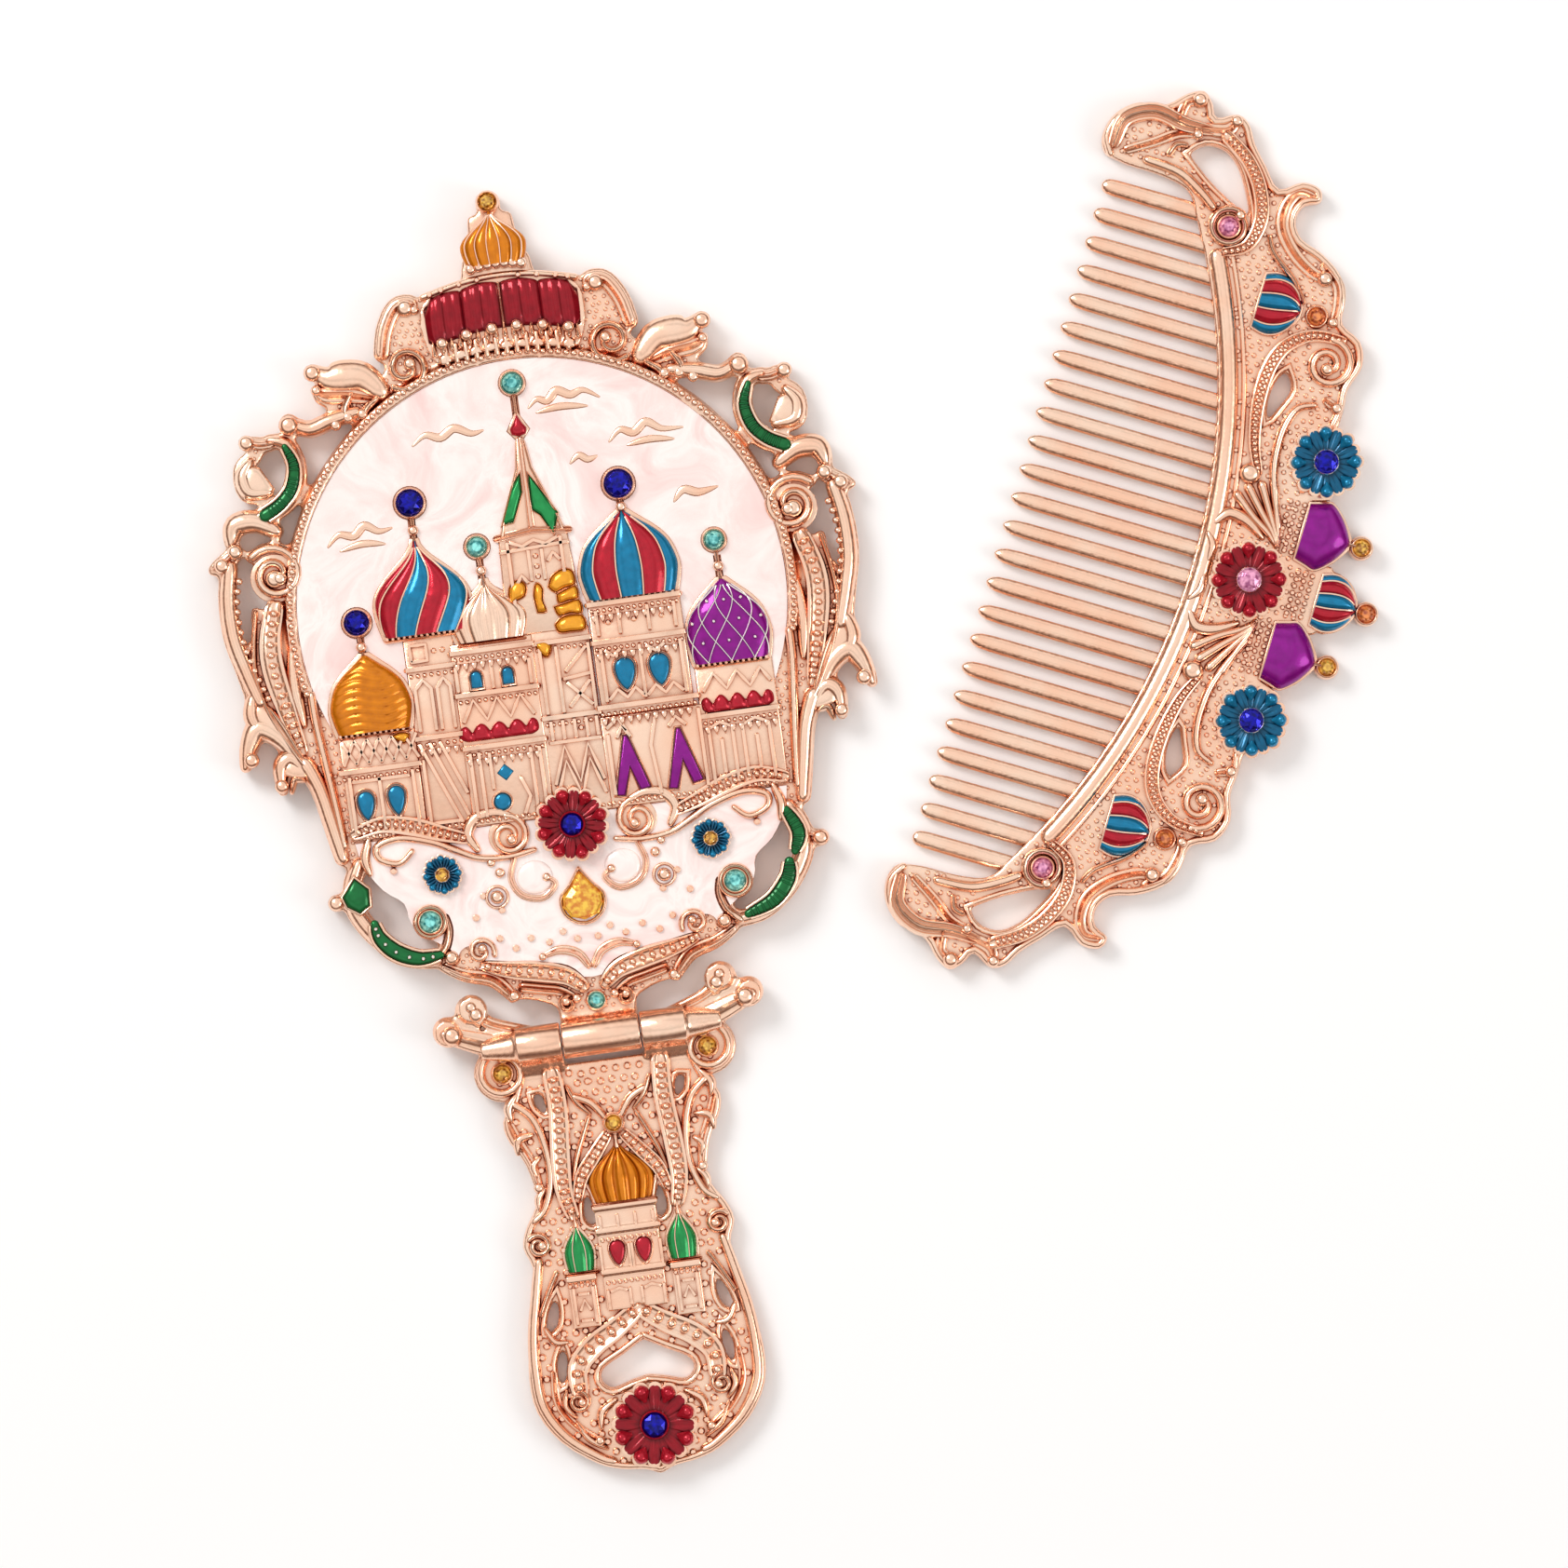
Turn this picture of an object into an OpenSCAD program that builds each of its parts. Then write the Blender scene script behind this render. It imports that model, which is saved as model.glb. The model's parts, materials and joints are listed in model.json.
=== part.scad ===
// Folding hand mirror with a matching comb, cast with onion-domed towers, scrolls, enamel and stones.
// Both lie face up on a table: +Z is up, +Y runs to the crown, and the comb lies to the right.

/* [Mirror head] */
// Radius of the round enamelled field
field_r = 33.2; // [30:0.2:36]
// Thickness of the cast plate
plate_t = 3.0; // [2.4:0.1:3.6]
// Height of the plate's underside above the table
plate_z = 0.8; // [0.6:0.1:1.2]
// Thickness of the pearl enamel
enamel_t = 0.9; // [0.6:0.1:1.2]
// Height of the scrolls above the plate
scroll_t = 1.5; // [1:0.1:1.8]
// Radius of the mirror glass
glass_r = 31; // [28:0.5:31]
// Thickness of the mirror glass
glass_t = 1.8; // [1.5:0.1:2]

/* [Hinge] */
// Distance of the hinge axis below the field's centre
hinge_y = -60; // [-62:0.5:-60]
// Height of the hinge axis above the table
hinge_z = 4.8; // [4.6:0.1:5.2]
// Outer radius of the knuckles
knuckle_r = 2.5; // [2.3:0.1:2.6]
// Half the length of the middle knuckle
knuckle_half = 5.3; // [4.8:0.1:5.6]
// Half the length of the whole barrel
barrel_half = 11.6; // [11:0.1:12]
// Radius of the hinge pin
pin_r = 0.8; // [0.6:0.05:1]

/* [Handle] */
// Thickness of the handle's plate
handle_t = 2.8; // [2.4:0.1:3]
// Height of the handle's scrolls above its plate
handle_scroll_t = 1.1; // [0.8:0.1:1.2]

/* [Comb] */
// Number of teeth, an even number
tooth_count = 24; // [20:2:24]
// Distance from tooth to tooth
tooth_pitch = 4; // [3.9:0.1:4.1]
// Width of a tooth
tooth_w = 1.9; // [1.6:0.1:2.1]
// Thickness of a tooth
tooth_t = 2.2; // [1.8:0.1:2.4]
// Thickness of the comb's back
comb_t = 2.8; // [2.4:0.1:3.2]
// Height of the comb's scrolls above its back
comb_scroll_t = 1.2; // [0.8:0.1:1.4]
// Angle of the comb to the mirror
comb_angle = -24; // [-26:1:-20]

/* [Hidden] */

rose = [0.93, 0.72, 0.60];
pearl = [0.98, 0.90, 0.88];
red = [0.72, 0.08, 0.13];
blue = [0.05, 0.42, 0.62];
sapphire = [0.08, 0.07, 0.62];
aqua = [0.25, 0.75, 0.72];
amber = [0.95, 0.55, 0.08];
purple = [0.55, 0.08, 0.55];
green = [0.10, 0.50, 0.22];
pink = [0.78, 0.32, 0.55];
orange = [0.80, 0.30, 0.12];

fit = 0.03;                                   // gap left between pieces that lie side by side
set_shift = [-35.23, 32.12, 0];               // puts the middle of the whole set's footprint on the origin
comb_at = [94.8, -10.7, 0];                   // the comb's own origin, seen from the field's centre
field_at = [0, -1];
plate_top = plate_z + plate_t;
scroll_top = plate_top + scroll_t;
enamel_top = plate_top + enamel_t;
castle_top = plate_top + 1.6;
glass_z = 0.35;
adhesive_t = 0.3;
recess_top = glass_z + glass_t + adhesive_t;
bezel_w = 2.5;
inlay = 0.4;                                  // depth of an enamel inlay
stone_h = 0.9;
comb_top = comb_t + comb_scroll_t;
handle_top = handle_t + handle_scroll_t;
root_r = 88.5;                                // radius of the arc on which the comb's teeth stand
root_x = -7.6;                                // where that arc crosses the comb's middle
tip_x = -33.6;
barrel_in = knuckle_half + 0.16;               // where a side knuckle begins
wing_z = 2.2;                                 // underside of the handle's wings
wing_t = 2.4;

// The scrolls of one half, each as points of its middle line, then its widths at start, middle and end
rim_scrolls = [
    [[[16.8, 35.4], [16, 38.5], [14.3, 41.2], [12.2, 41.6], [11.4, 40.2]], [2, 2.2, 0.9]],
    [[[18, 30.6], [20, 32.6], [22.4, 33], [24.8, 33.1], [26.6, 34.6]], [2.2, 3.2, 0.9]],
    [[[20.6, 28.8], [23.4, 29.8], [25.6, 30.6], [26.4, 31.4]], [1.2, 1.8, 0.8]],
    [[[21.5, 28], [25, 27.4], [28, 26.6], [30.4, 27.7]], [1.4, 1.8, 1.4]],
    [[[33.6, 25.8], [31.4, 25], [30.5, 22], [31.2, 18.8], [33.4, 16.5], [36.4, 15.8]], [1.2, 2.3, 1.6]],
    [[[33.4, 25.4], [35, 25.4], [36.7, 26]], [1.4, 1.6, 1]],
    [[[35, 18.6], [37.4, 19.2], [37.6, 22.4], [35.8, 24]], [1.2, 2.4, 1.4]],
    [[[34.4, 13.6], [37, 15.2], [39.8, 15], [40.6, 12.8]], [1.6, 2.6, 1.4]],
    [[[43.6, 9.4], [41.6, 10.4], [40.2, 11.4]], [0.8, 1.8, 1.6]],
    [[[41.4, 10], [42.3, 5], [42.3, 0], [41.3, -4.5], [40.3, -9]], [1.7, 1.7, 1.7]],
    [[[36, 2.6], [37.1, -1], [37.2, -5], [36.2, -10.5], [34.8, -16.5]], [2.4, 2.9, 1.4]],
    [[[38.6, 3], [39.5, -2], [39.7, -6], [38.6, -11], [36, -16.5], [34.4, -19]], [0.8, 1, 1.4]],
    [[[35, -19], [37.4, -14.6], [40.2, -12.6], [41.8, -14.6], [42.8, -17.6]], [1.4, 2.6, 1]],
    [[[40.6, -8.6], [41, -11], [40, -13.4]], [1.6, 1.6, 1.4]],
    [[[34.6, -19.8], [36.4, -17.2], [38, -18.2], [38.2, -21.4]], [1.2, 2, 0.9]],
    [[[34.6, -18.4], [33.2, -22], [32.2, -27], [31.4, -31.5]], [2.4, 2, 1.8]],
    [[[32.6, -9.2], [32.5, -13], [31.9, -19], [31.3, -25], [30.9, -30]], [1.5, 1.5, 1.2]],
    [[[29.4, -32.6], [30.7, -35.6], [30.7, -38.6], [29.2, -41.6], [26.8, -44.4], [23.8, -46.4], [20.6, -47]],
        [1.8, 2.2, 1.6]],
    [[[31, -36.8], [32.9, -37.4]], [1.2, 1.2, 1.4]],
    [[[20.8, -47], [19.2, -45.4], [18.5, -43.2], [18.7, -41.4]], [1.4, 1.2, 1]],
    [[[19.6, -48], [17, -49.4], [13.6, -50.4], [11.6, -52.4], [11.2, -53.4]], [1.2, 1.8, 0.9]],
    [[[1.6, -52.8], [3.6, -51], [7, -50.2], [11, -49.4], [14.4, -48.4]], [1.6, 2.2, 1]],
    [[[9.6, -52.2], [7, -52.8], [4.6, -53.4], [2.6, -54.6]], [1.6, 1.6, 0.9]]
];
rim_volutes = [
    [[14, 33], 3.1, 0.8, -55, -1.45, 1], [[35.3, 7.7], 3.9, 0.9, 45, 1.5, 1.2],
    [[3.9, -55.2], 1.1, 0.4, 100, -1.1, 0.8]
];
rim_beads = [[30.7, 27.8, 1.3], [36.9, 26, 0.9], [33.1, -37.5, 1.2], [16, -47.4, 1.9]];
basin_scrolls = [
    [[[29.6, -30.6], [26, -28.8], [22, -29.2], [17.6, -30.6], [13.6, -32.8]], [1.2, 1.6, 1]],
    [[[27, -31.2], [25.6, -29.9], [23, -30.8], [21.6, -32.4], [24, -33]], [0.9, 0.9, 0.9]],
    [[[13.8, -29.6], [11.4, -28.6], [8, -28.8]], [1, 1.4, 1]],
    [[[3.4, -36.2], [5.8, -35.4], [7.8, -36.6], [7.4, -38.8], [5, -39.6]], [0.8, 1, 0.8]],
    [[[0.4, -50.4], [1.6, -48.6], [4, -47.8], [6.4, -48.4]], [1, 1.4, 0.7]]
];
basin_volutes = [[[8.8, -31.6], 2.8, 0.7, 90, 1.4, 0.9]];
wing_scrolls = [
    [[[9, -58.2], [12, -57.4], [14.6, -56.4], [16.4, -55]], [0.9, 1.4, 1.6]],
    [[[11, -60.4], [14, -59.6], [17, -58.6], [20, -57.4]], [2.6, 3, 2.2]]
];
wing_volutes = [[[17, -54.4], 1.8, 0.5, -120, -1.4, 1], [[20.5, -56.8], 1.7, 0.5, -150, 1.3, 1]];
handle_scrolls = [
    [[[7.4, -64.4], [7.2, -69], [7.7, -75], [7.9, -80], [7.2, -83.6]], [2, 2, 1.4]],
    [[[13, -67.8], [10.8, -70], [9.6, -74], [9.5, -78.6], [10.8, -82.4], [12.4, -83.8]], [1.4, 1.3, 1.2]],
    [[[14, -70.4], [13, -73.2], [11.8, -76], [11.2, -79.4]], [1.4, 1.6, 1]],
    [[[4.8, -67.8], [2.6, -69], [0.8, -71.6]], [1.2, 1.3, 1]],
    [[[1, -73.6], [3, -75.8], [5.4, -78.6], [6.4, -81.6]], [1, 1.5, 1]],
    [[[12.6, -89.4], [13.6, -94], [14.6, -99], [15, -104], [14.6, -109], [12, -113.4], [8, -116.6],
        [6.2, -117.4]], [1.4, 1.5, 1.2]],
    [[[10.4, -91.2], [11.8, -93.6], [13.2, -96.4]], [0.9, 0.9, 0.9]],
    [[[0.6, -97.6], [3.4, -99.6], [6.8, -101.6], [9.2, -104.2], [9.4, -107.4]], [1.4, 2.4, 1.6]],
    [[[12.6, -104.6], [12.6, -108.6], [10.6, -112], [7.6, -114.4]], [1, 1.3, 1]]
];
handle_volutes = [
    [[14, -63.4], 3.2, 2.2, 100, -1, 1.3], [[12.3, -87.2], 1.6, 0.5, 40, 1.4, 0.9],
    [[9.8, -108.8], 1.5, 0.5, 90, 1.3, 0.8]
];
handle_outline = [
    [5.45, -63.4], [12, -64], [13.2, -67.2], [14.8, -70], [14.2, -73], [12.2, -75.6], [11.6, -79], [12, -82],
    [13.6, -84.6], [14.4, -87.2], [13.5, -90], [14, -94], [15.2, -99.4], [16, -104.8], [15.5, -109.6],
    [12.8, -114], [8.4, -117.4], [5.2, -118.6], [2.4, -119], [0, -120]
];
handle_holes = [
    [[10.4, -66.9], [9.2, -67], [8.8, -69.6], [10, -68.7]],
    [[4.9, -80.6], [5.5, -82.6], [5.5, -84.6], [4.6, -85.4], [3.9, -84.4], [4.4, -82.6]],
    [[10.9, -94.2], [12.2, -96.4], [12.8, -99], [11.4, -98.4], [10.8, -96.4]],
    [[10.9, -101], [12, -103.4], [11.8, -106.4], [10.9, -105], [10.6, -103]]
];
handle_arch = [[0, -101.6], [2.8, -103.2], [5.8, -104.8], [6.3, -106.4], [5, -107.6], [2.4, -106.9],
    [0, -106.4]];
comb_outline = [
    [-20.4, 46.2], [-22.4, 48.6], [-26.6, 49.4], [-31, 49.5], [-34.2, 50], [-35.4, 52.4], [-34.6, 55.6],
    [-32, 58], [-28.2, 58.8], [-26, 60.9], [-23.8, 62], [-22.2, 60.6], [-21.2, 58.9], [-18.6, 60.2],
    [-16.6, 59.3], [-15.2, 57], [-12.8, 54.4], [-10.4, 52], [-7.6, 53.8], [-5, 53.6], [-4.4, 51.8],
    [-6.4, 50.8], [-7, 48.6], [-5.6, 46.4], [-2.2, 45.2], [1, 43], [2.5, 39.6], [3, 36.8], [6, 35.2],
    [7.2, 32], [6.2, 28.6], [6.4, 25.6], [6, 20], [4, 12], [5.6, 4], [5.6, 0]
];
comb_holes = [
    [[-23.4, 53.2], [-21.6, 54.9], [-18.8, 55], [-16.4, 53.2], [-14.5, 50.2], [-13.2, 47.4], [-12.9, 45],
        [-13.8, 47.4], [-16.4, 48.7], [-19.8, 50.6]],
    [[-2.4, 28.6], [-1.2, 26.4], [-2.2, 23.6], [-3.2, 21.6], [-3.8, 24.6], [-3.3, 27.4]]
];
comb_scrolls = [
    [[[-33.6, 52], [-33, 55.4], [-29.4, 57.4], [-25, 56.8], [-21.6, 57]], [2, 2.6, 1.6]],
    [[[-31.6, 51.4], [-28.4, 53.4], [-25.6, 55.4], [-23, 56]], [1.4, 1.6, 1]],
    [[[-28.6, 50.8], [-24, 50.4], [-20.4, 48.6], [-18.4, 47.2]], [1.4, 1.6, 1.4]],
    [[[-26, 52.4], [-25.4, 53.8], [-24.2, 54.2]], [0.9, 1, 0.9]],
    [[[-26, 57.6], [-25.6, 59.8], [-24, 60.6]], [1.6, 1.6, 1.6]],
    [[[-22.6, 57], [-19.4, 57.6], [-18.4, 59.2]], [1.6, 2, 1.2]],
    [[[-19, 56.8], [-15.6, 54.6], [-13, 51.4], [-11.6, 47.4], [-12.4, 43.4], [-15.4, 41.6]], [2, 2.2, 1.2]],
    [[[-5.4, 52.2], [-7.6, 52.2], [-8.8, 50], [-8.4, 47], [-6, 44.2], [-3, 42.4], [-1, 42]], [1.2, 2, 1.6]],
    [[[-9.8, 45.4], [-8.6, 43.4], [-5.2, 40.8], [-3, 38.2]], [0.8, 1, 0.8]],
    [[[-1.4, 43.6], [1, 41.6], [1.8, 38.6], [1.6, 36.6]], [1.6, 1.8, 1]],
    [[[3.6, 34.6], [-0.4, 34.2], [-3.6, 31.8], [-5, 28], [-5, 23], [-4, 18], [-2.4, 14.4]], [1.4, 2, 1.2]],
    [[[2.4, 25.2], [0.2, 24], [-0.8, 20.6], [-0.6, 16], [0.6, 12], [2.4, 8]], [1, 1.4, 1]],
    [[[3.8, 26.2], [5.4, 25.6]], [1.2, 1.4, 1.2]],
    [[[-4.6, 12.6], [-3.2, 10.2], [-0.6, 8.2], [1.6, 6.6]], [2.6, 2.2, 1]],
    [[[-5.6, 5.4], [-4.6, 7.2], [-2.2, 6.8]], [1.2, 1.6, 1]]
];
comb_volutes = [[[2.6, 31], 3.4, 0.7, 95, -1.5, 1.1], [[-15.5, 45.2], 2.5, 2.2, 60, 1, 1]];

// Towers as left, right, bottom and top edge, then height above the plate
towers = [
    [-29.8, -19.4, -29.6, -15.4, 1.3], [-19.4, -12.6, -29.8, -3.1, 1.1], [-13.2, -2, -29.8, -5, 1.4],
    [-5.4, 5.8, -29.8, -4.8, 1.2], [6, 18.6, -17.4, -1.9, 1.6], [5.6, 20, -29.8, -17.4, 1.4],
    [19.2, 29.8, -29.6, -12.3, 1.3]
];
cornices = [
    [-30.2, -19.2, -20.6, 1.3], [-19.4, -12.6, -8, 1.1], [-19.4, -12.6, -17.4, 1.1], [-13.4, -1.8, -6.6, 1.4],
    [-13.4, -1.8, -12.4, 1.4], [-13.4, -1.8, -19.6, 1.4], [-2, 5.8, -6.8, 1.2], [-2, 5.8, -17, 1.2],
    [5.8, 18.8, -2.6, 1.6], [5.6, 18.7, -7.8, 1.6], [5.4, 19.4, -16.6, 1.6], [19, 30, -19.6, 1.3]
];
steeple = [[-5.2, -5], [-4.7, 8.2], [-4, 9.8], [-1, 17.4], [-0.5, 21.6], [0.5, 21.6], [1, 17.4], [4, 9.8],
    [4.7, 8.2], [5.4, -5]];
// Onion domes of the head: middle of the base, half width and height
amber_at = [-24.8, -15.2, 5.3, 10.6];
striped_left_at = [-16, -3, 6.4, 12.6];
striped_right_at = [12.3, -1.7, 6.6, 11.5];
purple_at = [24.4, -12.2, 5.6, 11.1];
finial_at = [0, 45, 4.2, 7.2];
cupola_at = [-7.4, -5, 5.2, 8.4];
dome_bulge = 1.9;
crown_shoulder = [[18, 29.6], [17, 33], [15.2, 37.6], [12.4, 41], [10, 42.8], [5, 43.6]];
crown_edge = [[9.6, 32.8], [10.6, 34.8], [11.2, 38], [10.6, 41], [8, 42.6], [4, 43.4], [0, 43.6]];
foot_outline = [[0, -48], [12, -49.6], [11.6, -53.4], [8, -54.2], [6.2, -55], [5.2, -55.6], [5.2, -60],
    [0, -60]];
// Openings between the rim's scrolls
side_gap = [[39, 8.6], [40.6, 6.4], [41, 2.4], [40, -1], [39.6, 0], [39.2, 3.2], [38.9, 6]];
low_gap = [[28.2, -35.4], [28.9, -38.2], [27.6, -41], [24.8, -44], [22, -45], [23.9, -42.6], [24.8, -39.4],
    [26.6, -37.4]];
// Green enamel on the rim's scrolls, each as points of its middle line, then its widths
rim_enamels = [
    [[[31.6, 24.6], [30.7, 22], [31.4, 19], [33.4, 16.9], [36, 16]], [0.9, 1.4, 1]],
    [[[28.9, -41.7], [26.7, -44.2], [23.8, -46.2], [21.4, -46.8]], [0.9, 1.4, 0.8]],
    [[[30, -33.6], [30.8, -36], [30.6, -38.6]], [0.7, 1.3, 0.8]]
];
sapphires = [[12.4, 13.6, 1.9], [-15.9, 14.8, 1.8], [-25.2, -0.3, 1.65]];
aquas = [[0, 29, 1.4], [-7.7, 7.7, 1.35], [24.2, 4.3, 1.3]];
low_aquas = [[20.8, -41.7, 1.45], [-20.8, -41.7, 1.45], [0, -55.2, 1.1]];
// Gold outlines of the clouds, each as points of its line, then its widths
clouds = [
    [[[1.8, 25.4], [3, 26.4], [4.4, 26], [5.8, 27.2], [7.6, 26.4], [9.4, 26.8], [11.4, 25.6]],
        [0.4, 0.6, 0.4]],
    [[[2.8, 24.6], [6, 25], [9.6, 24.6]], [0.4, 0.5, 0.4]],
    [[[-14.4, 22.4], [-12.6, 23.6], [-10.6, 23], [-8.6, 24], [-6.4, 23], [-4.8, 23.2]], [0.4, 0.6, 0.4]],
    [[[12, 19.4], [13.6, 20.8], [15.4, 20.2], [17.2, 21.4], [19.2, 20.2], [22, 20]], [0.4, 0.6, 0.4]],
    [[[14.4, 18.6], [17.4, 19], [20.6, 18.6]], [0.4, 0.5, 0.4]],
    [[[6.4, 17.2], [7.6, 18.1], [8.8, 17.4], [10, 17.7]], [0.4, 0.5, 0.4]],
    [[[19.6, 10.2], [21, 11.6], [23, 11], [25.6, 11.4]], [0.4, 0.6, 0.4]],
    [[[-27.6, 10.4], [-26, 11.8], [-24, 11.4], [-22.4, 12.6], [-20.6, 11.6], [-18.8, 11.8]], [0.4, 0.6, 0.4]],
    [[[-26, 9.6], [-23, 10.2], [-20, 9.8]], [0.4, 0.5, 0.4]]
];
// Raised lines on the towers: zigzag, columns and lattice
wall_lines = [
    [[-1.4, -25.6], [0.4, -20.6], [2, -25.6], [3.6, -20.6], [5.2, -25.6]],
    [[-18.8, -19], [-17.4, -27.6], [-16, -19], [-14.6, -27.6], [-13.8, -22]],
    [[7, -15.8], [7, -8.2]], [[12.2, -15.8], [12.2, -8.2]], [[17.6, -15.8], [17.6, -8.2]],
    [[20.4, -28.6], [20.4, -20.8]], [[24.4, -28.6], [24.4, -20.8]], [[28.6, -28.6], [28.6, -20.8]],
    [[-25, -28.6], [-25, -21.4]]
];
wall_line_w = 0.5;
flower_at = [0, -31.2];
small_flower_x = 18.3;
small_flower_y = -35.6;
pear_at = [0, -41.4];
handle_flower_at = [0, -113.2];

function mix(a, b, t) = a + (b - a) * t;
// A smooth curve through the points p, with n steps from point to point
function smooth(p, n) = [
    for (i = [0 : len(p) - 2], k = [0 : n - 1])
        let (t = k / n, a = p[max(i - 1, 0)], b = p[i], c = p[i + 1], d = p[min(i + 2, len(p) - 1)])
        (2 * b + (c - a) * t + (2 * a - 5 * b + 4 * c - d) * t * t + (3 * b - 3 * c + d - a) * t * t * t) / 2,
    p[len(p) - 1]
];
// A spiral about c from radius r0 to r1, starting at angle a0
function spiral(c, r0, r1, a0, turns) = let (n = ceil(abs(turns) * 14)) [
    for (k = [0 : n]) c + mix(r0, r1, k / n) * [cos(a0 + 360 * turns * k / n), sin(a0 + 360 * turns * k / n)]
];
function along(p, i) = let (d = p[min(i + 1, len(p) - 1)] - p[max(i - 1, 0)]) d / norm(d);
function width_at(w, t) = t < 0.5 ? mix(w[0], w[1], sin(180 * t)) : mix(w[2], w[1], sin(180 * t));
// The outline of a band along p, whose width goes from w[0] through w[1] to w[2]
function band(p, w) = let (m = len(p) - 1) concat(
    [for (i = [0 : m]) let (d = along(p, i)) p[i] + [-d[1], d[0]] * width_at(w, i / m) / 2],
    [for (i = [m : -1 : 0]) let (d = along(p, i)) p[i] - [-d[1], d[0]] * width_at(w, i / m) / 2]
);
// Half the width of an onion dome at height t, from 0 at its foot to 1 at its tip
function onion(t) = t < 0.35 ? mix(0.86, 1, sin(90 * t / 0.35))
    : t < 0.8 ? mix(0.3, 1, cos(90 * (t - 0.35) / 0.45)) : mix(0.3, 0.04, sin(90 * (t - 0.8) / 0.2));
function dome_outline(d, n) = concat(
    [for (k = [0 : n]) [d[0] + d[2] * onion(k / n), d[1] + d[3] * k / n]],
    [for (k = [n : -1 : 0]) [d[0] - d[2] * onion(k / n), d[1] + d[3] * k / n]]
);

module both() {
    children();
    mirror([1, 0, 0]) children();
}

module both_ways() {
    children();
    mirror([0, 1, 0]) children();
}

module scroll(s) {
    p = smooth(s[0], 4);
    polygon(band(p, s[1]));
    translate(p[0]) circle(d = s[1][0], $fn = 12);
    translate(p[len(p) - 1]) circle(d = s[1][2], $fn = 12);
}

module volute(v) {
    p = spiral(v[0], v[1], v[2], v[3], v[4]);
    polygon(band(p, [v[5], v[5], v[5] * 0.8]));
    translate(p[len(p) - 1]) circle(d = v[5] * 1.3, $fn = 12);
    translate(p[0]) circle(d = v[5], $fn = 12);
}

module scrolls(list, volutes) {
    for (s = list) scroll(s);
    for (v = volutes) volute(v);
}

module disc(r, z, h) translate([0, 0, z]) cylinder(r = r, h = h, $fn = 72);

// A faceted stone with a flat table, standing on height z
module stone(s, z) {
    profile = [[0, 0], [s[2], 0], [s[2], stone_h * 0.4], [s[2] * 0.6, stone_h], [0, stone_h]];
    translate([s[0], s[1], z]) rotate_extrude($fn = 48) polygon(profile);
}

// A smooth domed stone, standing on height z
module cabochon(s, z) {
    arc = [for (a = [0 : 15 : 90]) [s[2] * cos(a), stone_h * 0.3 + stone_h * 0.9 * sin(a)]];
    translate([s[0], s[1], z]) rotate_extrude($fn = 48) polygon(concat([[0, 0], [s[2], 0]], arc));
}

// An onion dome in relief: half round, swelling to bulge above height z, with folds between its gores
module relief_dome(d, z, bulge, gores) {
    rows = 10;
    cols = 2 * gores;
    function spot(i, j) = let (t = i / rows, a = 180 * j / cols, w = onion(t), fold = j % 2 == 0 ? 0.9 : 1)
        [d[0] - d[2] * w * cos(a), d[1] + d[3] * t, z + 0.3 + bulge * fold * sin(a) * sqrt(w)];
    top = [for (i = [0 : rows], j = [0 : cols]) spot(i, j)];
    low = [for (i = [0 : rows], j = [0, cols]) [spot(i, j)[0], spot(i, j)[1], z]];
    n = cols + 1;
    m = len(top);
    skin = [for (i = [0 : rows - 1], j = [0 : cols - 1]) each [
        [i * n + j, (i + 1) * n + j, (i + 1) * n + j + 1],
        [i * n + j, (i + 1) * n + j + 1, i * n + j + 1]
    ]];
    sides = [for (i = [0 : rows - 1]) each [
        [i * n, m + 2 * i, m + 2 * i + 2], [i * n, m + 2 * i + 2, (i + 1) * n],
        [i * n + cols, (i + 1) * n + cols, m + 2 * i + 3], [i * n + cols, m + 2 * i + 3, m + 2 * i + 1],
        [m + 2 * i, m + 2 * i + 1, m + 2 * i + 3], [m + 2 * i, m + 2 * i + 3, m + 2 * i + 2]
    ]];
    foot = [concat([m + 1, m], [for (j = [0 : cols]) j])];
    tip = [concat([m + 2 * rows, m + 2 * rows + 1], [for (j = [cols : -1 : 0]) rows * n + j])];
    polyhedron(concat(top, low), concat(skin, sides, foot, tip));
}

// A flower of separate round petals about a raised middle, with a foot down to the plate
module flower(at, r, petals, z, top, foot_r) {
    translate([at[0], at[1], z]) {
        translate([0, 0, top - z]) linear_extrude(0.9) offset(delta = 0.01) {
            circle(r = r * 0.62, $fn = 36);
            for (k = [0 : petals - 1]) rotate(360 * k / petals) {
                translate([r * 0.82, 0]) circle(r = r * 0.18, $fn = 14);
                polygon(r * [[0.4, -0.06], [0.84, -0.17], [0.84, 0.17], [0.4, 0.06]]);
            }
        }
        cylinder(r = foot_r, h = top - z + 0.5, $fn = 48);
        translate([0, 0, top - z + 0.4]) cylinder(r = r * 0.36, h = 0.8, $fn = 48);
    }
}

module castle_outline() {
    for (t = towers) translate([t[0], t[2]]) square([t[1] - t[0], t[3] - t[2]]);
    polygon(steeple);
    for (d = [amber_at, striped_left_at, striped_right_at, purple_at, cupola_at])
        polygon(dome_outline([d[0], d[1] - 0.2, d[2] + 0.35, d[3] + 0.5], 12));
    for (s = concat(sapphires, aquas)) translate([s[0], s[1]]) circle(r = s[2] + 0.5, $fn = 24);
    for (s = [[12.3, 8], [-16, 8], [-25, -6], [24.3, -3], [-7.6, 2]])
        translate([s[0] - 0.5, s[1]]) square([1, 5.2]);
    translate([-0.5, 18]) square([1, 10]);
    polygon([[0, 20.6], [1.6, 22.6], [0, 25.4], [-1.6, 22.6]]);
}

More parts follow.
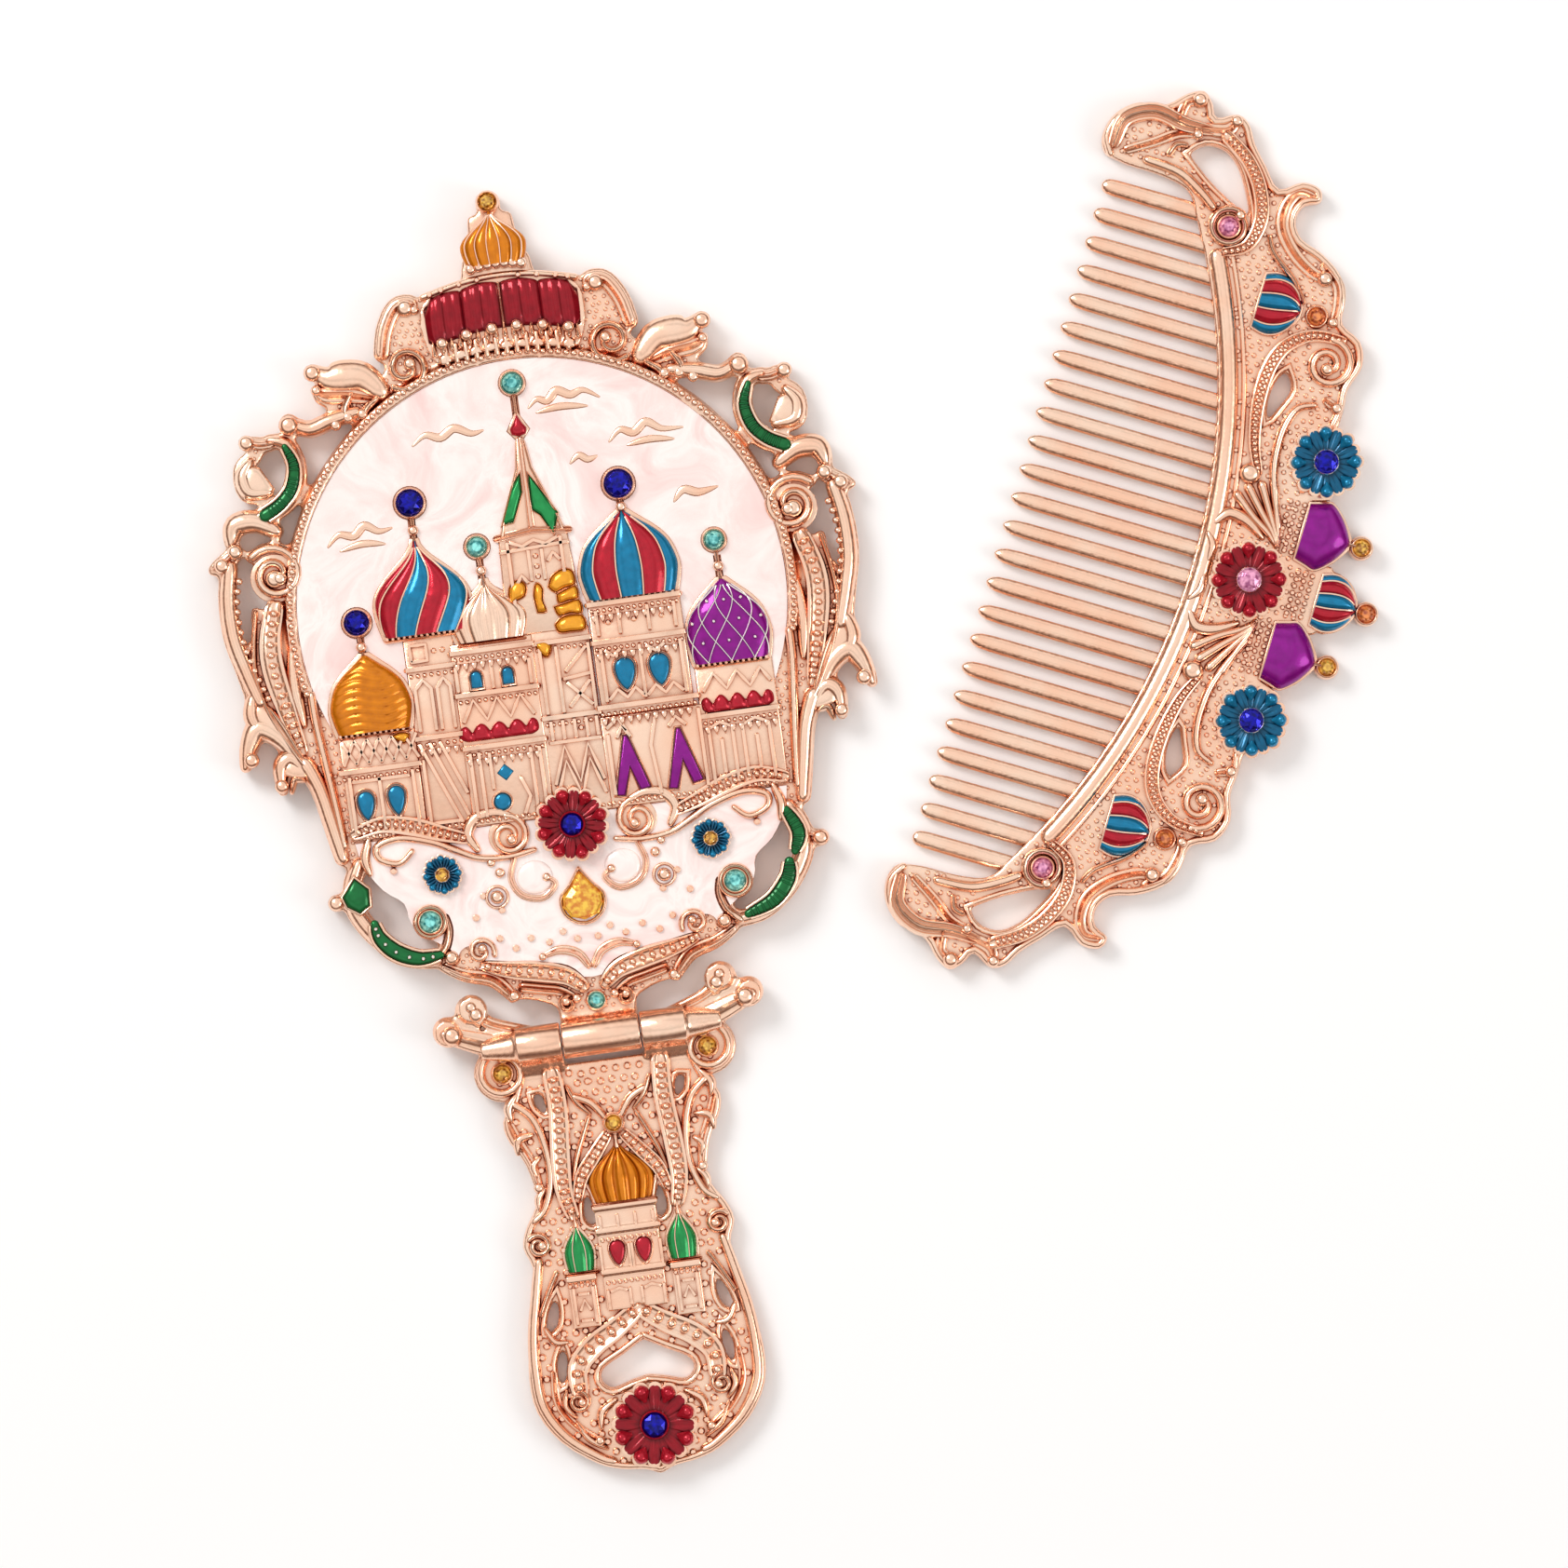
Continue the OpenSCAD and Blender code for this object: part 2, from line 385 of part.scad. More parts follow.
module wall_relief() {
    for (p = wall_lines) polygon(band(p, [wall_line_w, wall_line_w, wall_line_w]));
    intersection() {
        translate([-29.6, -19.4]) square([10, 3.6]);
        for (x = [-34 : 1.8 : -16], lean = [-1, 1])
            polygon(band([[x - 2 * lean, -19.6], [x + 2 * lean, -15.6]], [0.35, 0.35, 0.35]));
    }
}

module window(at, w, h) {
    translate(at) polygon([for (a = [-60 : 20 : 240]) [w / 2 * cos(a), h / 4 + w / 2 * sin(a)], [0, -h / 2]]);
}

module windows() {
    for (at = [[-27.2, -25], [-23, -24.8]]) window(at, 1.9, 4);
    for (at = [[9.9, -12], [14.6, -12]]) window(at, 2.7, 4.4);
    for (at = [[-10.2, -10.2], [-5.9, -10.2]]) translate(at) {
        translate([-0.8, -0.9]) square([1.6, 1.6]);
        translate([0, 0.7]) circle(r = 0.8, $fn = 16);
    }
    translate([-8, -23]) rotate(45) square(1.7, center = true);
    translate([-8.9, -26.9]) circle(r = 1.2, $fn = 16);
}

module awnings() {
    for (a = [[-13.6, -18.4, 11.2], [19.3, -18.9, 10.2]]) {
        translate([a[0], a[1]]) square([a[2], 1.4]);
        for (k = [0 : 4]) translate([a[0] + a[2] * (k + 0.5) / 5, a[1] + 1.3])
            circle(r = a[2] / 10, $fn = 14);
    }
}

module arches() {
    for (x = [8.9, 16.1]) polygon([[x - 2.5, -28.2], [x - 0.5, -20.2], [x + 0.1, -20.2], [x + 2.4, -27.6],
        [x + 0.9, -27.9], [x - 0.1, -24.6], [x - 1.2, -28.4]]);
}

module lattice() {
    for (p = [[-4.2, -0.4, 2, 2.6], [-1.6, -2, 1.6, 3.6], [1.2, -4.4, 3.4, 6.4], [-1, -8, 1.4, 1.4]])
        translate([p[0], p[1]]) square([p[2], p[3]]);
}

module roof() {
    both() polygon([[0.5, 16.6], [0.5, 12.4], [1.4, 11.4], [3, 9.2], [3.8, 10.6], [2.2, 14]]);
}

module basin_outline() {
    both() polygon(concat([[0, -28], [29.6, -28]],
        smooth([[29.6, -29], [28.8, -33], [26.6, -36.6], [24, -38.8], [23.4, -41.6], [20.8, -44.2],
            [18.6, -45.8], [16.6, -48.6], [12, -50.4], [6, -51.4], [0, -52]], 3)));
}

module head_outline() {
    translate(field_at) circle(r = field_r + 1.8, $fn = 120);
    offset(delta = 0.3) both() scrolls(rim_scrolls, rim_volutes);
    both() {
        polygon([[0, -32], [30, -32], [32.2, -26], [33.4, -20], [35, -14], [33, -4], [0, -4]]);
        polygon(concat([[0, 30]], smooth(crown_shoulder, 3), [[4.6, 46], [3.4, 48], [3, 52], [0, 53]]));
        for (b = rim_beads) translate([b[0], b[1]]) circle(r = b[2], $fn = 20);
        translate([20.8, -41.7]) circle(r = 2.5, $fn = 30);
        polygon(foot_outline);
    }
    translate([0, 53.7]) circle(r = 1.7, $fn = 24);
    basin_outline();
}

module head_holes() {
    both() {
        polygon([[25.8, 24.8], [29.2, 23.6], [29, 20.4]]);
        polygon(smooth(side_gap, 3));
        polygon(smooth(low_gap, 3));
    }
}

module pin_hole(r) {
    translate([0, hinge_y, hinge_z]) rotate([0, 90, 0]) cylinder(r = r, h = 60, center = true, $fn = 48);
}

module knuckle(x0, x1) {
    translate([x0, hinge_y, hinge_z]) rotate([0, 90, 0]) cylinder(r = knuckle_r, h = x1 - x0, $fn = 64);
}

module head_frame() color(rose) difference() {
    union() {
        translate([0, 0, plate_z]) linear_extrude(plate_t) offset(delta = 0.01) difference() {
            head_outline();
            head_holes();
        }
        translate(field_at) difference() {
            disc(glass_r + bezel_w, 0, plate_z + 1);
            disc(glass_r + 0.1, -1, plate_z + 3);
        }
        translate(field_at) difference() {
            disc(field_r + 1.5, plate_top - 0.5, scroll_t + 0.3);
            disc(field_r, plate_top - 1, scroll_t + 2);
            translate([-50, -58, 0]) cube([100, 50, 20]);
        }
        knuckle(-knuckle_half, knuckle_half);
        translate([-knuckle_half, 0, 0]) rotate([90, 0, 90]) linear_extrude(2 * knuckle_half)
            polygon([[hinge_y, plate_z + 0.2], [-55.8, plate_z + 0.2], [-55.8, plate_top - 0.2],
                [-57.2, plate_top + 0.2], [-58.4, plate_top + 1.8], [hinge_y, hinge_z + 1]]);
    }
    translate(field_at) disc(glass_r + 0.1, -1, recess_top + 1);
    pin_hole(pin_r + 0.05);
}

module rim_pattern() both() {
    scrolls(rim_scrolls, rim_volutes);
    for (b = rim_beads) translate([b[0], b[1]]) circle(r = b[2] - 0.2, $fn = 16);
}

module rim_scrollwork() color(rose) translate([0, 0, plate_top]) linear_extrude(scroll_t) difference() {
    offset(delta = 0.02) rim_pattern();
    translate(field_at) circle(r = field_r + 1.5 + fit, $fn = 120);
    both() translate([0, 30]) square([11.3, 20]);
    translate([0, -55.2]) circle(r = 1.4, $fn = 24);
}

module basin_pattern() both() {
    scrolls(basin_scrolls, basin_volutes);
    translate([20.8, -41.7]) difference() {
        circle(r = 2.4, $fn = 30);
        circle(r = 1.7, $fn = 30);
    }
}

module basin_scrollwork() color(rose) translate([0, 0, enamel_top]) linear_extrude(scroll_t - enamel_t + 0.3)
    difference() {
        offset(delta = 0.02) basin_pattern();
        translate([-40, -28.4]) square([80, 40]);
        offset(delta = 0.05) rim_pattern();
    }

module sky_enamel() color(pearl) translate([0, 0, plate_top]) linear_extrude(enamel_t) offset(delta = -fit)
    difference() {
        translate(field_at) circle(r = field_r, $fn = 120);
        castle_outline();
        translate([-50, -64]) square([100, 38]);
        both() polygon([[28, -30], [30.6, -26], [33.6, -14], [36, -14], [36, -30]]);
    }

module basin_enamel() color(pearl) translate([0, 0, plate_top]) linear_extrude(enamel_t) offset(delta = -fit)
    difference() {
        basin_outline();
        castle_outline();
        translate(flower_at) circle(r = 2.2, $fn = 36);
        translate([-50, -29.9]) square([100, 30]);
        offset(delta = 0.05) rim_pattern();
    }

module castle_walls() color(rose) difference() {
    union() {
        translate([0, 0, plate_top]) linear_extrude(1) difference() {
            offset(delta = 0.01) castle_outline();
            translate(flower_at) circle(r = 2.2, $fn = 36);
        }
        for (t = towers) translate([t[0] + 0.02, t[2] + 0.02, plate_top + 0.5])
            cube([t[1] - t[0] - 0.04, t[3] - t[2] - 0.04, t[4] - 0.5]);
        for (c = cornices) translate([c[0], c[2], enamel_top + 0.02])
            cube([c[1] - c[0], 0.7, c[3] + 0.2 - enamel_t]);
        translate([0, 0, plate_top + 0.6]) linear_extrude(1.15) offset(delta = 0.01) wall_relief();
        translate([0, 0, plate_top + 0.5]) linear_extrude(0.95) polygon(steeple);
        relief_dome([cupola_at[0], cupola_at[1], cupola_at[2], cupola_at[3] - 0.4], plate_top + 0.9, 1.3, 5);
    }
    translate([0, 0, plate_top + 1.1 - inlay]) linear_extrude(3) offset(delta = fit) {
        windows();
        awnings();
        arches();
        lattice();
        roof();
    }
    translate([flower_at[0], flower_at[1], 0]) cylinder(r = 2.2, h = 20, $fn = 48);
    translate([0, 0, enamel_top]) linear_extrude(3) offset(delta = 0.05) basin_pattern();
}

module cloud_wires() color(rose) translate([0, 0, enamel_top]) linear_extrude(0.3) difference() {
    offset(delta = 0.01) for (c = clouds) polygon(band(smooth(c[0], 4), c[1]));
    offset(delta = 0.3) castle_outline();
}

module amber_dome() color(amber) relief_dome(amber_at, plate_top + 1, 1.8, 6);

module striped_dome_left() color(blue) difference() {
    relief_dome(striped_left_at, plate_top + 1, dome_bulge, 5);
    translate([cupola_at[0] - cupola_at[2] - 0.6, -8, 0]) cube([20, 9.6, 20]);
}

module striped_dome_right() color(blue) relief_dome(striped_right_at, plate_top + 1, dome_bulge, 5);

module purple_dome() color(purple) relief_dome(purple_at, plate_top + 1, dome_bulge - 0.2, 5);

module inlays(z, top) translate([0, 0, z]) linear_extrude(top - z) children();

module roof_enamel() color(green) inlays(plate_top + 1.1 - inlay, plate_top + 1.5) roof();

module window_enamel() color(blue) inlays(plate_top + 1.1 - inlay, plate_top + 1.55) windows();

module awning_enamel() color(red) inlays(plate_top + 1.1 - inlay, plate_top + 1.9)
    offset(delta = 0.01) awnings();

module arch_enamel() color(purple) inlays(plate_top + 1.1 - inlay, plate_top + 1.6) arches();

module lattice_enamel() color(amber) inlays(plate_top + 1.1 - inlay, plate_top + 1.6)
    offset(delta = 0.01) lattice();

module spire_drop() color(red) inlays(plate_top + 1, plate_top + 1.7)
    polygon([[0, 24.9], [0.6, 23.6], [1.2, 22.8], [1, 22], [0, 21.7], [-1, 22], [-1.2, 22.8], [-0.6, 23.6]]);

module sapphire_stones() color(sapphire) for (s = sapphires) cabochon(s, plate_top + 1);

module aqua_stones() color(aqua) {
    for (s = aquas) stone(s, plate_top + 1);
    for (s = low_aquas) stone(s, s[1] < -50 ? plate_top : enamel_top);
}

module crown() color(rose) difference() {
    translate([0, 0, plate_top]) {
        linear_extrude(scroll_t) offset(delta = 0.01) {
            both() {
                polygon(concat([[0, 33.4]], smooth(crown_edge, 3)));
            }
            translate([-4.4, 43]) square([8.8, 1.9]);
            polygon(dome_outline([0, 44.8, 4.4, 7.4], 12));
            translate([0, 53.7]) circle(r = 1.6, $fn = 24);
            translate([-0.5, 51]) square([1, 2]);
        }
        for (k = [-4 : 4]) translate([k * 2.1, 34 - 0.012 * k * k * 4, scroll_t - 0.2])
            cylinder(r = 0.8, h = 0.7, $fn = 24);
    }
    translate(field_at) disc(field_r + 1.5 + fit, 0, 20);
    translate([0, 0, scroll_top - inlay]) linear_extrude(3) offset(delta = fit) crown_lobes();
}

module crown_lobes() both() for (k = [0 : 2]) {
    x0 = [0.3, 4, 7.3][k];
    x1 = [3.8, 7.1, 10.3][k];
    polygon([[x0, 36.9 - 0.02 * x0 * x0], [x1, 36.9 - 0.012 * x1 * x1], [x1 + 0.2, 40.4],
        [x1 - 0.8, 42.2 - 0.01 * x1 * x1], [x0 + 0.5, 42.3 - 0.01 * x0 * x0], [x0, 41.2]]);
}

module crown_enamel() color(red) inlays(scroll_top - inlay, scroll_top + 0.4) crown_lobes();

module finial_dome() color(amber) relief_dome(finial_at, scroll_top, 1.5, 5);

module finial_stone() color(orange) stone([0, 53.7, 1.15], scroll_top);

module mirror_glass() color("lightgray") translate(field_at) disc(glass_r, glass_z, glass_t);

module glass_adhesive() color("dimgray") translate(field_at) disc(glass_r - 1, glass_z + glass_t, adhesive_t);

module head_flower() color(red) flower(flower_at, 5, 12, plate_top, castle_top + 0.6, 2.1);

module head_flower_stone() color(sapphire) cabochon([flower_at[0], flower_at[1], 1.6], castle_top + 1.8);

module small_flowers() color(blue) both()
    flower([small_flower_x, small_flower_y], 2.7, 8, enamel_top, enamel_top + 0.2, 1.2);

module small_flower_stones() color(amber) both()
    stone([small_flower_x, small_flower_y, 0.85], enamel_top + 1.4);

module pear_stone() color(amber) translate([pear_at[0], pear_at[1], enamel_top]) {
    linear_extrude(0.8) polygon(concat([for (a = [150 : 15 : 390]) 2.8 * [cos(a), sin(a)]], [[0, 3.9]]));
    translate([0, 0, 0.79]) cylinder(r1 = 2.3, r2 = 1.2, h = 0.7, $fn = 48);
}

module rim_enamel() color(green) translate([0, 0, scroll_top]) linear_extrude(0.3) offset(delta = 0.01) {
    both() for (e = rim_enamels) polygon(band(smooth(e[0], 4), e[1]));
}

module handle_plate() {
    both() difference() {
        union() {
            polygon(concat([[0, -63.3], [5.4, -63.3]], smooth(handle_outline, 3)));
            translate([14, -63.4]) circle(r = 3.9, $fn = 36);
            polygon([[barrel_in, -62.2], [barrel_half, -62.2], [13, -66], [barrel_in, -66]]);
        }
        for (h = handle_holes) polygon(smooth(concat(h, [h[0]]), 3));
        polygon(smooth(handle_arch, 3));
    }
}

// A side knuckle, its web down to the plate, and the wing whose scrolls curl beside the mirror's foot
module side_knuckle() {
    length = barrel_half - barrel_in;
    knuckle(barrel_in, barrel_half);
    translate([barrel_in, 0, 0]) rotate([90, 0, 90]) linear_extrude(length) polygon([
        [-66, 0.3], [-61, 0.8], [-58.3, 3], [hinge_y, hinge_z], [-62, 4.6], [-64.4, handle_t], [-66, handle_t]
    ]);
    translate([barrel_half - 0.1, hinge_y, hinge_z]) rotate([0, 90, 0])
        cylinder(r1 = 2.1, r2 = 1.2, h = 5, $fn = 48);
    translate([0, 0, wing_z]) linear_extrude(wing_t) offset(delta = 0.15) scrolls(wing_scrolls, []);
    translate([0, 0, wing_z]) linear_extrude(wing_t + 0.8) offset(delta = 0.02) scrolls([], wing_volutes);
    translate([17, -54.4, wing_z]) cylinder(r = 2.2, h = wing_t, $fn = 36);
    translate([20.5, -56.8, wing_z]) cylinder(r = 2.1, h = wing_t, $fn = 36);
}

module handle_frame() color(rose) difference() {
    union() {
        linear_extrude(handle_t) offset(delta = 0.01) handle_plate();
        both() side_knuckle();
    }
    pin_hole(pin_r);
}

module handle_scrollwork() color(rose) translate([0, 0, handle_t]) linear_extrude(handle_scroll_t)
    difference() {
        offset(delta = 0.02) both() scrolls(handle_scrolls, handle_volutes);
        square([2 * barrel_half + 0.1, 129.4], center = true);
        both() {
            translate([barrel_half - 1, -62.3]) square([6, 20]);
            offset(delta = 0.2) scrolls(wing_scrolls, wing_volutes);
        }
        translate([0, -79.6]) circle(r = 4.9, $fn = 36);
        for (x = [-7, 7]) translate([x, -88.4]) circle(r = 2.9, $fn = 24);
        translate([0, -89.6]) square([9.2, 15.6], center = true);
        translate([0, -72]) circle(r = 1.6, $fn = 24);
        translate(handle_flower_at) circle(r = 2.4, $fn = 36);
    }

module hinge_pin() color("silver") translate([0, hinge_y, hinge_z]) rotate([0, 90, 0])
    cylinder(r = pin_r, h = 2 * barrel_half - 0.4, center = true, $fn = 48);

module handle_towers() color(rose) translate([0, 0, handle_t]) difference() {
    union() {
        translate([-4.2, -97.2, 0]) cube([8.4, 14.6, 1.1]);
        for (y = [-83.4, -86.6, -92.2]) translate([-4.5, y, 0]) cube([9, 0.6, 1.4]);
        for (x = [-9, 5.2]) {
            translate([x, -99, 0]) cube([3.8, 7.4, 0.9]);
            translate([x - 0.2, -92.6, 0]) cube([4.2, 0.8, 1.2]);
        }
        translate([0, -72, 0]) cylinder(r = 1.55, h = 1, $fn = 36);
    }
    translate([0, 0, 1.1 - inlay]) linear_extrude(3) offset(delta = fit) handle_windows();
    linear_extrude(5) both() polygon([[0, -96.6], [3.6, -98.4], [3.6, -110], [0, -110]]);
}

module handle_windows() for (x = [-1.8, 1.8]) window([x, -89.5], 1.6, 3.2);

module handle_window_enamel() color(red) inlays(handle_t + 1.1 - inlay, handle_t + 1.25) handle_windows();

module handle_dome() color(amber) relief_dome([0, -82.5, 4.5, 8.2], handle_t, 1.6, 5);

module handle_side_domes() color(green) both() relief_dome([7, -91.3, 2, 6.6], handle_t, 1.2, 4);

module handle_flower() color(red) flower(handle_flower_at, 5.8, 12, handle_t, handle_top, 2.3);

module handle_flower_stone() color(sapphire)
    cabochon([handle_flower_at[0], handle_flower_at[1], 1.8], handle_top + 1.2);

module handle_amber_stones() color(amber) {
    both() stone([14, -63.4, 1.3], handle_t);
    stone([0, -72, 1.1], handle_t + 1);
}

module comb_place() translate(comb_at) rotate(comb_angle) children();

module comb_beds() {
    for (y = [-18.2, 18.2]) translate([6, y]) circle(r = 4.6, $fn = 40);
    for (y = [-8.4, 8.4]) {
        rotate(-90) polygon(dome_outline([-y, 5.4, 4.8, 7], 12));
        translate([13.9, y]) circle(r = 1.7, $fn = 24);
        translate([11, y - 0.5]) square([2, 1]);
    }
    rotate(-90) polygon(dome_outline([0, 9.8, 4.3, 6], 12));
    translate([17, 0]) circle(r = 1.7, $fn = 24);
    translate([14, -0.5]) square([2, 1]);
    translate([4, -4.8]) square([7, 9.6]);
}

module comb_back_outline() difference() {
    union() {
        both_ways() polygon(concat([[root_x - 20, 0], [root_x - 20, 46.2]], smooth(comb_outline, 3)));
        comb_beds();
    }
    both_ways() for (h = comb_holes) polygon(smooth(concat(h, [h[0]]), 3));
}

module root_cylinder(r, h) translate([root_x - root_r, 0, -1]) cylinder(r = r, h = h, $fn = 360);

module comb_frame() color(rose) comb_place() difference() {
    linear_extrude(comb_t) offset(delta = 0.01) comb_back_outline();
    difference() {
        root_cylinder(root_r, 20);
        both_ways() linear_extrude(comb_t + 2) polygon(concat(
            smooth([[-18, 44.4], [-20.4, 46.2], [-22.4, 48.6], [-26.6, 49.4], [-31, 49.5], [-34.2, 50]], 3),
            [[-40, 50], [-40, 70], [0, 70], [0, 44.4]]));
    }
}

module tooth(y) {
    half = tooth_w / 2;
    arc = [for (a = [90 : 20 : 270]) [tip_x + half + half * cos(a) * 1.3, y + half * 0.85 * sin(a)]];
    translate([0, 0, (comb_t - tooth_t) / 2]) linear_extrude(tooth_t)
        polygon(concat(arc, [[0, y - half], [0, y + half]]));
}

module comb_teeth() color(rose) comb_place() intersection() {
    for (k = [0 : tooth_count - 1]) tooth((k - (tooth_count - 1) / 2) * tooth_pitch);
    root_cylinder(root_r, 20);
}

module comb_root_rib() color(rose) comb_place() translate([0, 0, comb_t]) intersection() {
    difference() {
        root_cylinder(root_r + 2.4, 1 + comb_scroll_t * 0.7);
        root_cylinder(root_r + 0.6, 20);
    }
    translate([-40, -41, 0]) cube([60, 82, 3]);
}

module comb_scrollwork() color(rose) comb_place() translate([0, 0, comb_t]) linear_extrude(comb_scroll_t)
    difference() {
        offset(delta = 0.02) both_ways() scrolls(comb_scrolls, comb_volutes);
        translate([root_x - root_r, 0]) circle(r = root_r + 2.4 + fit, $fn = 360);
        for (y = [-18.2, 18.2]) translate([6, y]) circle(r = 2.6, $fn = 36);
        for (y = [-36.8, 36.8]) {
            rotate(-90) polygon(dome_outline([-y, -9, 4.7, 6.6], 12));
            translate([-0.7, y]) circle(r = 1.6, $fn = 24);
        }
        circle(r = 2.5, $fn = 36);
    }

module comb_red_flower() color(red) comb_place() flower([0.4, 0], 5.2, 12, comb_t, comb_top, 2);

module comb_blue_flowers() color(blue) comb_place() both_ways() flower([6, 18.2], 5, 12, comb_t, comb_top, 2);

module comb_flower_stones() color(sapphire) comb_place() {
    both_ways() stone([6, 18.2, 1.7], comb_top + 1.2);
    stone([0.4, 0, 1.7], comb_top + 1.2);
}

module comb_purple_domes() color(purple) comb_place() both_ways()
    rotate(-90) relief_dome([-8.4, 5.6, 4.4, 6.4], comb_t, 2.2, 3);

module comb_striped_domes() color(blue) comb_place() {
    rotate(-90) relief_dome([0, 10, 3.9, 5.4], comb_t, 2, 5);
    both_ways() rotate(-90) relief_dome([-36.8, -8.8, 4.2, 5.8], comb_t, 2, 5);
}

module comb_pink_stones() color(pink) comb_place() both_ways() stone([-15.5, 45.2, 1.45], comb_t);

module comb_orange_stones() color(orange) comb_place() {
    both_ways() stone([-0.7, 36.8, 1.3], comb_t);
    stone([17, 0, 1.25], comb_t);
}

module comb_yellow_stones() color(amber) comb_place() both_ways() stone([13.9, 8.4, 1.2], comb_t);

translate(set_shift) {
    head_frame();
    rim_scrollwork();
    basin_scrollwork();
    crown();
    crown_enamel();
    finial_dome();
    finial_stone();
    mirror_glass();
    glass_adhesive();
    sky_enamel();
    basin_enamel();
    castle_walls();
    cloud_wires();
    amber_dome();
    striped_dome_left();
    striped_dome_right();
    purple_dome();
    roof_enamel();
    window_enamel();
    awning_enamel();
    arch_enamel();
    lattice_enamel();
    spire_drop();
    sapphire_stones();
    aqua_stones();
    head_flower();
    head_flower_stone();
    small_flowers();
    small_flower_stones();
    pear_stone();
    rim_enamel();
    handle_frame();
    handle_scrollwork();
    hinge_pin();
    handle_towers();
    handle_dome();
    handle_side_domes();
    handle_window_enamel();
    handle_flower();
    handle_flower_stone();
    handle_amber_stones();
    comb_frame();
    comb_teeth();
    comb_root_rib();
    comb_scrollwork();
    comb_red_flower();
    comb_blue_flowers();
    comb_flower_stones();
    comb_purple_domes();
    comb_striped_domes();
    comb_pink_stones();
    comb_orange_stones();
    comb_yellow_stones();
}
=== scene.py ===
import json
import math

import bmesh
import bpy
import numpy as np
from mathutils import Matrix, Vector
from mathutils.bvhtree import BVHTree

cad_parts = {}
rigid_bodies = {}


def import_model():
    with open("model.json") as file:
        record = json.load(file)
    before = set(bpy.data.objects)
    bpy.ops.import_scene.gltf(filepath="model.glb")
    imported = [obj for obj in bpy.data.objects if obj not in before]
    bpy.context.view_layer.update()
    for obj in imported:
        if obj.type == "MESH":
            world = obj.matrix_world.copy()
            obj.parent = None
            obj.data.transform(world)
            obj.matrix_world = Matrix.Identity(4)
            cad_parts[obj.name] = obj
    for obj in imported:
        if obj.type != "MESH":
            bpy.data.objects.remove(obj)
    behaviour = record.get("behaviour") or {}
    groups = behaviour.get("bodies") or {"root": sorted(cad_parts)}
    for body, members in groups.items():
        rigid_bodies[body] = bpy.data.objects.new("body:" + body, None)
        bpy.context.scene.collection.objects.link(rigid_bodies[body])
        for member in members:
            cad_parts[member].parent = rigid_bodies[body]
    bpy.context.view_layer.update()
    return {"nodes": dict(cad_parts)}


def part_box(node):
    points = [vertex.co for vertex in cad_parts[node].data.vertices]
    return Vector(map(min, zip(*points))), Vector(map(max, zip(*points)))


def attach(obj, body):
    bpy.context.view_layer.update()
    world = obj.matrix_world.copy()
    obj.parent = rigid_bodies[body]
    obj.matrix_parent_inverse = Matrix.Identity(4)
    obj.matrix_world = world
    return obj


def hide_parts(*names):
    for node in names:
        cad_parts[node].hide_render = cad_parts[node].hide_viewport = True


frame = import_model()

# Everything is laid out in millimetres. A Layout puts a drawing where the frame has that part of the set.
MM = 0.001
COMB_TURN = math.radians(-24)
FIELD_Y = -1.0
FIELD_R = 33.2
HINGE_Y = -60.0
HINGE_Z = 4.8


def box_mm(node):
    low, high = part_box(node)
    return np.array(low) / MM, np.array(high) / MM


def middle(node):
    low, high = box_mm(node)
    return (low + high) / 2


class Layout:
    """Where a flat millimetre layout lies in the frame."""

    def __init__(self, origin, turn=0.0):
        self.origin, self.turn = np.array(origin, float), turn

    def put(self, points):
        points = np.asarray(points, float)
        c, s = math.cos(self.turn), math.sin(self.turn)
        x = self.origin[0] + c * points[:, 0] - s * points[:, 1]
        y = self.origin[1] + s * points[:, 0] + c * points[:, 1]
        return np.stack([x, y, points[:, 2]], 1) * MM


glass_middle = middle("mirror_glass")
comb_flower = middle("comb_red_flower")
COMB_FLOWER_X = 0.4
MIRROR = Layout((glass_middle[0], glass_middle[1] - FIELD_Y))
COMB = Layout((comb_flower[0] - COMB_FLOWER_X * math.cos(COMB_TURN),
               comb_flower[1] - COMB_FLOWER_X * math.sin(COMB_TURN)), COMB_TURN)
LAYOUTS = {"head": MIRROR, "handle": MIRROR, "comb": COMB}

# Heights that the solids already have
PLATE = box_mm("sky_enamel")[0][2]
ENAMEL = box_mm("sky_enamel")[1][2]
SCROLL = box_mm("rim_scrollwork")[1][2]
WALL = PLATE + 1.0
GRIP = box_mm("handle_scrollwork")[0][2]
GRIP_SCROLL = box_mm("handle_scrollwork")[1][2]
SPINE = box_mm("comb_scrollwork")[0][2]
SPINE_SCROLL = box_mm("comb_scrollwork")[1][2]


# Shader maths
class Signal:
    """A shader socket that Python's operators work on."""

    def __init__(self, maker, socket):
        self.maker, self.socket = maker, socket

    def join(self, operation, first, second):
        return self.maker.node("ShaderNodeMath", {"operation": operation}, {0: first, 1: second})

    def __add__(self, other):
        return self.join("ADD", self, other)

    def __mul__(self, other):
        return self.join("MULTIPLY", self, other)

    __radd__ = __add__
    __rmul__ = __mul__


def fill_ramp(ramp, stops):
    while len(ramp.elements) < len(stops):
        ramp.elements.new(0.5)
    for element, (position, colour) in zip(ramp.elements, stops):
        element.position, element.color = position, (*colour, 1)


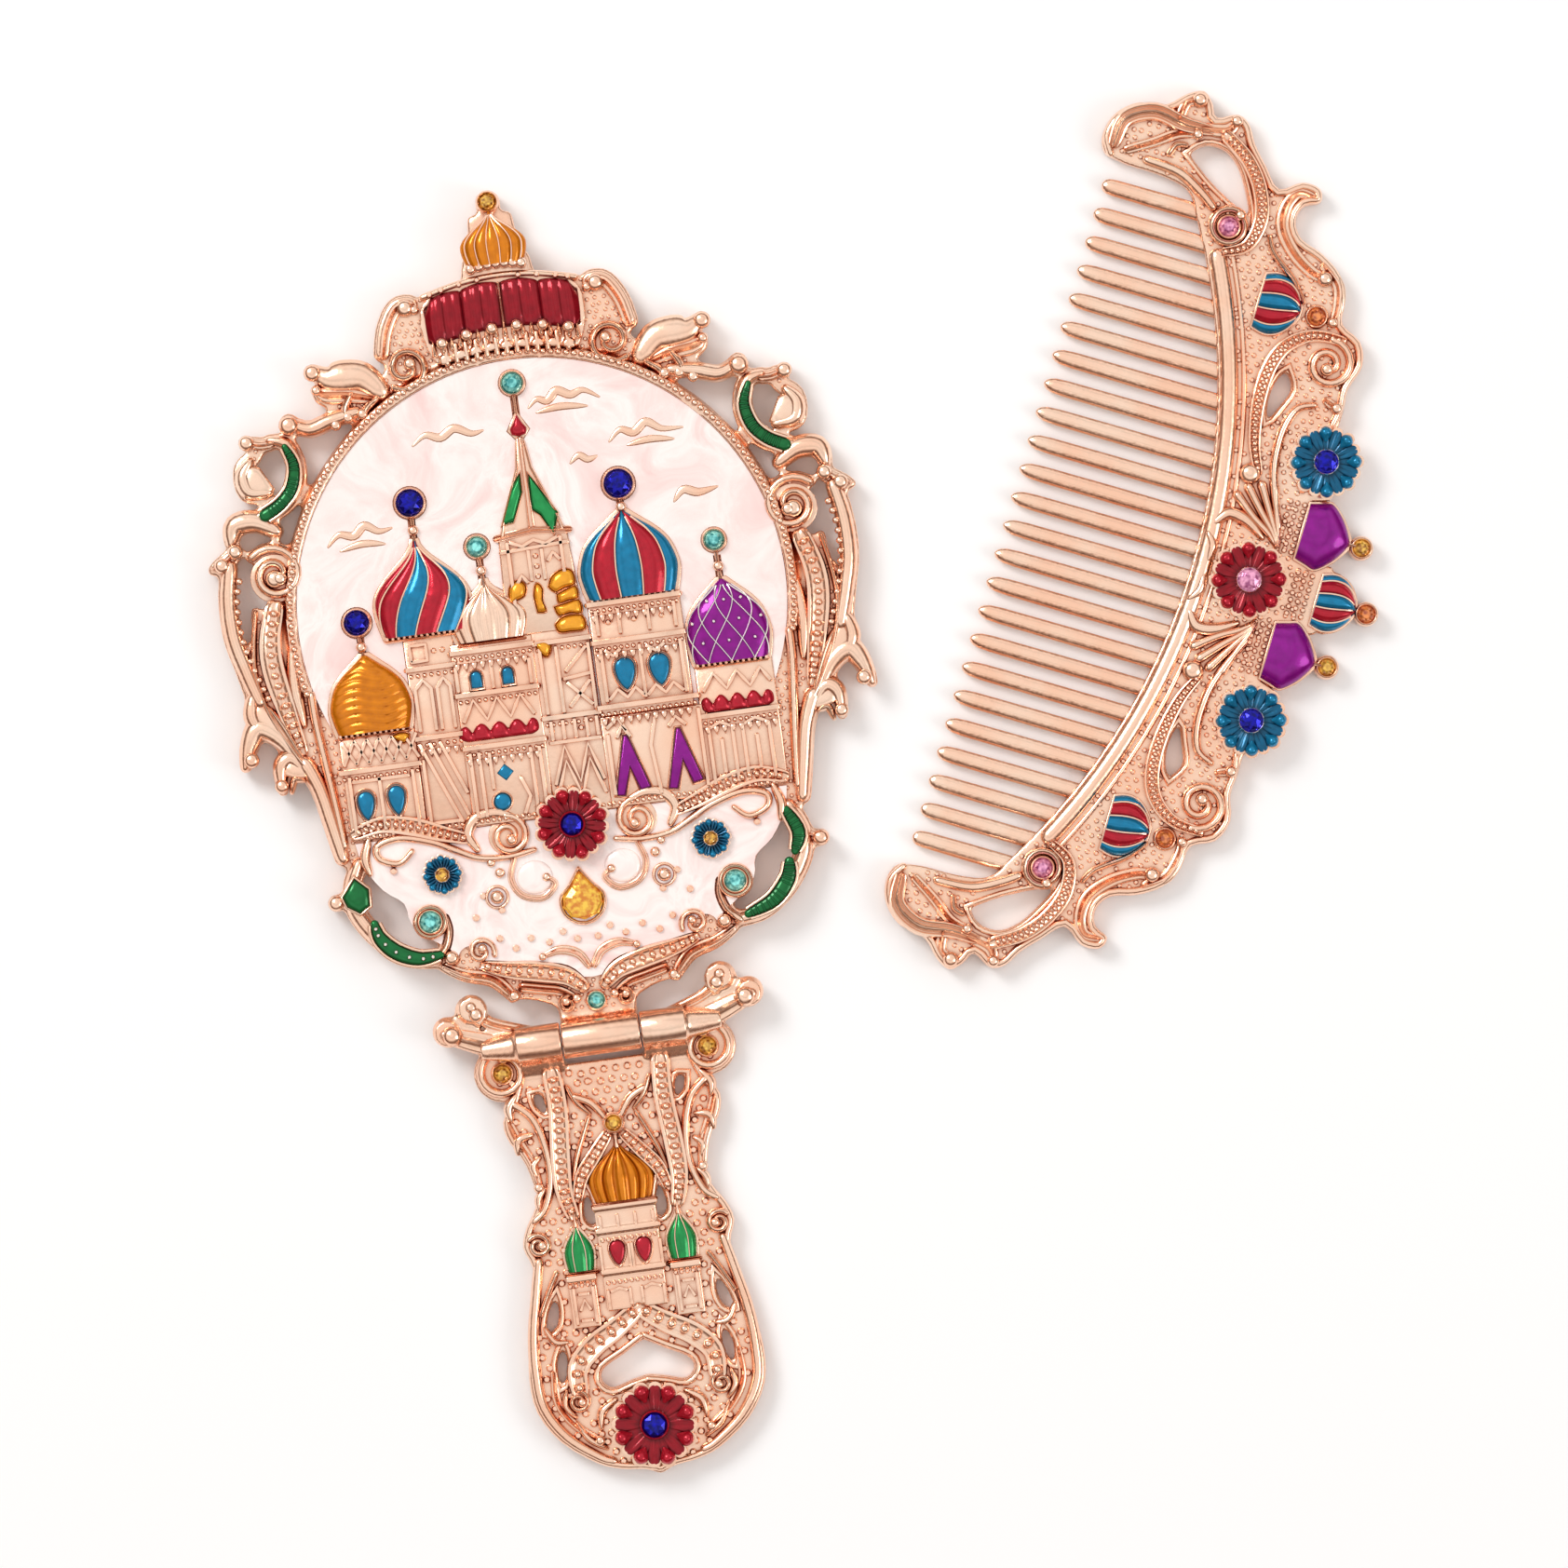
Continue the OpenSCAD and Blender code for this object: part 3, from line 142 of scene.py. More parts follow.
class Finish:
    """One material and its nodes."""

    def __init__(self, name):
        self.material = bpy.data.materials.new(name)
        self.material.use_nodes = True
        self.tree = self.material.node_tree
        self.tree.nodes.clear()
        self.shader = self.tree.nodes.new("ShaderNodeBsdfPrincipled")
        output = self.tree.nodes.new("ShaderNodeOutputMaterial")
        self.tree.links.new(self.shader.outputs[0], output.inputs[0])

    def node(self, kind, settings=None, inputs=None, output=0):
        made = self.tree.nodes.new(kind)
        for key, value in (settings or {}).items():
            if key == "stops":
                fill_ramp(made.color_ramp, value)
            else:
                setattr(made, key, value)
        for key, value in (inputs or {}).items():
            self.feed(made.inputs[key], value)
        return Signal(self, made.outputs[output])

    def feed(self, socket, value):
        if isinstance(value, Signal):
            self.tree.links.new(value.socket, socket)
        elif socket.type == "RGBA":
            socket.default_value = (*value, 1)
        else:
            socket.default_value = value

    def set(self, **values):
        for key, value in values.items():
            self.feed(self.shader.inputs[key.replace("_", " ")], value)

    def place(self):
        return self.node("ShaderNodeTexCoord", output="Object")

    def noise(self, scale, detail=3.0, roughness=0.5, distortion=0.0, vector=None):
        inputs = {"Vector": vector or self.place(), "Scale": scale, "Detail": detail, "Roughness": roughness,
                  "Distortion": distortion}
        return self.node("ShaderNodeTexNoise", None, inputs)

    def ramp(self, factor, stops):
        return self.node("ShaderNodeValToRGB", {"stops": stops}, {0: factor})

    def span(self, value, low, high, to_low=0.0, to_high=1.0):
        inputs = {"Value": value, "From Min": low, "From Max": high, "To Min": to_low, "To Max": to_high}
        return self.node("ShaderNodeMapRange", {"clamp": True}, inputs)

    def blend(self, factor, first, second):
        made = self.tree.nodes.new("ShaderNodeMix")
        made.data_type = "RGBA"
        self.feed(made.inputs[0], factor)
        self.feed(made.inputs[6], first)
        self.feed(made.inputs[7], second)
        return Signal(self, made.outputs[2])

    def bump(self, height, strength, distance_mm):
        return self.node("ShaderNodeBump", None,
                         {"Strength": strength, "Distance": distance_mm * MM, "Height": height})


PER_MM = 1 / MM


def rose_gold(name, worn=0.0, grain=0.0, hollow_shade_colour=(0.42, 0.12, 0.06)):
    """Plated casting: pale on open faces, copper brown in the hollows as painted shade from ambient
    occlusion, softly uneven.
    """
    f = Finish(name)
    # Painted shade: ambient occlusion turns the base colour copper brown in hollows and crevices.
    hollow_shade = f.node("ShaderNodeAmbientOcclusion", {"samples": 6, "only_local": False},
                    {"Distance": 0.7 * MM}, output="AO")
    unshaded = f.span(hollow_shade, 0.15, 0.85)
    cloud = f.noise(0.12 * PER_MM, 3)
    fine = f.noise(2.2 * PER_MM, 4, 0.6)
    gold = f.blend(f.span(cloud, 0.35, 0.65), (1.0, 0.61, 0.43), (1.0, 0.71, 0.54))
    f.set(Base_Color=f.blend(unshaded, hollow_shade_colour, gold), Metallic=1.0,
          Roughness=f.span(fine, 0.3, 0.7, 0.15 + worn, 0.27 + worn))
    height = f.noise(0.55 * PER_MM, 2) * 0.6 + fine * (0.16 + grain)
    f.set(Normal=f.bump(height, 0.55, 0.12))
    return f.material


def enamel(name, deep_and_shaded, bright, metal=0.45):
    """Translucent enamel over bright metal: darker at the edges and in hollows as painted shade from ambient
    occlusion, with random deeper pools, glassy on top.
    """
    f = Finish(name)
    # Painted shade: ambient occlusion pulls the colour towards the deep tone in hollows and beside walls.
    hollow_shade = f.node("ShaderNodeAmbientOcclusion", {"samples": 6}, {"Distance": 0.9 * MM}, output="AO")
    pool = f.noise(0.9 * PER_MM, 2)
    shade_and_pool = f.span(hollow_shade, 0.35, 1.0) * f.span(pool, 0.3, 0.7, 0.72, 1.0)
    f.set(Base_Color=f.blend(shade_and_pool, deep_and_shaded, bright), Metallic=metal, Roughness=f.span(pool, 0.3, 0.7, 0.16, 0.24),
          Specular_IOR_Level=0.15, Coat_Weight=0.4, Coat_Roughness=0.04, Coat_IOR=1.5)
    f.set(Normal=f.bump(f.noise(0.8 * PER_MM, 1), 0.35, 0.1))
    return f.material


def pearl(name):
    """Mother-of-pearl enamel: pale rose with drifting milky swirls."""
    f = Finish(name)
    drift = f.noise(0.035 * PER_MM, 2)
    bent = f.node("ShaderNodeVectorMath", {"operation": "MULTIPLY_ADD"},
                  {0: f.node("ShaderNodeTexNoise", None, {"Vector": f.place(), "Scale": 0.05 * PER_MM}, 1),
                   1: (0.02, 0.02, 0.0), 2: f.place()})
    swirl = f.noise(0.075 * PER_MM, 5, 0.62, 1.4, bent)
    tint = f.ramp(swirl, [(0.30, (0.86, 0.60, 0.57)), (0.44, (0.93, 0.74, 0.70)), (0.55, (1.0, 0.90, 0.86)),
                          (0.70, (0.90, 0.70, 0.66))])
    f.set(Base_Color=f.blend(f.span(drift, 0.4, 0.6, 0.0, 0.35), tint, (0.96, 0.83, 0.79)),
          Roughness=f.span(swirl, 0.3, 0.7, 0.34, 0.18), Coat_Weight=0.8, Coat_Roughness=0.06)
    f.set(Metallic=f.span(swirl, 0.42, 0.66, 0.0, 0.22), Normal=f.bump(swirl, 0.12, 0.25))
    return f.material


def gem(name, deep_and_shaded, bright, clear=0.35, coat=1.0):
    """Cut glass stone; its colour mixes dark and bright tones at random as painted sparkle."""
    f = Finish(name)
    # Painted sparkle: noise mixes dark and bright tones of the stone in its base colour.
    painted_sparkle = f.noise(1.6 * PER_MM, 1)
    f.set(Base_Color=f.blend(f.span(painted_sparkle, 0.35, 0.65), deep_and_shaded, bright), Metallic=clear, Roughness=0.06,
          Coat_Weight=coat, Coat_Roughness=0.02, IOR=1.6, Normal=f.bump(painted_sparkle, 0.15, 0.1))
    return f.material


def plain(name, colour, metallic, rough, speck):
    f = Finish(name)
    grain = f.noise(1.4 * PER_MM, 4)
    darker = tuple(c * speck for c in colour)
    f.set(Base_Color=f.blend(f.span(grain, 0.3, 0.7), darker, colour), Metallic=metallic,
          Roughness=f.span(grain, 0.3, 0.7, rough * 0.8, rough * 1.2), Normal=f.bump(grain, 0.2, 0.05))
    return f.material


# Rose gold castings take a copper brown painted shade in their hollows from ambient occlusion.
GOLD = rose_gold("rose_gold_cast")
GOLD_PLATE = rose_gold("rose_gold_plate", 0.04, 0.1)
TOOTH_GOLD = rose_gold("rose_gold_teeth", 0.0, 0.3)
# Enamels: the first colour is the deep tone, reached in hollows as painted shade and in random pools; the
# second is the open face colour.
RED = enamel("red_enamel", (0.10, 0.002, 0.006), (0.52, 0.010, 0.028))
BLUE = enamel("blue_enamel", (0.0, 0.035, 0.075), (0.005, 0.22, 0.42))
GREEN = enamel("green_enamel", (0.0, 0.06, 0.012), (0.016, 0.32, 0.08))
GREEN_DEEP = enamel("green_enamel_deep", (0.0, 0.03, 0.006), (0.006, 0.17, 0.04))
PURPLE = enamel("purple_enamel", (0.06, 0.0, 0.07), (0.29, 0.004, 0.27))
AMBER = enamel("amber_enamel", (0.28, 0.05, 0.0), (0.76, 0.23, 0.004), 0.5)
HONEY = enamel("honey_enamel", (0.50, 0.14, 0.0), (0.96, 0.42, 0.03), 0.5)
RED_DEEP = enamel("red_enamel_deep", (0.06, 0.0, 0.003), (0.34, 0.004, 0.014))
BLUE_DEEP = enamel("blue_enamel_deep", (0.0, 0.02, 0.05), (0.002, 0.13, 0.26))
PEARL = pearl("pearl_enamel")
# Stones: dark and bright tones are mixed at random as painted sparkle.
SAPPHIRE = gem("sapphire_stone", (0.0, 0.0, 0.16), (0.002, 0.002, 0.46), 0.8, 0.3)
AQUA = gem("aqua_stone", (0.02, 0.30, 0.30), (0.30, 0.92, 0.85))
TOPAZ = gem("topaz_stone", (0.32, 0.10, 0.0), (1.0, 0.60, 0.08), 0.5)
CITRINE = gem("amber_stone", (0.70, 0.22, 0.0), (1.0, 0.62, 0.05), 0.5)
PINK = gem("pink_stone", (0.36, 0.06, 0.20), (0.95, 0.40, 0.62))
ORANGE = gem("orange_stone", (0.34, 0.05, 0.01), (0.90, 0.28, 0.06), 0.4)
SILVER = plain("pale_ring", (0.93, 0.86, 0.82), 1.0, 0.16, 0.85)
STEEL = plain("pin_steel", (0.72, 0.66, 0.62), 1.0, 0.3, 0.8)
SILVERED = plain("silvered_glass", (0.93, 0.95, 0.96), 1.0, 0.02, 0.98)
FOAM = plain("black_foam_tape", (0.03, 0.03, 0.03), 0.0, 0.9, 0.6)


# Meshes
class Shape:
    """Points and faces of one piece, in millimetres. A mark is the face's place in the list of materials."""

    def __init__(self):
        self.points, self.faces, self.marks = np.zeros((0, 3)), [], []

    def add(self, points, faces, mark=0):
        start = len(self.points)
        self.points = np.concatenate([self.points, np.asarray(points, float)])
        self.faces += [tuple(i + start for i in face) for face in faces]
        self.marks += list(mark) if isinstance(mark, (list, tuple)) else [mark] * len(faces)
        return self

    def join(self, other):
        return self.add(other.points, other.faces, other.marks)

    def mirror(self, axis=0):
        flip = np.ones(3)
        flip[axis] = -1
        return self.add(self.points * flip, [face[::-1] for face in self.faces], list(self.marks))

    def moved(self, x=0.0, y=0.0, z=0.0, turn=0.0, size=1.0):
        out = Shape()
        c, s = math.cos(turn) * size, math.sin(turn) * size
        px, py, pz = self.points.T
        points = np.stack([x + c * px - s * py, y + s * px + c * py, z + pz * size], 1)
        return out.add(points, self.faces, list(self.marks))


def skin(shape, rings, mark=0, caps=True):
    """Faces between closed rows of points, with a lid at either end. A list of marks has one a face."""
    rings = np.asarray(rings, float)
    rows, columns = rings.shape[:2]
    faces, marks = [], []
    for i in range(rows - 1):
        for j in range(columns):
            k = (j + 1) % columns
            faces.append((i * columns + j, i * columns + k, (i + 1) * columns + k, (i + 1) * columns + j))
            marks.append(mark[i][j] if isinstance(mark, list) else mark)
    if caps:
        faces += [tuple(range(columns))[::-1], tuple((rows - 1) * columns + j for j in range(columns))]
        marks += [mark[0][0] if isinstance(mark, list) else mark] * 2
    return shape.add(rings.reshape(-1, 3), faces, marks)


def smooth_path(points, steps=5):
    """A smooth line through the points."""
    p = np.asarray(points, float)
    out = []
    for i in range(len(p) - 1):
        a, b, c, d = p[max(i - 1, 0)], p[i], p[i + 1], p[min(i + 2, len(p) - 1)]
        for t in np.arange(steps) / steps:
            out.append((2 * b + (c - a) * t + (2 * a - 5 * b + 4 * c - d) * t ** 2
                        + (3 * b - 3 * c + d - a) * t ** 3) / 2)
    return np.array(out + [p[-1]])


def spiral(centre, start_r, end_r, start_angle, turns):
    n = math.ceil(abs(turns) * 20)
    t = np.linspace(0, 1, n + 1)
    a = np.radians(start_angle) + 2 * math.pi * turns * t
    r = start_r + (end_r - start_r) * t
    return np.stack([centre[0] + r * np.cos(a), centre[1] + r * np.sin(a)], 1)


def directions(line):
    """Unit steps along a line, and the same turned a quarter to the left."""
    along = np.gradient(line, axis=0)
    along /= np.linalg.norm(along, axis=1)[:, None]
    return along, np.stack([-along[:, 1], along[:, 0]], 1)


def width_at(widths, t):
    """The width at t of a band with a width at its start, at its middle and at its end."""
    first, most, last = widths
    swell = np.sin(math.pi * t)
    return np.where(t < 0.5, first + (most - first) * swell, last + (most - last) * swell)


# Cross-sections of bands, half a width to either side and one height high
ROUND = [(math.cos(a), math.sin(a)) for a in np.linspace(math.pi, 0, 9)]
CHANNEL = [(-1, 0), (-0.98, 0.62), (-0.87, 0.95), (-0.7, 1.0), (-0.55, 0.9), (-0.42, 0.74), (0, 0.68),
           (0.42, 0.74), (0.55, 0.9), (0.7, 1.0), (0.87, 0.95), (0.98, 0.62), (1, 0)]
CREST = [(-1, 0), (-0.95, 0.34), (-0.74, 0.5), (-0.42, 0.52), (-0.18, 0.78), (0, 1.0), (0.18, 0.78),
         (0.42, 0.52), (0.74, 0.5), (0.95, 0.34), (1, 0)]
BAR = [(-1, 0), (-0.92, 0.7), (-0.7, 1.0), (0, 1.0), (0.7, 1.0), (0.92, 0.7), (1, 0)]
FLUTE = [(-1, 0), (-0.96, 0.6), (-0.8, 0.9), (-0.62, 0.86), (-0.46, 0.62), (-0.3, 0.66), (-0.14, 0.92),
         (0, 1.0), (0.14, 0.92), (0.3, 0.66), (0.46, 0.62), (0.62, 0.86), (0.8, 0.9), (0.96, 0.6), (1, 0)]


def sweep(shape, line, widths, base, height, profile=ROUND):
    """A raised band along a flat line, rounded off at both ends."""
    line = np.asarray(line, float)
    t = np.linspace(0, 1, len(line))
    along, across = directions(line)
    half = width_at(widths, t) / 2
    rise = (half / half.max()) ** 0.45
    ends = np.radians([88, 60, 32])
    centre = np.concatenate([
        [line[0] - along[0] * half[0] * math.sin(a) for a in ends], line,
        [line[-1] + along[-1] * half[-1] * math.sin(a) for a in ends[::-1]]])
    side = np.concatenate([[across[0]] * 3, across, [across[-1]] * 3])
    half = np.concatenate([half[0] * np.cos(ends), half, half[-1] * np.cos(ends[::-1])])
    rise = np.concatenate([rise[0] * np.cos(ends) ** 0.6, rise, rise[-1] * np.cos(ends[::-1]) ** 0.6])
    u = np.array([p[0] for p in profile])
    v = np.array([p[1] for p in profile])
    xy = centre[:, None, :] + side[:, None, :] * (half[:, None] * u)[:, :, None]
    z = base + height * rise[:, None] * v
    return skin(shape, np.concatenate([xy, z[:, :, None]], 2)[:, ::-1])


def volute(shape, centre, start_r, end_r, start_angle, turns, width, base, height):
    """A spiral scroll that ends in a ball."""
    line = spiral(centre, start_r, end_r, start_angle, turns)
    sweep(shape, line, (width, width, width * 0.8), base, height)
    ball(shape, (line[-1][0], line[-1][1], base + height * 0.62), width * 0.72)


def ball(shape, centre, r, flat=1.0, columns=12, rows=7):
    tilt = np.linspace(-math.pi / 2, math.pi / 2, rows)[1:-1]
    turn = np.linspace(0, 2 * math.pi, columns, endpoint=False)
    ring = np.stack([np.cos(turn), np.sin(turn)], 1)
    rings = [at_height(ring * r * math.cos(a), r * flat * math.sin(a)) for a in tilt]
    return skin(shape, np.array(rings) + np.array(centre))


def tube(shape, line, r, sides=6):
    """A thin wire along points in space."""
    line = np.asarray(line, float)
    along, _ = directions(line)
    side = np.cross(along, (0.0, 0.0, 1.0))
    side /= np.maximum(np.linalg.norm(side, axis=1), 1e-6)[:, None]
    lift = np.cross(side, along)
    turn = np.linspace(0, 2 * math.pi, sides, endpoint=False)
    rings = (line[:, None, :] + r * np.cos(turn)[None, :, None] * side[:, None, :]
             + r * np.sin(turn)[None, :, None] * lift[:, None, :])
    return skin(shape, rings[:, ::-1])


def inset(outline, depth):
    """The outline moved inwards by depth. Outlines run counter-clockwise."""
    p = np.asarray(outline, float)
    before = p - np.roll(p, 1, 0)
    after = np.roll(p, -1, 0) - p
    before /= np.linalg.norm(before, axis=1)[:, None]
    after /= np.linalg.norm(after, axis=1)[:, None]
    inward = np.stack([-(before + after)[:, 1], (before + after)[:, 0]], 1)
    size = np.linalg.norm(inward, axis=1)[:, None]
    inward /= np.maximum(size, 1e-6)
    sharp = np.maximum(np.sum(inward * np.stack([-before[:, 1], before[:, 0]], 1), 1), 0.5)
    return p + inward * (depth / sharp)[:, None]


def wound(outline):
    """The outline, turned round if it runs clockwise."""
    p = np.asarray(outline, float)
    area = np.sum(p[:, 0] * np.roll(p[:, 1], -1) - np.roll(p[:, 0], -1) * p[:, 1])
    return p if area > 0 else p[::-1]


def at_height(outline, z):
    return np.column_stack([outline, np.full(len(outline), z)])


def slab(shape, outline, low, high, bevel=0.15):
    """An upright plate of that outline, with its top edge rounded."""
    p = wound(outline)
    steps = ((0, low), (0, high - bevel), (bevel * 0.3, high - bevel * 0.3), (bevel, high))
    return skin(shape, [at_height(inset(p, depth) if depth else p, z) for depth, z in steps])


def pillow(shape, outline, low, wall, bulge, rows=5):
    """A domed drop of enamel that fills the outline."""
    p = wound(outline)
    heart = p.mean(0)
    edge = low + wall * 0.5
    rings = [at_height(p, low), at_height(p, edge)]
    for a in np.linspace(0.15, math.pi / 2, rows, endpoint=False):
        rings.append(at_height(heart + (p - heart) * math.cos(a) ** 0.8, edge + bulge * math.sin(a)))
    rings.append(at_height(heart + (p - heart) * 0.02, edge + bulge))
    return skin(shape, rings)


def circle(x, y, r, n=24, start=0.0):
    a = np.linspace(0, 2 * math.pi, n, endpoint=False) + start
    return np.stack([x + r * np.cos(a), y + r * np.sin(a)], 1)


def ring_band(shape, centre, r, width, base, height, n=32):
    """A raised band round a circle."""
    a = np.linspace(0, 2 * math.pi, n + 1)
    rows = []
    for u, v in ROUND[::-1]:
        at_r = r - u * width / 2
        rows.append(np.stack([centre[0] + at_r * np.cos(a), centre[1] + at_r * np.sin(a),
                              np.full(n + 1, base + height * v)], 1))
    return skin(shape, np.array(rows).transpose(1, 0, 2), caps=False)


# Points closer than this become one, in a drawn shape and in a copy of the solids
WELD = 0.002 * MM
SOLID_WELD = 0.001 * MM
SHARP_EDGE = math.radians(50)


def add_object(name, data):
    """A new object in the scene."""
    made = bpy.data.objects.new(name, data)
    bpy.context.scene.collection.objects.link(made)
    return made


def make(name, shape, body, materials, replaces=(), smooth=True):
    """Turns a shape into a finished piece of the set."""
    mesh = bpy.data.meshes.new(name)
    mesh.from_pydata(LAYOUTS[body].put(shape.points).tolist(), [], shape.faces)
    for material in materials:
        mesh.materials.append(material)
    mesh.polygons.foreach_set("material_index", shape.marks)
    bm = bmesh.new()
    bm.from_mesh(mesh)
    bmesh.ops.remove_doubles(bm, verts=bm.verts, dist=WELD)
    bmesh.ops.recalc_face_normals(bm, faces=bm.faces)
    bm.to_mesh(mesh)
    bm.free()
    return settle(add_object(name, mesh), body, replaces, smooth)


def settle(piece, body, replaces=(), smooth=True):
    """Shading and body of a finished piece; the solids it replaces are hidden."""
    mesh = piece.data
    mesh.polygons.foreach_set("use_smooth", [smooth] * len(mesh.polygons))
    if smooth:
        mesh.set_sharp_from_angle(angle=SHARP_EDGE)
    if replaces:
        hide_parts(*replaces)
    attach(piece, body)
    # Blender adds a number to a name that a material of the solids has already
    return piece


def plain_mesh(piece):
    """The evaluated mesh takes the place of the piece's modifiers."""
    evaluated = piece.evaluated_get(bpy.context.evaluated_depsgraph_get())
    mesh = bpy.data.meshes.new_from_object(evaluated)
    piece.modifiers.clear()
    piece.data = mesh
    return piece


def casting(name, nodes, body, material, voxel=0.36, rounds=5, keep=0.3):
    """One rounded casting from copies of the solids it stands for."""
    bm = bmesh.new()
    for node in nodes:
        bm.from_mesh(frame["nodes"][node].data)
    bmesh.ops.remove_doubles(bm, verts=bm.verts, dist=SOLID_WELD)
    mesh = bpy.data.meshes.new(name)
    bm.to_mesh(mesh)
    bm.free()
    piece = add_object(name, mesh)
    remesh = piece.modifiers.new("remesh", "REMESH")
    remesh.mode = "VOXEL"
    remesh.voxel_size = voxel * MM
    soft = piece.modifiers.new("soft", "SMOOTH")
    soft.factor, soft.iterations = 0.5, rounds
    thin = piece.modifiers.new("thin", "DECIMATE")
    thin.ratio = keep
    plain_mesh(piece)
    piece.data.materials.clear()
    piece.data.materials.append(material)
    return settle(piece, body, nodes)


# Geometry Nodes trees
class Nodes:
    """A geometry tree with named inputs."""

    def __init__(self, name, **inputs):
        self.tree = bpy.data.node_groups.new(name, "GeometryNodeTree")
        face = self.tree.interface
        face.new_socket("Geometry", in_out="INPUT", socket_type="NodeSocketGeometry")
        for key, kind in inputs.items():
            face.new_socket(key, in_out="INPUT", socket_type=kind)
        face.new_socket("Geometry", in_out="OUTPUT", socket_type="NodeSocketGeometry")
        self.given = self.tree.nodes.new("NodeGroupInput")
        self.result = self.tree.nodes.new("NodeGroupOutput")

    def node(self, kind, settings=None, **inputs):
        made = self.tree.nodes.new(kind)
        for key, value in (settings or {}).items():
            setattr(made, key, value)
        for key, value in inputs.items():
            socket = made.inputs[key.replace("_", " ")]
            if isinstance(value, bpy.types.NodeSocket):
                self.tree.links.new(value, socket)
            else:
                socket.default_value = value
        return made.outputs[0]

    def end(self, geometry, material):
        whole = self.node("GeometryNodeRealizeInstances", Geometry=geometry)
        made = self.node("GeometryNodeSetMaterial", Geometry=whole, Material=material)
        self.tree.links.new(made, self.result.inputs[0])

    def run(self, piece, **values):
        modifier = piece.modifiers.new(self.tree.name, "NODES")
        modifier.node_group = self.tree
        for item in self.tree.interface.items_tree:
            if item.in_out == "INPUT" and item.name in values:
                modifier[item.identifier] = values[item.name]
        return plain_mesh(piece)


def bead_tree():
    g = Nodes("bead_rows", Spacing="NodeSocketFloat", Bead="NodeSocketFloat", Material="NodeSocketMaterial")
    given = g.given.outputs
    line = g.node("GeometryNodeMeshToCurve", Mesh=given["Geometry"])
    spots = g.node("GeometryNodeResampleCurve", {"mode": "LENGTH"}, Curve=line, Length=given["Spacing"])
    bead = g.node("GeometryNodeMeshUVSphere", Segments=8, Rings=5, Radius=given["Bead"])
    rows = g.node("GeometryNodeInstanceOnPoints", Points=spots, Instance=bead)
    whole = g.node("GeometryNodeRealizeInstances", Geometry=rows)
    g.end(g.node("GeometryNodeSetShadeSmooth", Geometry=whole), given["Material"])
    return g


BEADS = bead_tree()


def bead_rows(name, lines, body, r, spacing):
    """Rows of cast beads along lines in space, each line a list of points."""
    points, edges = [], []
    for line in lines:
        start = len(points)
        points += [tuple(p) for p in line]
        edges += [(start + i, start + i + 1) for i in range(len(line) - 1)]
    mesh = bpy.data.meshes.new(name)
    mesh.from_pydata(LAYOUTS[body].put(points).tolist(), edges, [])
    piece = add_object(name, mesh)
    BEADS.run(piece, Spacing=spacing * MM, Bead=r * MM, Material=GOLD)
    return settle(piece, body)


def lifted(line, z):
    return [(p[0], p[1], z) for p in line]


def both_sides(lines, axis=0):
    flip = np.ones(3)
    flip[axis] = -1
    return lines + [[tuple(np.array(p) * flip) for p in line] for line in lines]


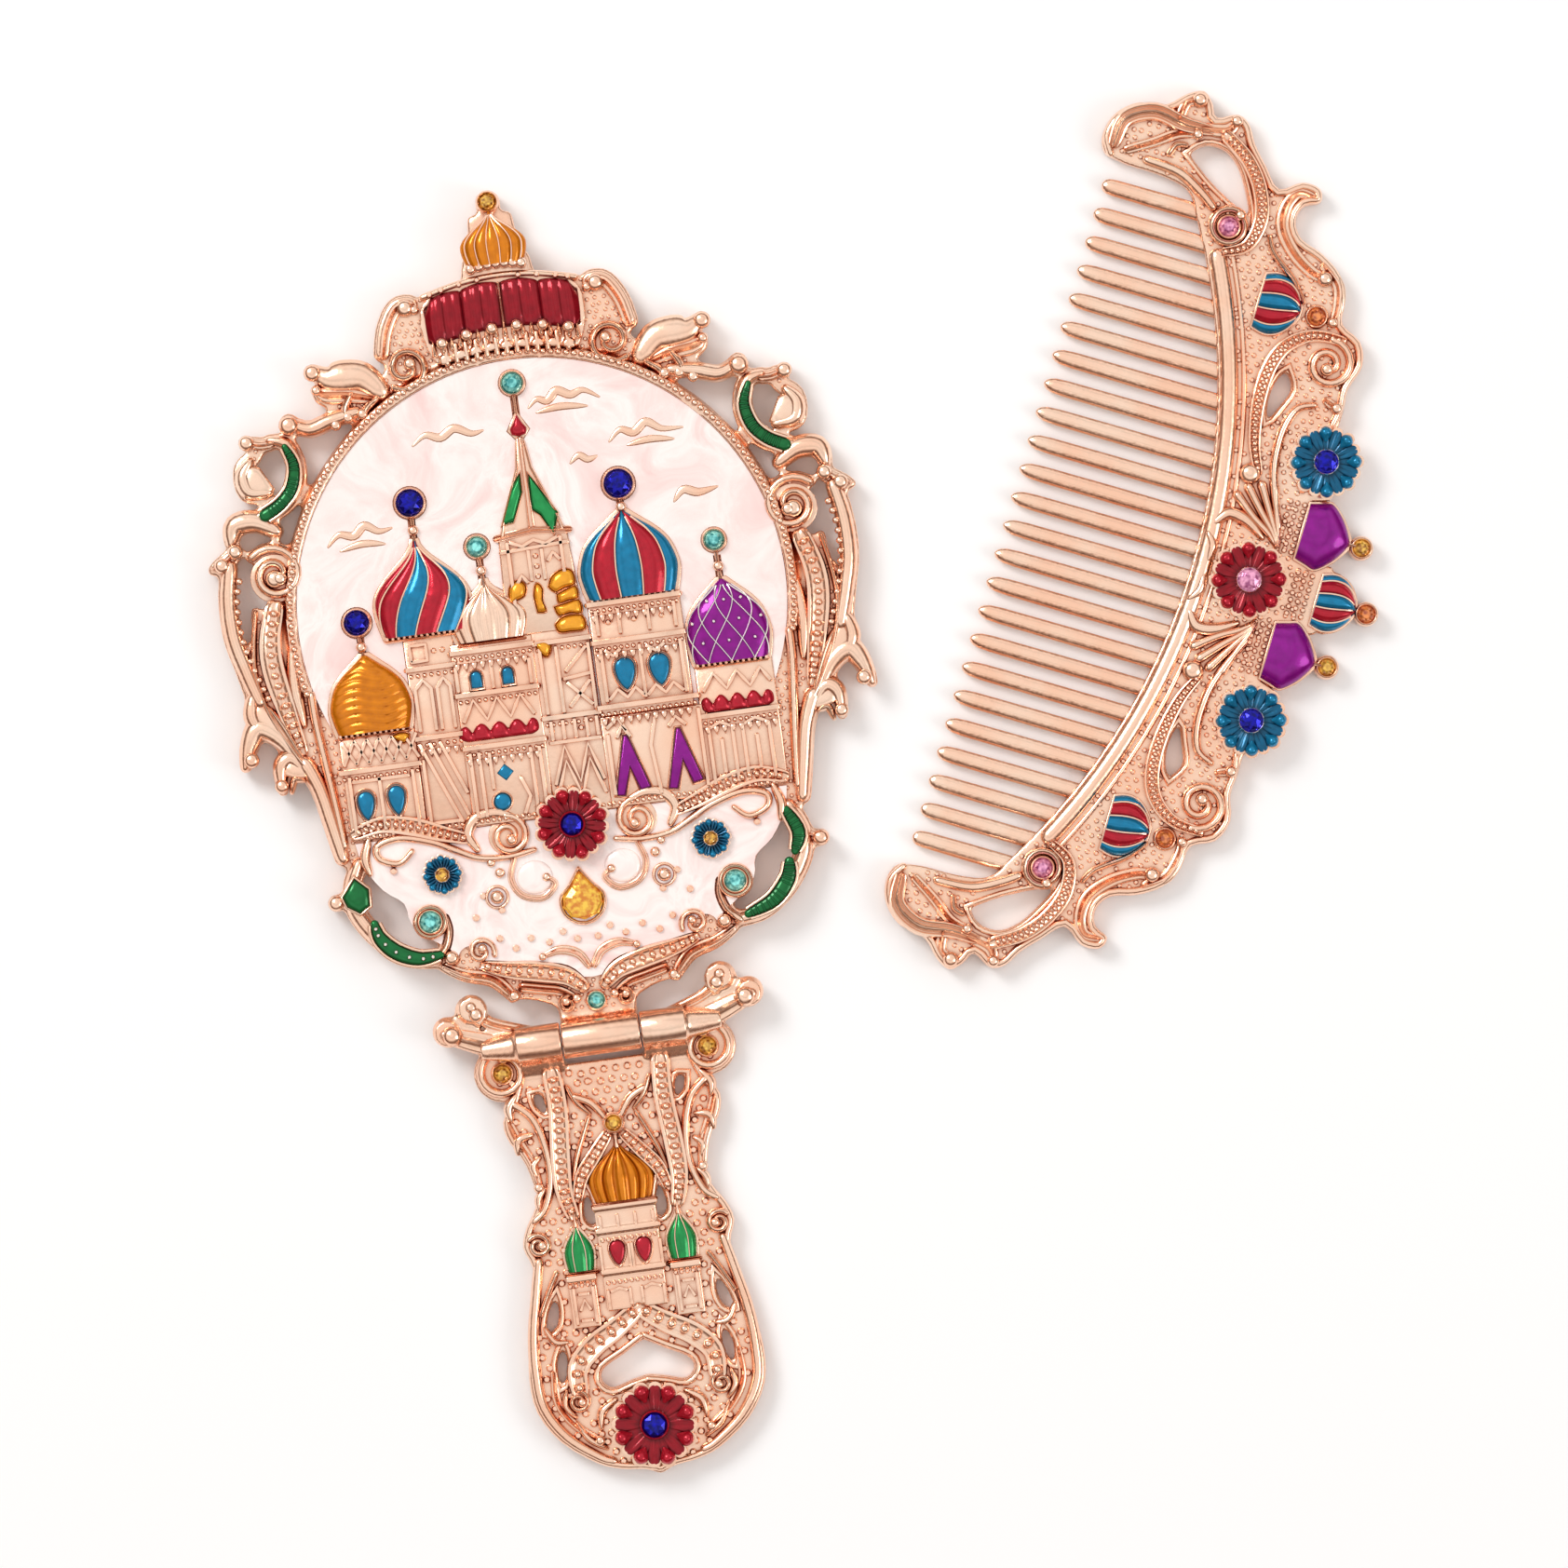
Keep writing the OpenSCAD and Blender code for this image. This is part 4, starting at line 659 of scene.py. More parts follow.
# A scroll is its middle line, its widths at start, middle and end, its cross-section and its beads (0 none,
# 1 small, 2 large). A volute is centre, first and last radius, first angle, turns and width. Half of each
# pattern is drawn, and the other half is its mirror image.
RIM = [
    ([(16.8, 35.4), (16, 38.5), (14.3, 41.2), (12.2, 41.6), (11.8, 40.6)], (2, 2.2, 0.9), CREST, 0),
    ([(18, 30.6), (20, 32.6), (22.4, 33), (24.8, 33.1), (26.6, 34.6)], (3.2, 4.6, 1.1), ROUND, 0),
    ([(19.4, 29.6), (22.4, 30.4), (25.2, 30.8), (26.4, 31.6)], (1.6, 2.4, 1), CREST, 0),
    ([(21.5, 28), (25, 27.4), (28, 26.6), (30.4, 27.7)], (1.8, 2.4, 1.6), ROUND, 0),
    ([(18.4, 29.4), (20, 28.2), (20.6, 26.8)], (1, 1.3, 0.6), ROUND, 0),
    ([(21.8, 30.4), (22.8, 28.8), (23, 27.4)], (1, 1.3, 0.6), ROUND, 0),
    ([(33.6, 25.8), (31.4, 25), (30.5, 22), (31.2, 18.8), (33.4, 16.5), (36.4, 15.8)],
     (1.2, 2.3, 1.6), ROUND, 0),
    ([(33.4, 25.4), (35, 25.4), (36.7, 26)], (1.4, 1.6, 1), CREST, 0),
    ([(34.6, 18.8), (37.2, 19.2), (37.8, 21.4), (36.6, 23.2)], (1.4, 2.4, 1.4), ROUND, 0),
    ([(34.4, 13.6), (37, 15.2), (39.8, 15), (40.6, 12.8)], (2, 3.2, 1.6), ROUND, 0),
    ([(43.4, 9.6), (41.6, 10.4), (40.2, 11.4)], (0.8, 1.8, 1.6), CREST, 0),
    ([(41.2, 9.4), (42, 5), (42, 0), (41, -4.5), (39.7, -9)], (2.2, 2.5, 2.2), ROUND, 0),
    ([(36, 3), (37.1, -1), (37.2, -5), (36.2, -10.5), (34.8, -16.5)], (2.8, 3.4, 1.6), CHANNEL, 2),
    ([(34.4, -2.6), (34.7, -8), (34.1, -13)], (1.2, 2.2, 1), ROUND, 0),
    ([(38.6, 3), (39.5, -2), (39.7, -6), (38.6, -11), (36, -16.5), (34.4, -19)], (0.8, 1, 1.4), ROUND, 0),
    ([(35, -19), (37.4, -14.6), (40.2, -12.6), (41.8, -14.6), (42.8, -17.6)], (1.4, 3.2, 1.2), ROUND, 0),
    ([(40.6, -8.6), (41, -11), (40, -13.4)], (1.8, 2.4, 1.5), ROUND, 0),
    ([(34.6, -19.8), (36.4, -17.2), (38, -18.2), (38.2, -21.4)], (1.2, 2.6, 1.1), ROUND, 0),
    ([(35, -17.4), (37, -12.8), (38.6, -10)], (0.8, 1.3, 0.7), ROUND, 0),
    ([(35.2, -20.4), (36.4, -20.2), (37, -21.8)], (0.8, 1.2, 0.7), ROUND, 0),
    ([(34.6, -18.4), (33.2, -22), (32.2, -27), (31.4, -31.5)], (2.6, 2.4, 2), ROUND, 0),
    ([(32.6, -9.2), (32.5, -13), (31.9, -19), (31.3, -25), (30.9, -30)], (1.5, 1.5, 1.2), ROUND, 0),
    ([(29.4, -32.6), (30.7, -35.6), (30.7, -38.6), (29.2, -41.6), (26.8, -44.4), (23.8, -46.4), (20.6, -47)],
     (1.8, 2.4, 1.6), ROUND, 0),
    ([(31, -36.8), (32.9, -37.4)], (1.2, 1.2, 1.4), CREST, 0),
    ([(20.8, -47), (19.2, -45.4), (18.5, -43.2), (18.7, -41.4)], (1.4, 1.2, 1), ROUND, 0),
    ([(19.6, -48), (17, -49.4), (13.6, -50.4), (11.6, -52.4), (11.2, -53.4)], (1.2, 1.8, 0.9), CREST, 0),
    ([(1.6, -53), (3.6, -51.4), (7, -50.4), (11, -49.6), (14.4, -48.6)], (2, 3, 1.4), CHANNEL, 2),
    ([(9.6, -52.2), (7, -52.8), (4.6, -53.4), (2.6, -54.6)], (1.6, 1.6, 0.9), CREST, 0),
]
RIM_VOLUTES = [((14, 33), 3.1, 0.8, -55, -1.45, 1.2), ((35.3, 7.7), 3.9, 0.9, 45, 1.5, 1.4),
               ((3.9, -55.2), 1.1, 0.4, 100, -1.1, 0.9)]
# Balls and stones are x, y and radius
RIM_BALLS = [(18.6, -46.9, 1.0), (30.7, 27.4, 1.4), (36.7, 25.8, 1.1), (33.1, -37.5, 1.1), (26.6, 34, 1.2),
             (42.2, 9.8, 1.1), (22.6, 27.4, 0.8), (20.6, 27.6, 0.8), (24.4, 26.6, 0.8), (41.8, -16.8, 1.1),
             (38.2, -20.8, 1), (13, 41, 1.2), (10.9, -53.2, 0.8)]
RIM_LEAVES = [[(33.7, 19.2), (34.9, 17.9), (38, 18.3), (38.4, 20.8), (37, 22.8), (35.4, 22.4)],
              [(40.9, -9.4), (39, -9.2), (36.8, -12.8), (35.3, -15.8), (37.2, -15.6), (39.6, -13.8),
               (41, -12.4)],
              [(37.4, -17.4), (34.8, -18), (33.6, -20), (36, -20.4), (38, -19.4)]]
RIM_BAR_DOTS = [(40.2, 7.4), (40.9, 4.6), (40.9, 0), (39.9, -4.3), (38.4, -8.8)]
BASIN = [
    ([(29.2, -28.6), (25.4, -27.8), (21.2, -28.7), (17.8, -30), (14.4, -31.2)],
     (1.8, 2.8, 1.6), CHANNEL, 1),
    ([(22, -31.9), (23.9, -33.3), (26.4, -32.4), (26.5, -30.6), (23.4, -29.9), (19.2, -31), (16, -32.6),
      (13.1, -34), (9.2, -34.4), (5.6, -33.9)], (0.9, 1.2, 0.9), ROUND, 0),
    ([(13.2, -32.8), (14.2, -30.6), (12.8, -28.6), (10.1, -28.2), (7.6, -29.2)], (1.1, 1.9, 1.2), ROUND, 0),
    ([(8.3, -34.5), (9.2, -37.4), (8, -39.8), (5.2, -40.5), (3.4, -38.9), (4.4, -37.8)],
     (0.8, 1, 0.8), CREST, 0),
    ([(27.6, -29.6), (28.4, -32), (28, -34.2)], (0.9, 1.5, 0.8), ROUND, 0),
    ([(0.4, -50.4), (1.6, -48.6), (4, -47.8), (6.4, -48.4)], (1, 1.4, 0.7), CREST, 0),
]
BASIN_VOLUTES = [((8.8, -31.6), 2.8, 0.7, 90, 1.4, 1.1)]
GRIP_SCROLLS = [
    ([(7.4, -64.6), (7.2, -69), (7.7, -75), (7.9, -80), (7.2, -83.6)], (2.8, 3, 2), CHANNEL, 1),
    ([(13, -67.8), (10.8, -70), (9.6, -74), (9.5, -78.6), (10.8, -82.4), (12.4, -83.8)],
     (1.4, 1.3, 1.2), ROUND, 0),
    ([(14, -70.4), (13, -73.2), (11.8, -76), (11.2, -79.4)], (1.4, 1.6, 1), CREST, 0),
    ([(4.8, -67.8), (2.6, -69), (0.8, -71.6)], (1.2, 1.3, 1), ROUND, 0),
    ([(1.2, -73.6), (3, -75.8), (5.2, -78.6), (6.2, -81.6)], (1.6, 2.2, 1.4), CHANNEL, 1),
    ([(12.6, -89.4), (13.6, -94), (14.6, -99), (15, -104), (14.6, -109), (12, -113.4), (8, -116.6),
      (6.2, -117.4)], (1.4, 1.7, 1.2), ROUND, 0),
    ([(10.4, -91.2), (11.8, -93.6), (13.2, -96.4)], (0.9, 0.9, 0.9), ROUND, 0),
    ([(0.6, -97.6), (3.4, -99.6), (6.8, -101.6), (9.2, -104.2), (9.4, -107.4)],
     (2.6, 3.4, 2.6), CHANNEL, 2),
    ([(12.6, -104.6), (12.6, -108.6), (10.6, -112), (7.6, -114.4)], (1, 1.3, 1), CREST, 0),
    ([(12.6, -66.6), (13.8, -68.2), (13.6, -70)], (0.8, 1.5, 0.7), ROUND, 0),
    ([(11.2, -72.2), (13, -72.6), (13.4, -74.4)], (0.7, 1.5, 0.7), ROUND, 0),
    ([(10.6, -75.4), (11.6, -76.4), (11.2, -78)], (0.7, 1.3, 0.6), ROUND, 0),
    ([(10.4, -79.6), (11.4, -80.8), (11.6, -82.4)], (0.6, 1.2, 0.6), ROUND, 0),
    ([(3.2, -70.8), (4.4, -73.4), (5.6, -76.2), (6.4, -79)], (0.8, 1, 0.6), ROUND, 0),
    ([(5.6, -66.4), (4.6, -68.6), (3, -70.4)], (0.8, 1, 0.6), ROUND, 0),
    ([(13, -98.4), (11.8, -100.4), (10, -100.6)], (0.7, 1.2, 0.6), ROUND, 0),
    ([(4.8, -109.2), (6.8, -110.6), (7.2, -112.8)], (0.8, 1.4, 0.7), ROUND, 0),
    ([(6.8, -115.6), (9, -114), (10.4, -111.6)], (0.6, 1.1, 0.6), ROUND, 0),
    ([(11.2, -107.2), (11.6, -109.2), (10.4, -110.8)], (0.6, 1.1, 0.6), ROUND, 0),
]
GRIP_VOLUTES = [((14, -63.4), 3.2, 2.2, 100, -1, 1.3), ((12.3, -87.2), 1.6, 0.5, 40, 1.4, 1),
                ((9.8, -108.8), 1.5, 0.5, 90, 1.3, 0.9)]
WINGS = [([(9, -58.2), (12, -57.4), (14.6, -56.4), (16.4, -55)], (0.9, 1.4, 1.6), CREST, 0),
         ([(11, -60.4), (14, -59.6), (17, -58.6), (20, -57.4)], (2.6, 3, 2.2), CREST, 0)]
WING_VOLUTES = [((17, -54.4), 1.8, 0.5, -120, -1.4, 1.2), ((20.5, -56.8), 1.7, 0.5, -150, 1.3, 1.2)]
SPINE_SCROLLS = [
    ([(-33.6, 52), (-33, 55.4), (-29.4, 57.4), (-25, 56.8), (-21.6, 57)], (2, 2.6, 1.6), FLUTE, 0),
    ([(-31.6, 51.4), (-28.4, 53.4), (-25.6, 55.4), (-23, 56)], (1.4, 1.6, 1), CREST, 0),
    ([(-28.6, 50.8), (-24, 50.4), (-20.4, 48.6), (-18.4, 47.2)], (1.4, 1.6, 1.4), ROUND, 0),
    ([(-26, 52.4), (-25.4, 53.8), (-24.2, 54.2)], (0.9, 1, 0.9), ROUND, 0),
    ([(-26, 57.6), (-25.6, 59.8), (-24, 60.6)], (1.6, 1.6, 1.6), CREST, 0),
    ([(-22.6, 57), (-19.4, 57.6), (-18.4, 59.2)], (1.6, 2, 1.2), CREST, 0),
    ([(-19, 56.8), (-15.6, 54.6), (-13, 51.4), (-11.6, 47.4), (-12.4, 43.4), (-15.4, 41.6)], (2, 2.2, 1.2),
     CHANNEL, 1),
    ([(-5.4, 52.2), (-7.6, 52.2), (-8.8, 50), (-8.4, 47), (-6, 44.2), (-3, 42.4), (-1, 42)],
     (1.2, 2, 1.6), CREST, 0),
    ([(-9.8, 45.4), (-8.6, 43.4), (-5.2, 40.8), (-3, 38.2)], (0.8, 1, 0.8), ROUND, 0),
    ([(-1.4, 43.6), (1, 41.6), (1.8, 38.6), (1.6, 36.6)], (1.6, 1.8, 1), CREST, 0),
    ([(3.6, 34.6), (-0.4, 34.2), (-3.6, 31.8), (-5, 28), (-5, 23), (-4, 18), (-2.4, 14.4)], (1.4, 2.2, 1.2),
     CHANNEL, 1),
    ([(2.4, 25.2), (0.2, 24), (-0.8, 20.6), (-0.6, 16), (0.6, 12), (2.4, 8)], (1, 1.4, 1), ROUND, 0),
    ([(3.8, 26.2), (5.4, 25.6)], (1.2, 1.4, 1.2), CREST, 0),
    ([(-4.2, 10.6), (-1.4, 8.4), (1.2, 6.8), (2.8, 5.2)], (1.5, 1.2, 0.5), ROUND, 0),
    ([(-3, 12), (-0.6, 9.4), (1.6, 7.2), (2.9, 5.3)], (1.5, 1.2, 0.5), ROUND, 0),
    ([(-1.4, 12.8), (0.2, 10.2), (1.8, 7.6), (3, 5.4)], (1.5, 1.2, 0.5), ROUND, 0),
    ([(0.4, 12.9), (1.2, 10.6), (2.2, 7.8), (3.1, 5.5)], (1.4, 1.1, 0.5), ROUND, 0),
    ([(-6, 6.4), (-4.6, 8), (-2, 7.6), (0.6, 6)], (1.4, 2, 0.8), ROUND, 0),
    ([(-6.6, 4.6), (-5.6, 3.2), (-5.6, 1.2)], (1, 1.6, 1), ROUND, 0),
]
SPINE_VOLUTES = [((2.6, 31), 3.4, 0.7, 95, -1.5, 1.3), ((-15.5, 45.2), 2.5, 2.2, 60, 1, 1.1)]


def scrollwork(shape, scrolls, volutes, base, height):
    for points, widths, section, _ in scrolls:
        sweep(shape, smooth_path(points), widths, base - 0.1, height + 0.1, section)
        if section is CREST:
            ball(shape, (*points[-1], base + height * 0.5), widths[2] * 0.62 + 0.12)
    for centre, start_r, end_r, start_angle, turns, width in volutes:
        volute(shape, centre, start_r, end_r, start_angle, turns, width, base - 0.1, height + 0.1)


def beaded(scrolls, z, size=1):
    return [lifted(smooth_path(points)[1:-1], z) for points, _, _, beads in scrolls if beads == size]


def rim_scrolls():
    s = Shape()
    scrollwork(s, RIM, RIM_VOLUTES, PLATE, SCROLL - PLATE)
    for x, y, r in RIM_BALLS:
        ball(s, (x, y, PLATE + 0.9), r, 0.8)
    for leaf in RIM_LEAVES:
        pillow(s, leaf, PLATE, 1.1, 0.7)
    slab(s, circle(35.4, 7.2, 3.3, 32), PLATE - 0.1, PLATE + 0.35, 0.1)
    ball(s, (35.4, 7.1, PLATE + 0.7), 1.3, 0.8)
    s.mirror()
    make("rim_scrolls", s, "head", [GOLD], ["rim_scrollwork"])
    rows = both_sides(beaded(RIM, PLATE + 0.95, 2) + [lifted(smooth_path(RIM_BAR_DOTS), PLATE + 0.8)])
    bead_rows("rim_large_beads", rows, "head", 0.52, 1.35)


def basin_scrolls():
    s = Shape()
    scrollwork(s, BASIN, BASIN_VOLUTES, ENAMEL, 0.9)
    ring_band(s, (20.8, -41.7), 2.05, 0.75, ENAMEL - 0.1, 1.0)
    slab(s, circle(8.8, -31.6, 2.7, 28), ENAMEL - 0.1, ENAMEL + 0.15, 0.1)
    s.mirror()
    make("basin_scrolls", s, "head", [GOLD], ["basin_scrollwork"])
    bead_rows("basin_scroll_beads", both_sides(beaded(BASIN, ENAMEL + 0.85)), "head", 0.42, 1.0)


def grip_scrolls():
    s = Shape()
    scrollwork(s, GRIP_SCROLLS, GRIP_VOLUTES, GRIP, GRIP_SCROLL - GRIP)
    wing_low, wing_high = HINGE_Z - 0.4, HINGE_Z + 0.6
    scrollwork(s, WINGS, WING_VOLUTES, wing_low, wing_high - wing_low)
    s.mirror()
    make("grip_scrolls", s, "handle", [GOLD], ["handle_scrollwork"])
    rows = both_sides(beaded(GRIP_SCROLLS, GRIP + 0.8))
    bead_rows("grip_scroll_beads", rows, "handle", 0.52, 1.35)
    rows = both_sides(beaded(GRIP_SCROLLS, GRIP + 0.8, 2))
    bead_rows("grip_arch_beads", rows, "handle", 0.66, 1.75)


def spine_scrolls():
    s = Shape()
    scrollwork(s, SPINE_SCROLLS, SPINE_VOLUTES, SPINE, SPINE_SCROLL - SPINE)
    ball(s, (-3.4, 13.9, SPINE + 0.3), 1.5, 0.75)
    s.mirror(1)
    make("spine_scrolls", s, "comb", [GOLD], ["comb_scrollwork"])
    rows = both_sides(beaded(SPINE_SCROLLS, SPINE + 0.8), 1)
    bead_rows("spine_scroll_beads", rows, "comb", 0.38, 0.82)


def carried_over():
    """Pieces whose solids already have the right shape."""
    for node, material in (("mirror_glass", SILVERED), ("glass_adhesive", FOAM), ("hinge_pin", STEEL),
                           ("sky_enamel", PEARL), ("basin_enamel", PEARL)):
        piece = frame["nodes"][node]
        piece.data.materials.clear()
        piece.data.materials.append(material)


# Onion domes
def onion(t):
    """Half the width of an onion dome, from its foot at 0 to its tip at 1."""
    quarter = math.pi / 2
    foot = 0.86 + 0.14 * np.sin(quarter * t / 0.35)
    body = 0.3 + 0.7 * np.cos(quarter * (t - 0.35) / 0.45)
    tip = 0.3 - 0.26 * np.sin(quarter * (t - 0.8) / 0.2)
    return np.where(t < 0.35, foot, np.where(t < 0.8, body, tip))


def outline_of(points):
    """Half the width of a dome from a few measured spots."""
    dense = smooth_path(points, 8)
    return lambda t: np.interp(t, dense[:, 0], dense[:, 1])


SHIELD = outline_of([(0, 0.84), (0.25, 0.94), (0.46, 1.0), (0.72, 0.7), (0.9, 0.36), (1, 0.1)])
EGG = outline_of([(0, 0.88), (0.2, 0.98), (0.4, 1.0), (0.62, 0.9), (0.8, 0.68), (0.92, 0.42), (1, 0.14)])
FULL = outline_of([(0, 0.88), (0.18, 0.97), (0.36, 1.0), (0.6, 0.86), (0.76, 0.62), (0.88, 0.34), (1, 0.06)])
SPREAD = 0.35


def round_share(a):
    """The share of a dome's gores up to the angle a. The side gores are a little wider than an even share."""
    return (1 - SPREAD) * a / math.pi + SPREAD * (1 - np.cos(a)) / 2


class Dome:
    """An onion dome in relief: middle of its foot, half width and height, then bed height and swelling."""

    def __init__(self, at, z, bulge, gores=5, twist=0.0, fold=0.16, ribs=0, wave=0.0, form=onion):
        self.form = form
        self.x, self.y, self.half, self.height = at
        self.z, self.bulge, self.gores, self.twist, self.fold = z, bulge, gores, twist, fold
        self.ribs, self.wave = ribs, wave

    def cell(self, t, a):
        """Which gore a spot lies on."""
        return self.gores * round_share(a) + self.twist * t

    def turn_of(self, cells, gores):
        """The angle at which that many gores have gone by."""
        a = np.linspace(0, math.pi, 90)
        return np.interp(cells / gores, round_share(a), a)

    def spot(self, t, a, lift=0.0):
        w = self.form(t)
        swell = 1 - self.fold * (1 - np.abs(np.sin(math.pi * self.cell(t, a))) ** 0.7)
        if self.ribs:
            rib = np.abs(np.sin(math.pi * (self.ribs * t + self.wave * np.sin(4 * a)))) ** 0.7
            swell = swell - 0.1 * (1 - rib)
        out = self.bulge * np.sqrt(w) * swell + lift
        x = self.x - (self.half * w + lift) * np.cos(a)
        return np.stack(np.broadcast_arrays(x, self.y + self.height * t, self.z + 0.3 + out * np.sin(a)), -1)

    def body(self, shape, marks=(0,), rows=30, columns=60):
        t = np.linspace(0, 1, rows + 1)
        a = np.linspace(0, math.pi, columns + 1)
        grid = self.spot(t[:, None], a[None, :])
        left, right = grid[:, :1].copy(), grid[:, -1:].copy()
        left[:, :, 2] = right[:, :, 2] = self.z - 0.2
        rings = np.concatenate([left, grid, right], 1)
        middle_a = np.concatenate([[0], (a[1:] + a[:-1]) / 2, [math.pi - 0.01, 0]])
        cells = [[int(max(self.cell(tt, aa), 0)) for aa in middle_a] for tt in (t[1:] + t[:-1]) / 2]
        return skin(shape, rings, [[marks[k % len(marks)] for k in row] for row in cells])

    def wires(self, shape, r, twist=None, gores=None):
        """Wires from the foot to near the tip, between the gores or as a lattice of their own."""
        twist = self.twist if twist is None else twist
        gores = gores or self.gores
        t = np.linspace(0, 0.93, 28)
        for k in range(-gores, 2 * gores + 1):
            a = self.turn_of(k - twist * t, gores)
            keep = (a > 0.02) & (a < math.pi - 0.02)
            if keep.sum() > 3:
                tube(shape, self.spot(t[keep], a[keep], 0.05), r)
        return shape

    def outline(self, grow=0.0, n=16):
        t = np.linspace(0, 1, n + 1)
        w = self.half * self.form(t) + grow
        y = self.y + self.height * t + grow * (2 * t - 1)
        return np.concatenate([np.stack([self.x + w, y], 1), np.stack([self.x - w, y], 1)[::-1]])

    def bed(self, shape, low):
        """The cast rim that a dome's enamel lies in, and the moulding under its foot."""
        slab(shape, self.outline(0.42), low, self.z + 0.3)
        foot = self.half * 0.86
        moulding = [(self.x + foot * k, self.y - 0.35) for k in (-1, 0, 1)]
        sweep(shape, moulding, (0.9, 0.9, 0.9), low, self.z + 0.75 - low)
        return shape

    def picots(self):
        """The places of the beads along the foot."""
        foot = self.half * 0.84
        return [(x, self.y - 0.1, self.z + 0.75) for x in np.arange(self.x - foot, self.x + foot + 0.1, 0.78)]

    def lattice_middles(self, twist, gores):
        """Middles of the panes between two sets of wires."""
        spots = []
        for k in range(4 * gores):
            for m in range(-2 * gores, 2 * gores):
                t = (k - m + 1) / (2 * twist)
                a = self.turn_of((k + m) / 2, gores)
                if 0.02 < t < 0.86 and 0.2 < a < math.pi - 0.2:
                    spots.append(tuple(self.spot(np.array(t), np.array(a), 0.05)))
        return spots


# Pieces scattered by Geometry Nodes
def scatter_tree():
    g = Nodes("scatter", Piece="NodeSocketObject", Material="NodeSocketMaterial")
    source = g.tree.nodes.new("GeometryNodeObjectInfo")
    g.tree.links.new(g.given.outputs["Piece"], source.inputs["Object"])
    turn = g.node("GeometryNodeInputNamedAttribute", {"data_type": "FLOAT_VECTOR"}, Name="turn")
    size = g.node("GeometryNodeInputNamedAttribute", {"data_type": "FLOAT_VECTOR"}, Name="size")
    rotation = g.node("FunctionNodeEulerToRotation", None, Euler=turn)
    made = g.tree.nodes.new("GeometryNodeInstanceOnPoints")
    g.tree.links.new(g.given.outputs["Geometry"], made.inputs["Points"])
    g.tree.links.new(source.outputs["Geometry"], made.inputs["Instance"])
    g.tree.links.new(rotation, made.inputs["Rotation"])
    g.tree.links.new(size, made.inputs["Scale"])
    g.end(made.outputs[0], g.given.outputs["Material"])
    return g


SCATTER = scatter_tree()


def scatter(name, pattern, spots, body, material, replaces=()):
    """Copies of a pattern at spots of x, y, z, turn and size."""
    form = bpy.data.meshes.new(name + "_pattern")
    form.from_pydata((pattern.points * MM).tolist(), [], pattern.faces)
    form.polygons.foreach_set("use_smooth", [True] * len(form.polygons))
    source = add_object(name + "_pattern", form)
    mesh = bpy.data.meshes.new(name)
    mesh.from_pydata(LAYOUTS[body].put([s[:3] for s in spots]).tolist(), [], [])
    sizes = [s[4] if isinstance(s[4], tuple) else (s[4], s[4], s[4]) for s in spots]
    turn = mesh.attributes.new("turn", "FLOAT_VECTOR", "POINT")
    turn.data.foreach_set("vector", np.array([(0, 0, s[3] + LAYOUTS[body].turn) for s in spots]).ravel())
    size = mesh.attributes.new("size", "FLOAT_VECTOR", "POINT")
    size.data.foreach_set("vector", np.array(sizes, float).ravel())
    piece = add_object(name, mesh)
    SCATTER.run(piece, Piece=source, Material=material)
    bpy.data.objects.remove(source)
    return settle(piece, body, replaces)


def beads(name, spots, body, r, material=GOLD):
    bead = ball(Shape(), (0, 0, 0), 1.0, 1.0, 10, 6)
    return scatter(name, bead, [(*spot, 0.0, r) for spot in spots], body, material)


def hoop(shape, outline, width, base, height):
    """A raised band that follows an outline all the way round."""
    p = wound(outline)
    rings = [at_height(inset(p, u * width / 2), base + height * v) for u, v in ROUND]
    return skin(shape, rings, caps=False)


def arch(w, h):
    """The round top of a window."""
    a = np.radians(np.arange(0, 181, 20))
    return np.stack([w / 2 * np.cos(a), h / 2 - w / 2 + w / 2 * np.sin(a)], 1)


def window_outline(at, w, h):
    """A drop standing on its point, with full sides."""
    t = np.array([0.25, 0.5, 0.75, 0.9])
    side = np.stack([w / 2 * (1 - t ** 2) ** 0.75, h / 2 - w / 2 - t * (h - w / 2)], 1)
    return np.concatenate([arch(w, h), side * (-1, 1), [[0, -h / 2]], side[::-1]]) + at


def arched_outline(x, y, w, h):
    return np.concatenate([[[-w / 2, -h / 2], [w / 2, -h / 2]], arch(w, h)]) + (x, y)


def folds(shape, x, bottom, top, low, rise, shut):
    """A gathered strip of enamel, its bottom, top and height given along x. It closes where shut is 0."""
    around = np.linspace(math.pi, 0, 11)[None, :]
    x, bottom, top, rise, shut = [np.asarray(v)[:, None] for v in (x, bottom, top, rise, shut)]
    y = (bottom + top) / 2 - (top - bottom) / 2 * np.cos(around) * (0.3 + 0.7 * shut)
    z = low + rise * np.abs(np.sin(around)) ** 0.5 * shut
    return skin(shape, np.stack([x + 0 * y, y, z], 2))


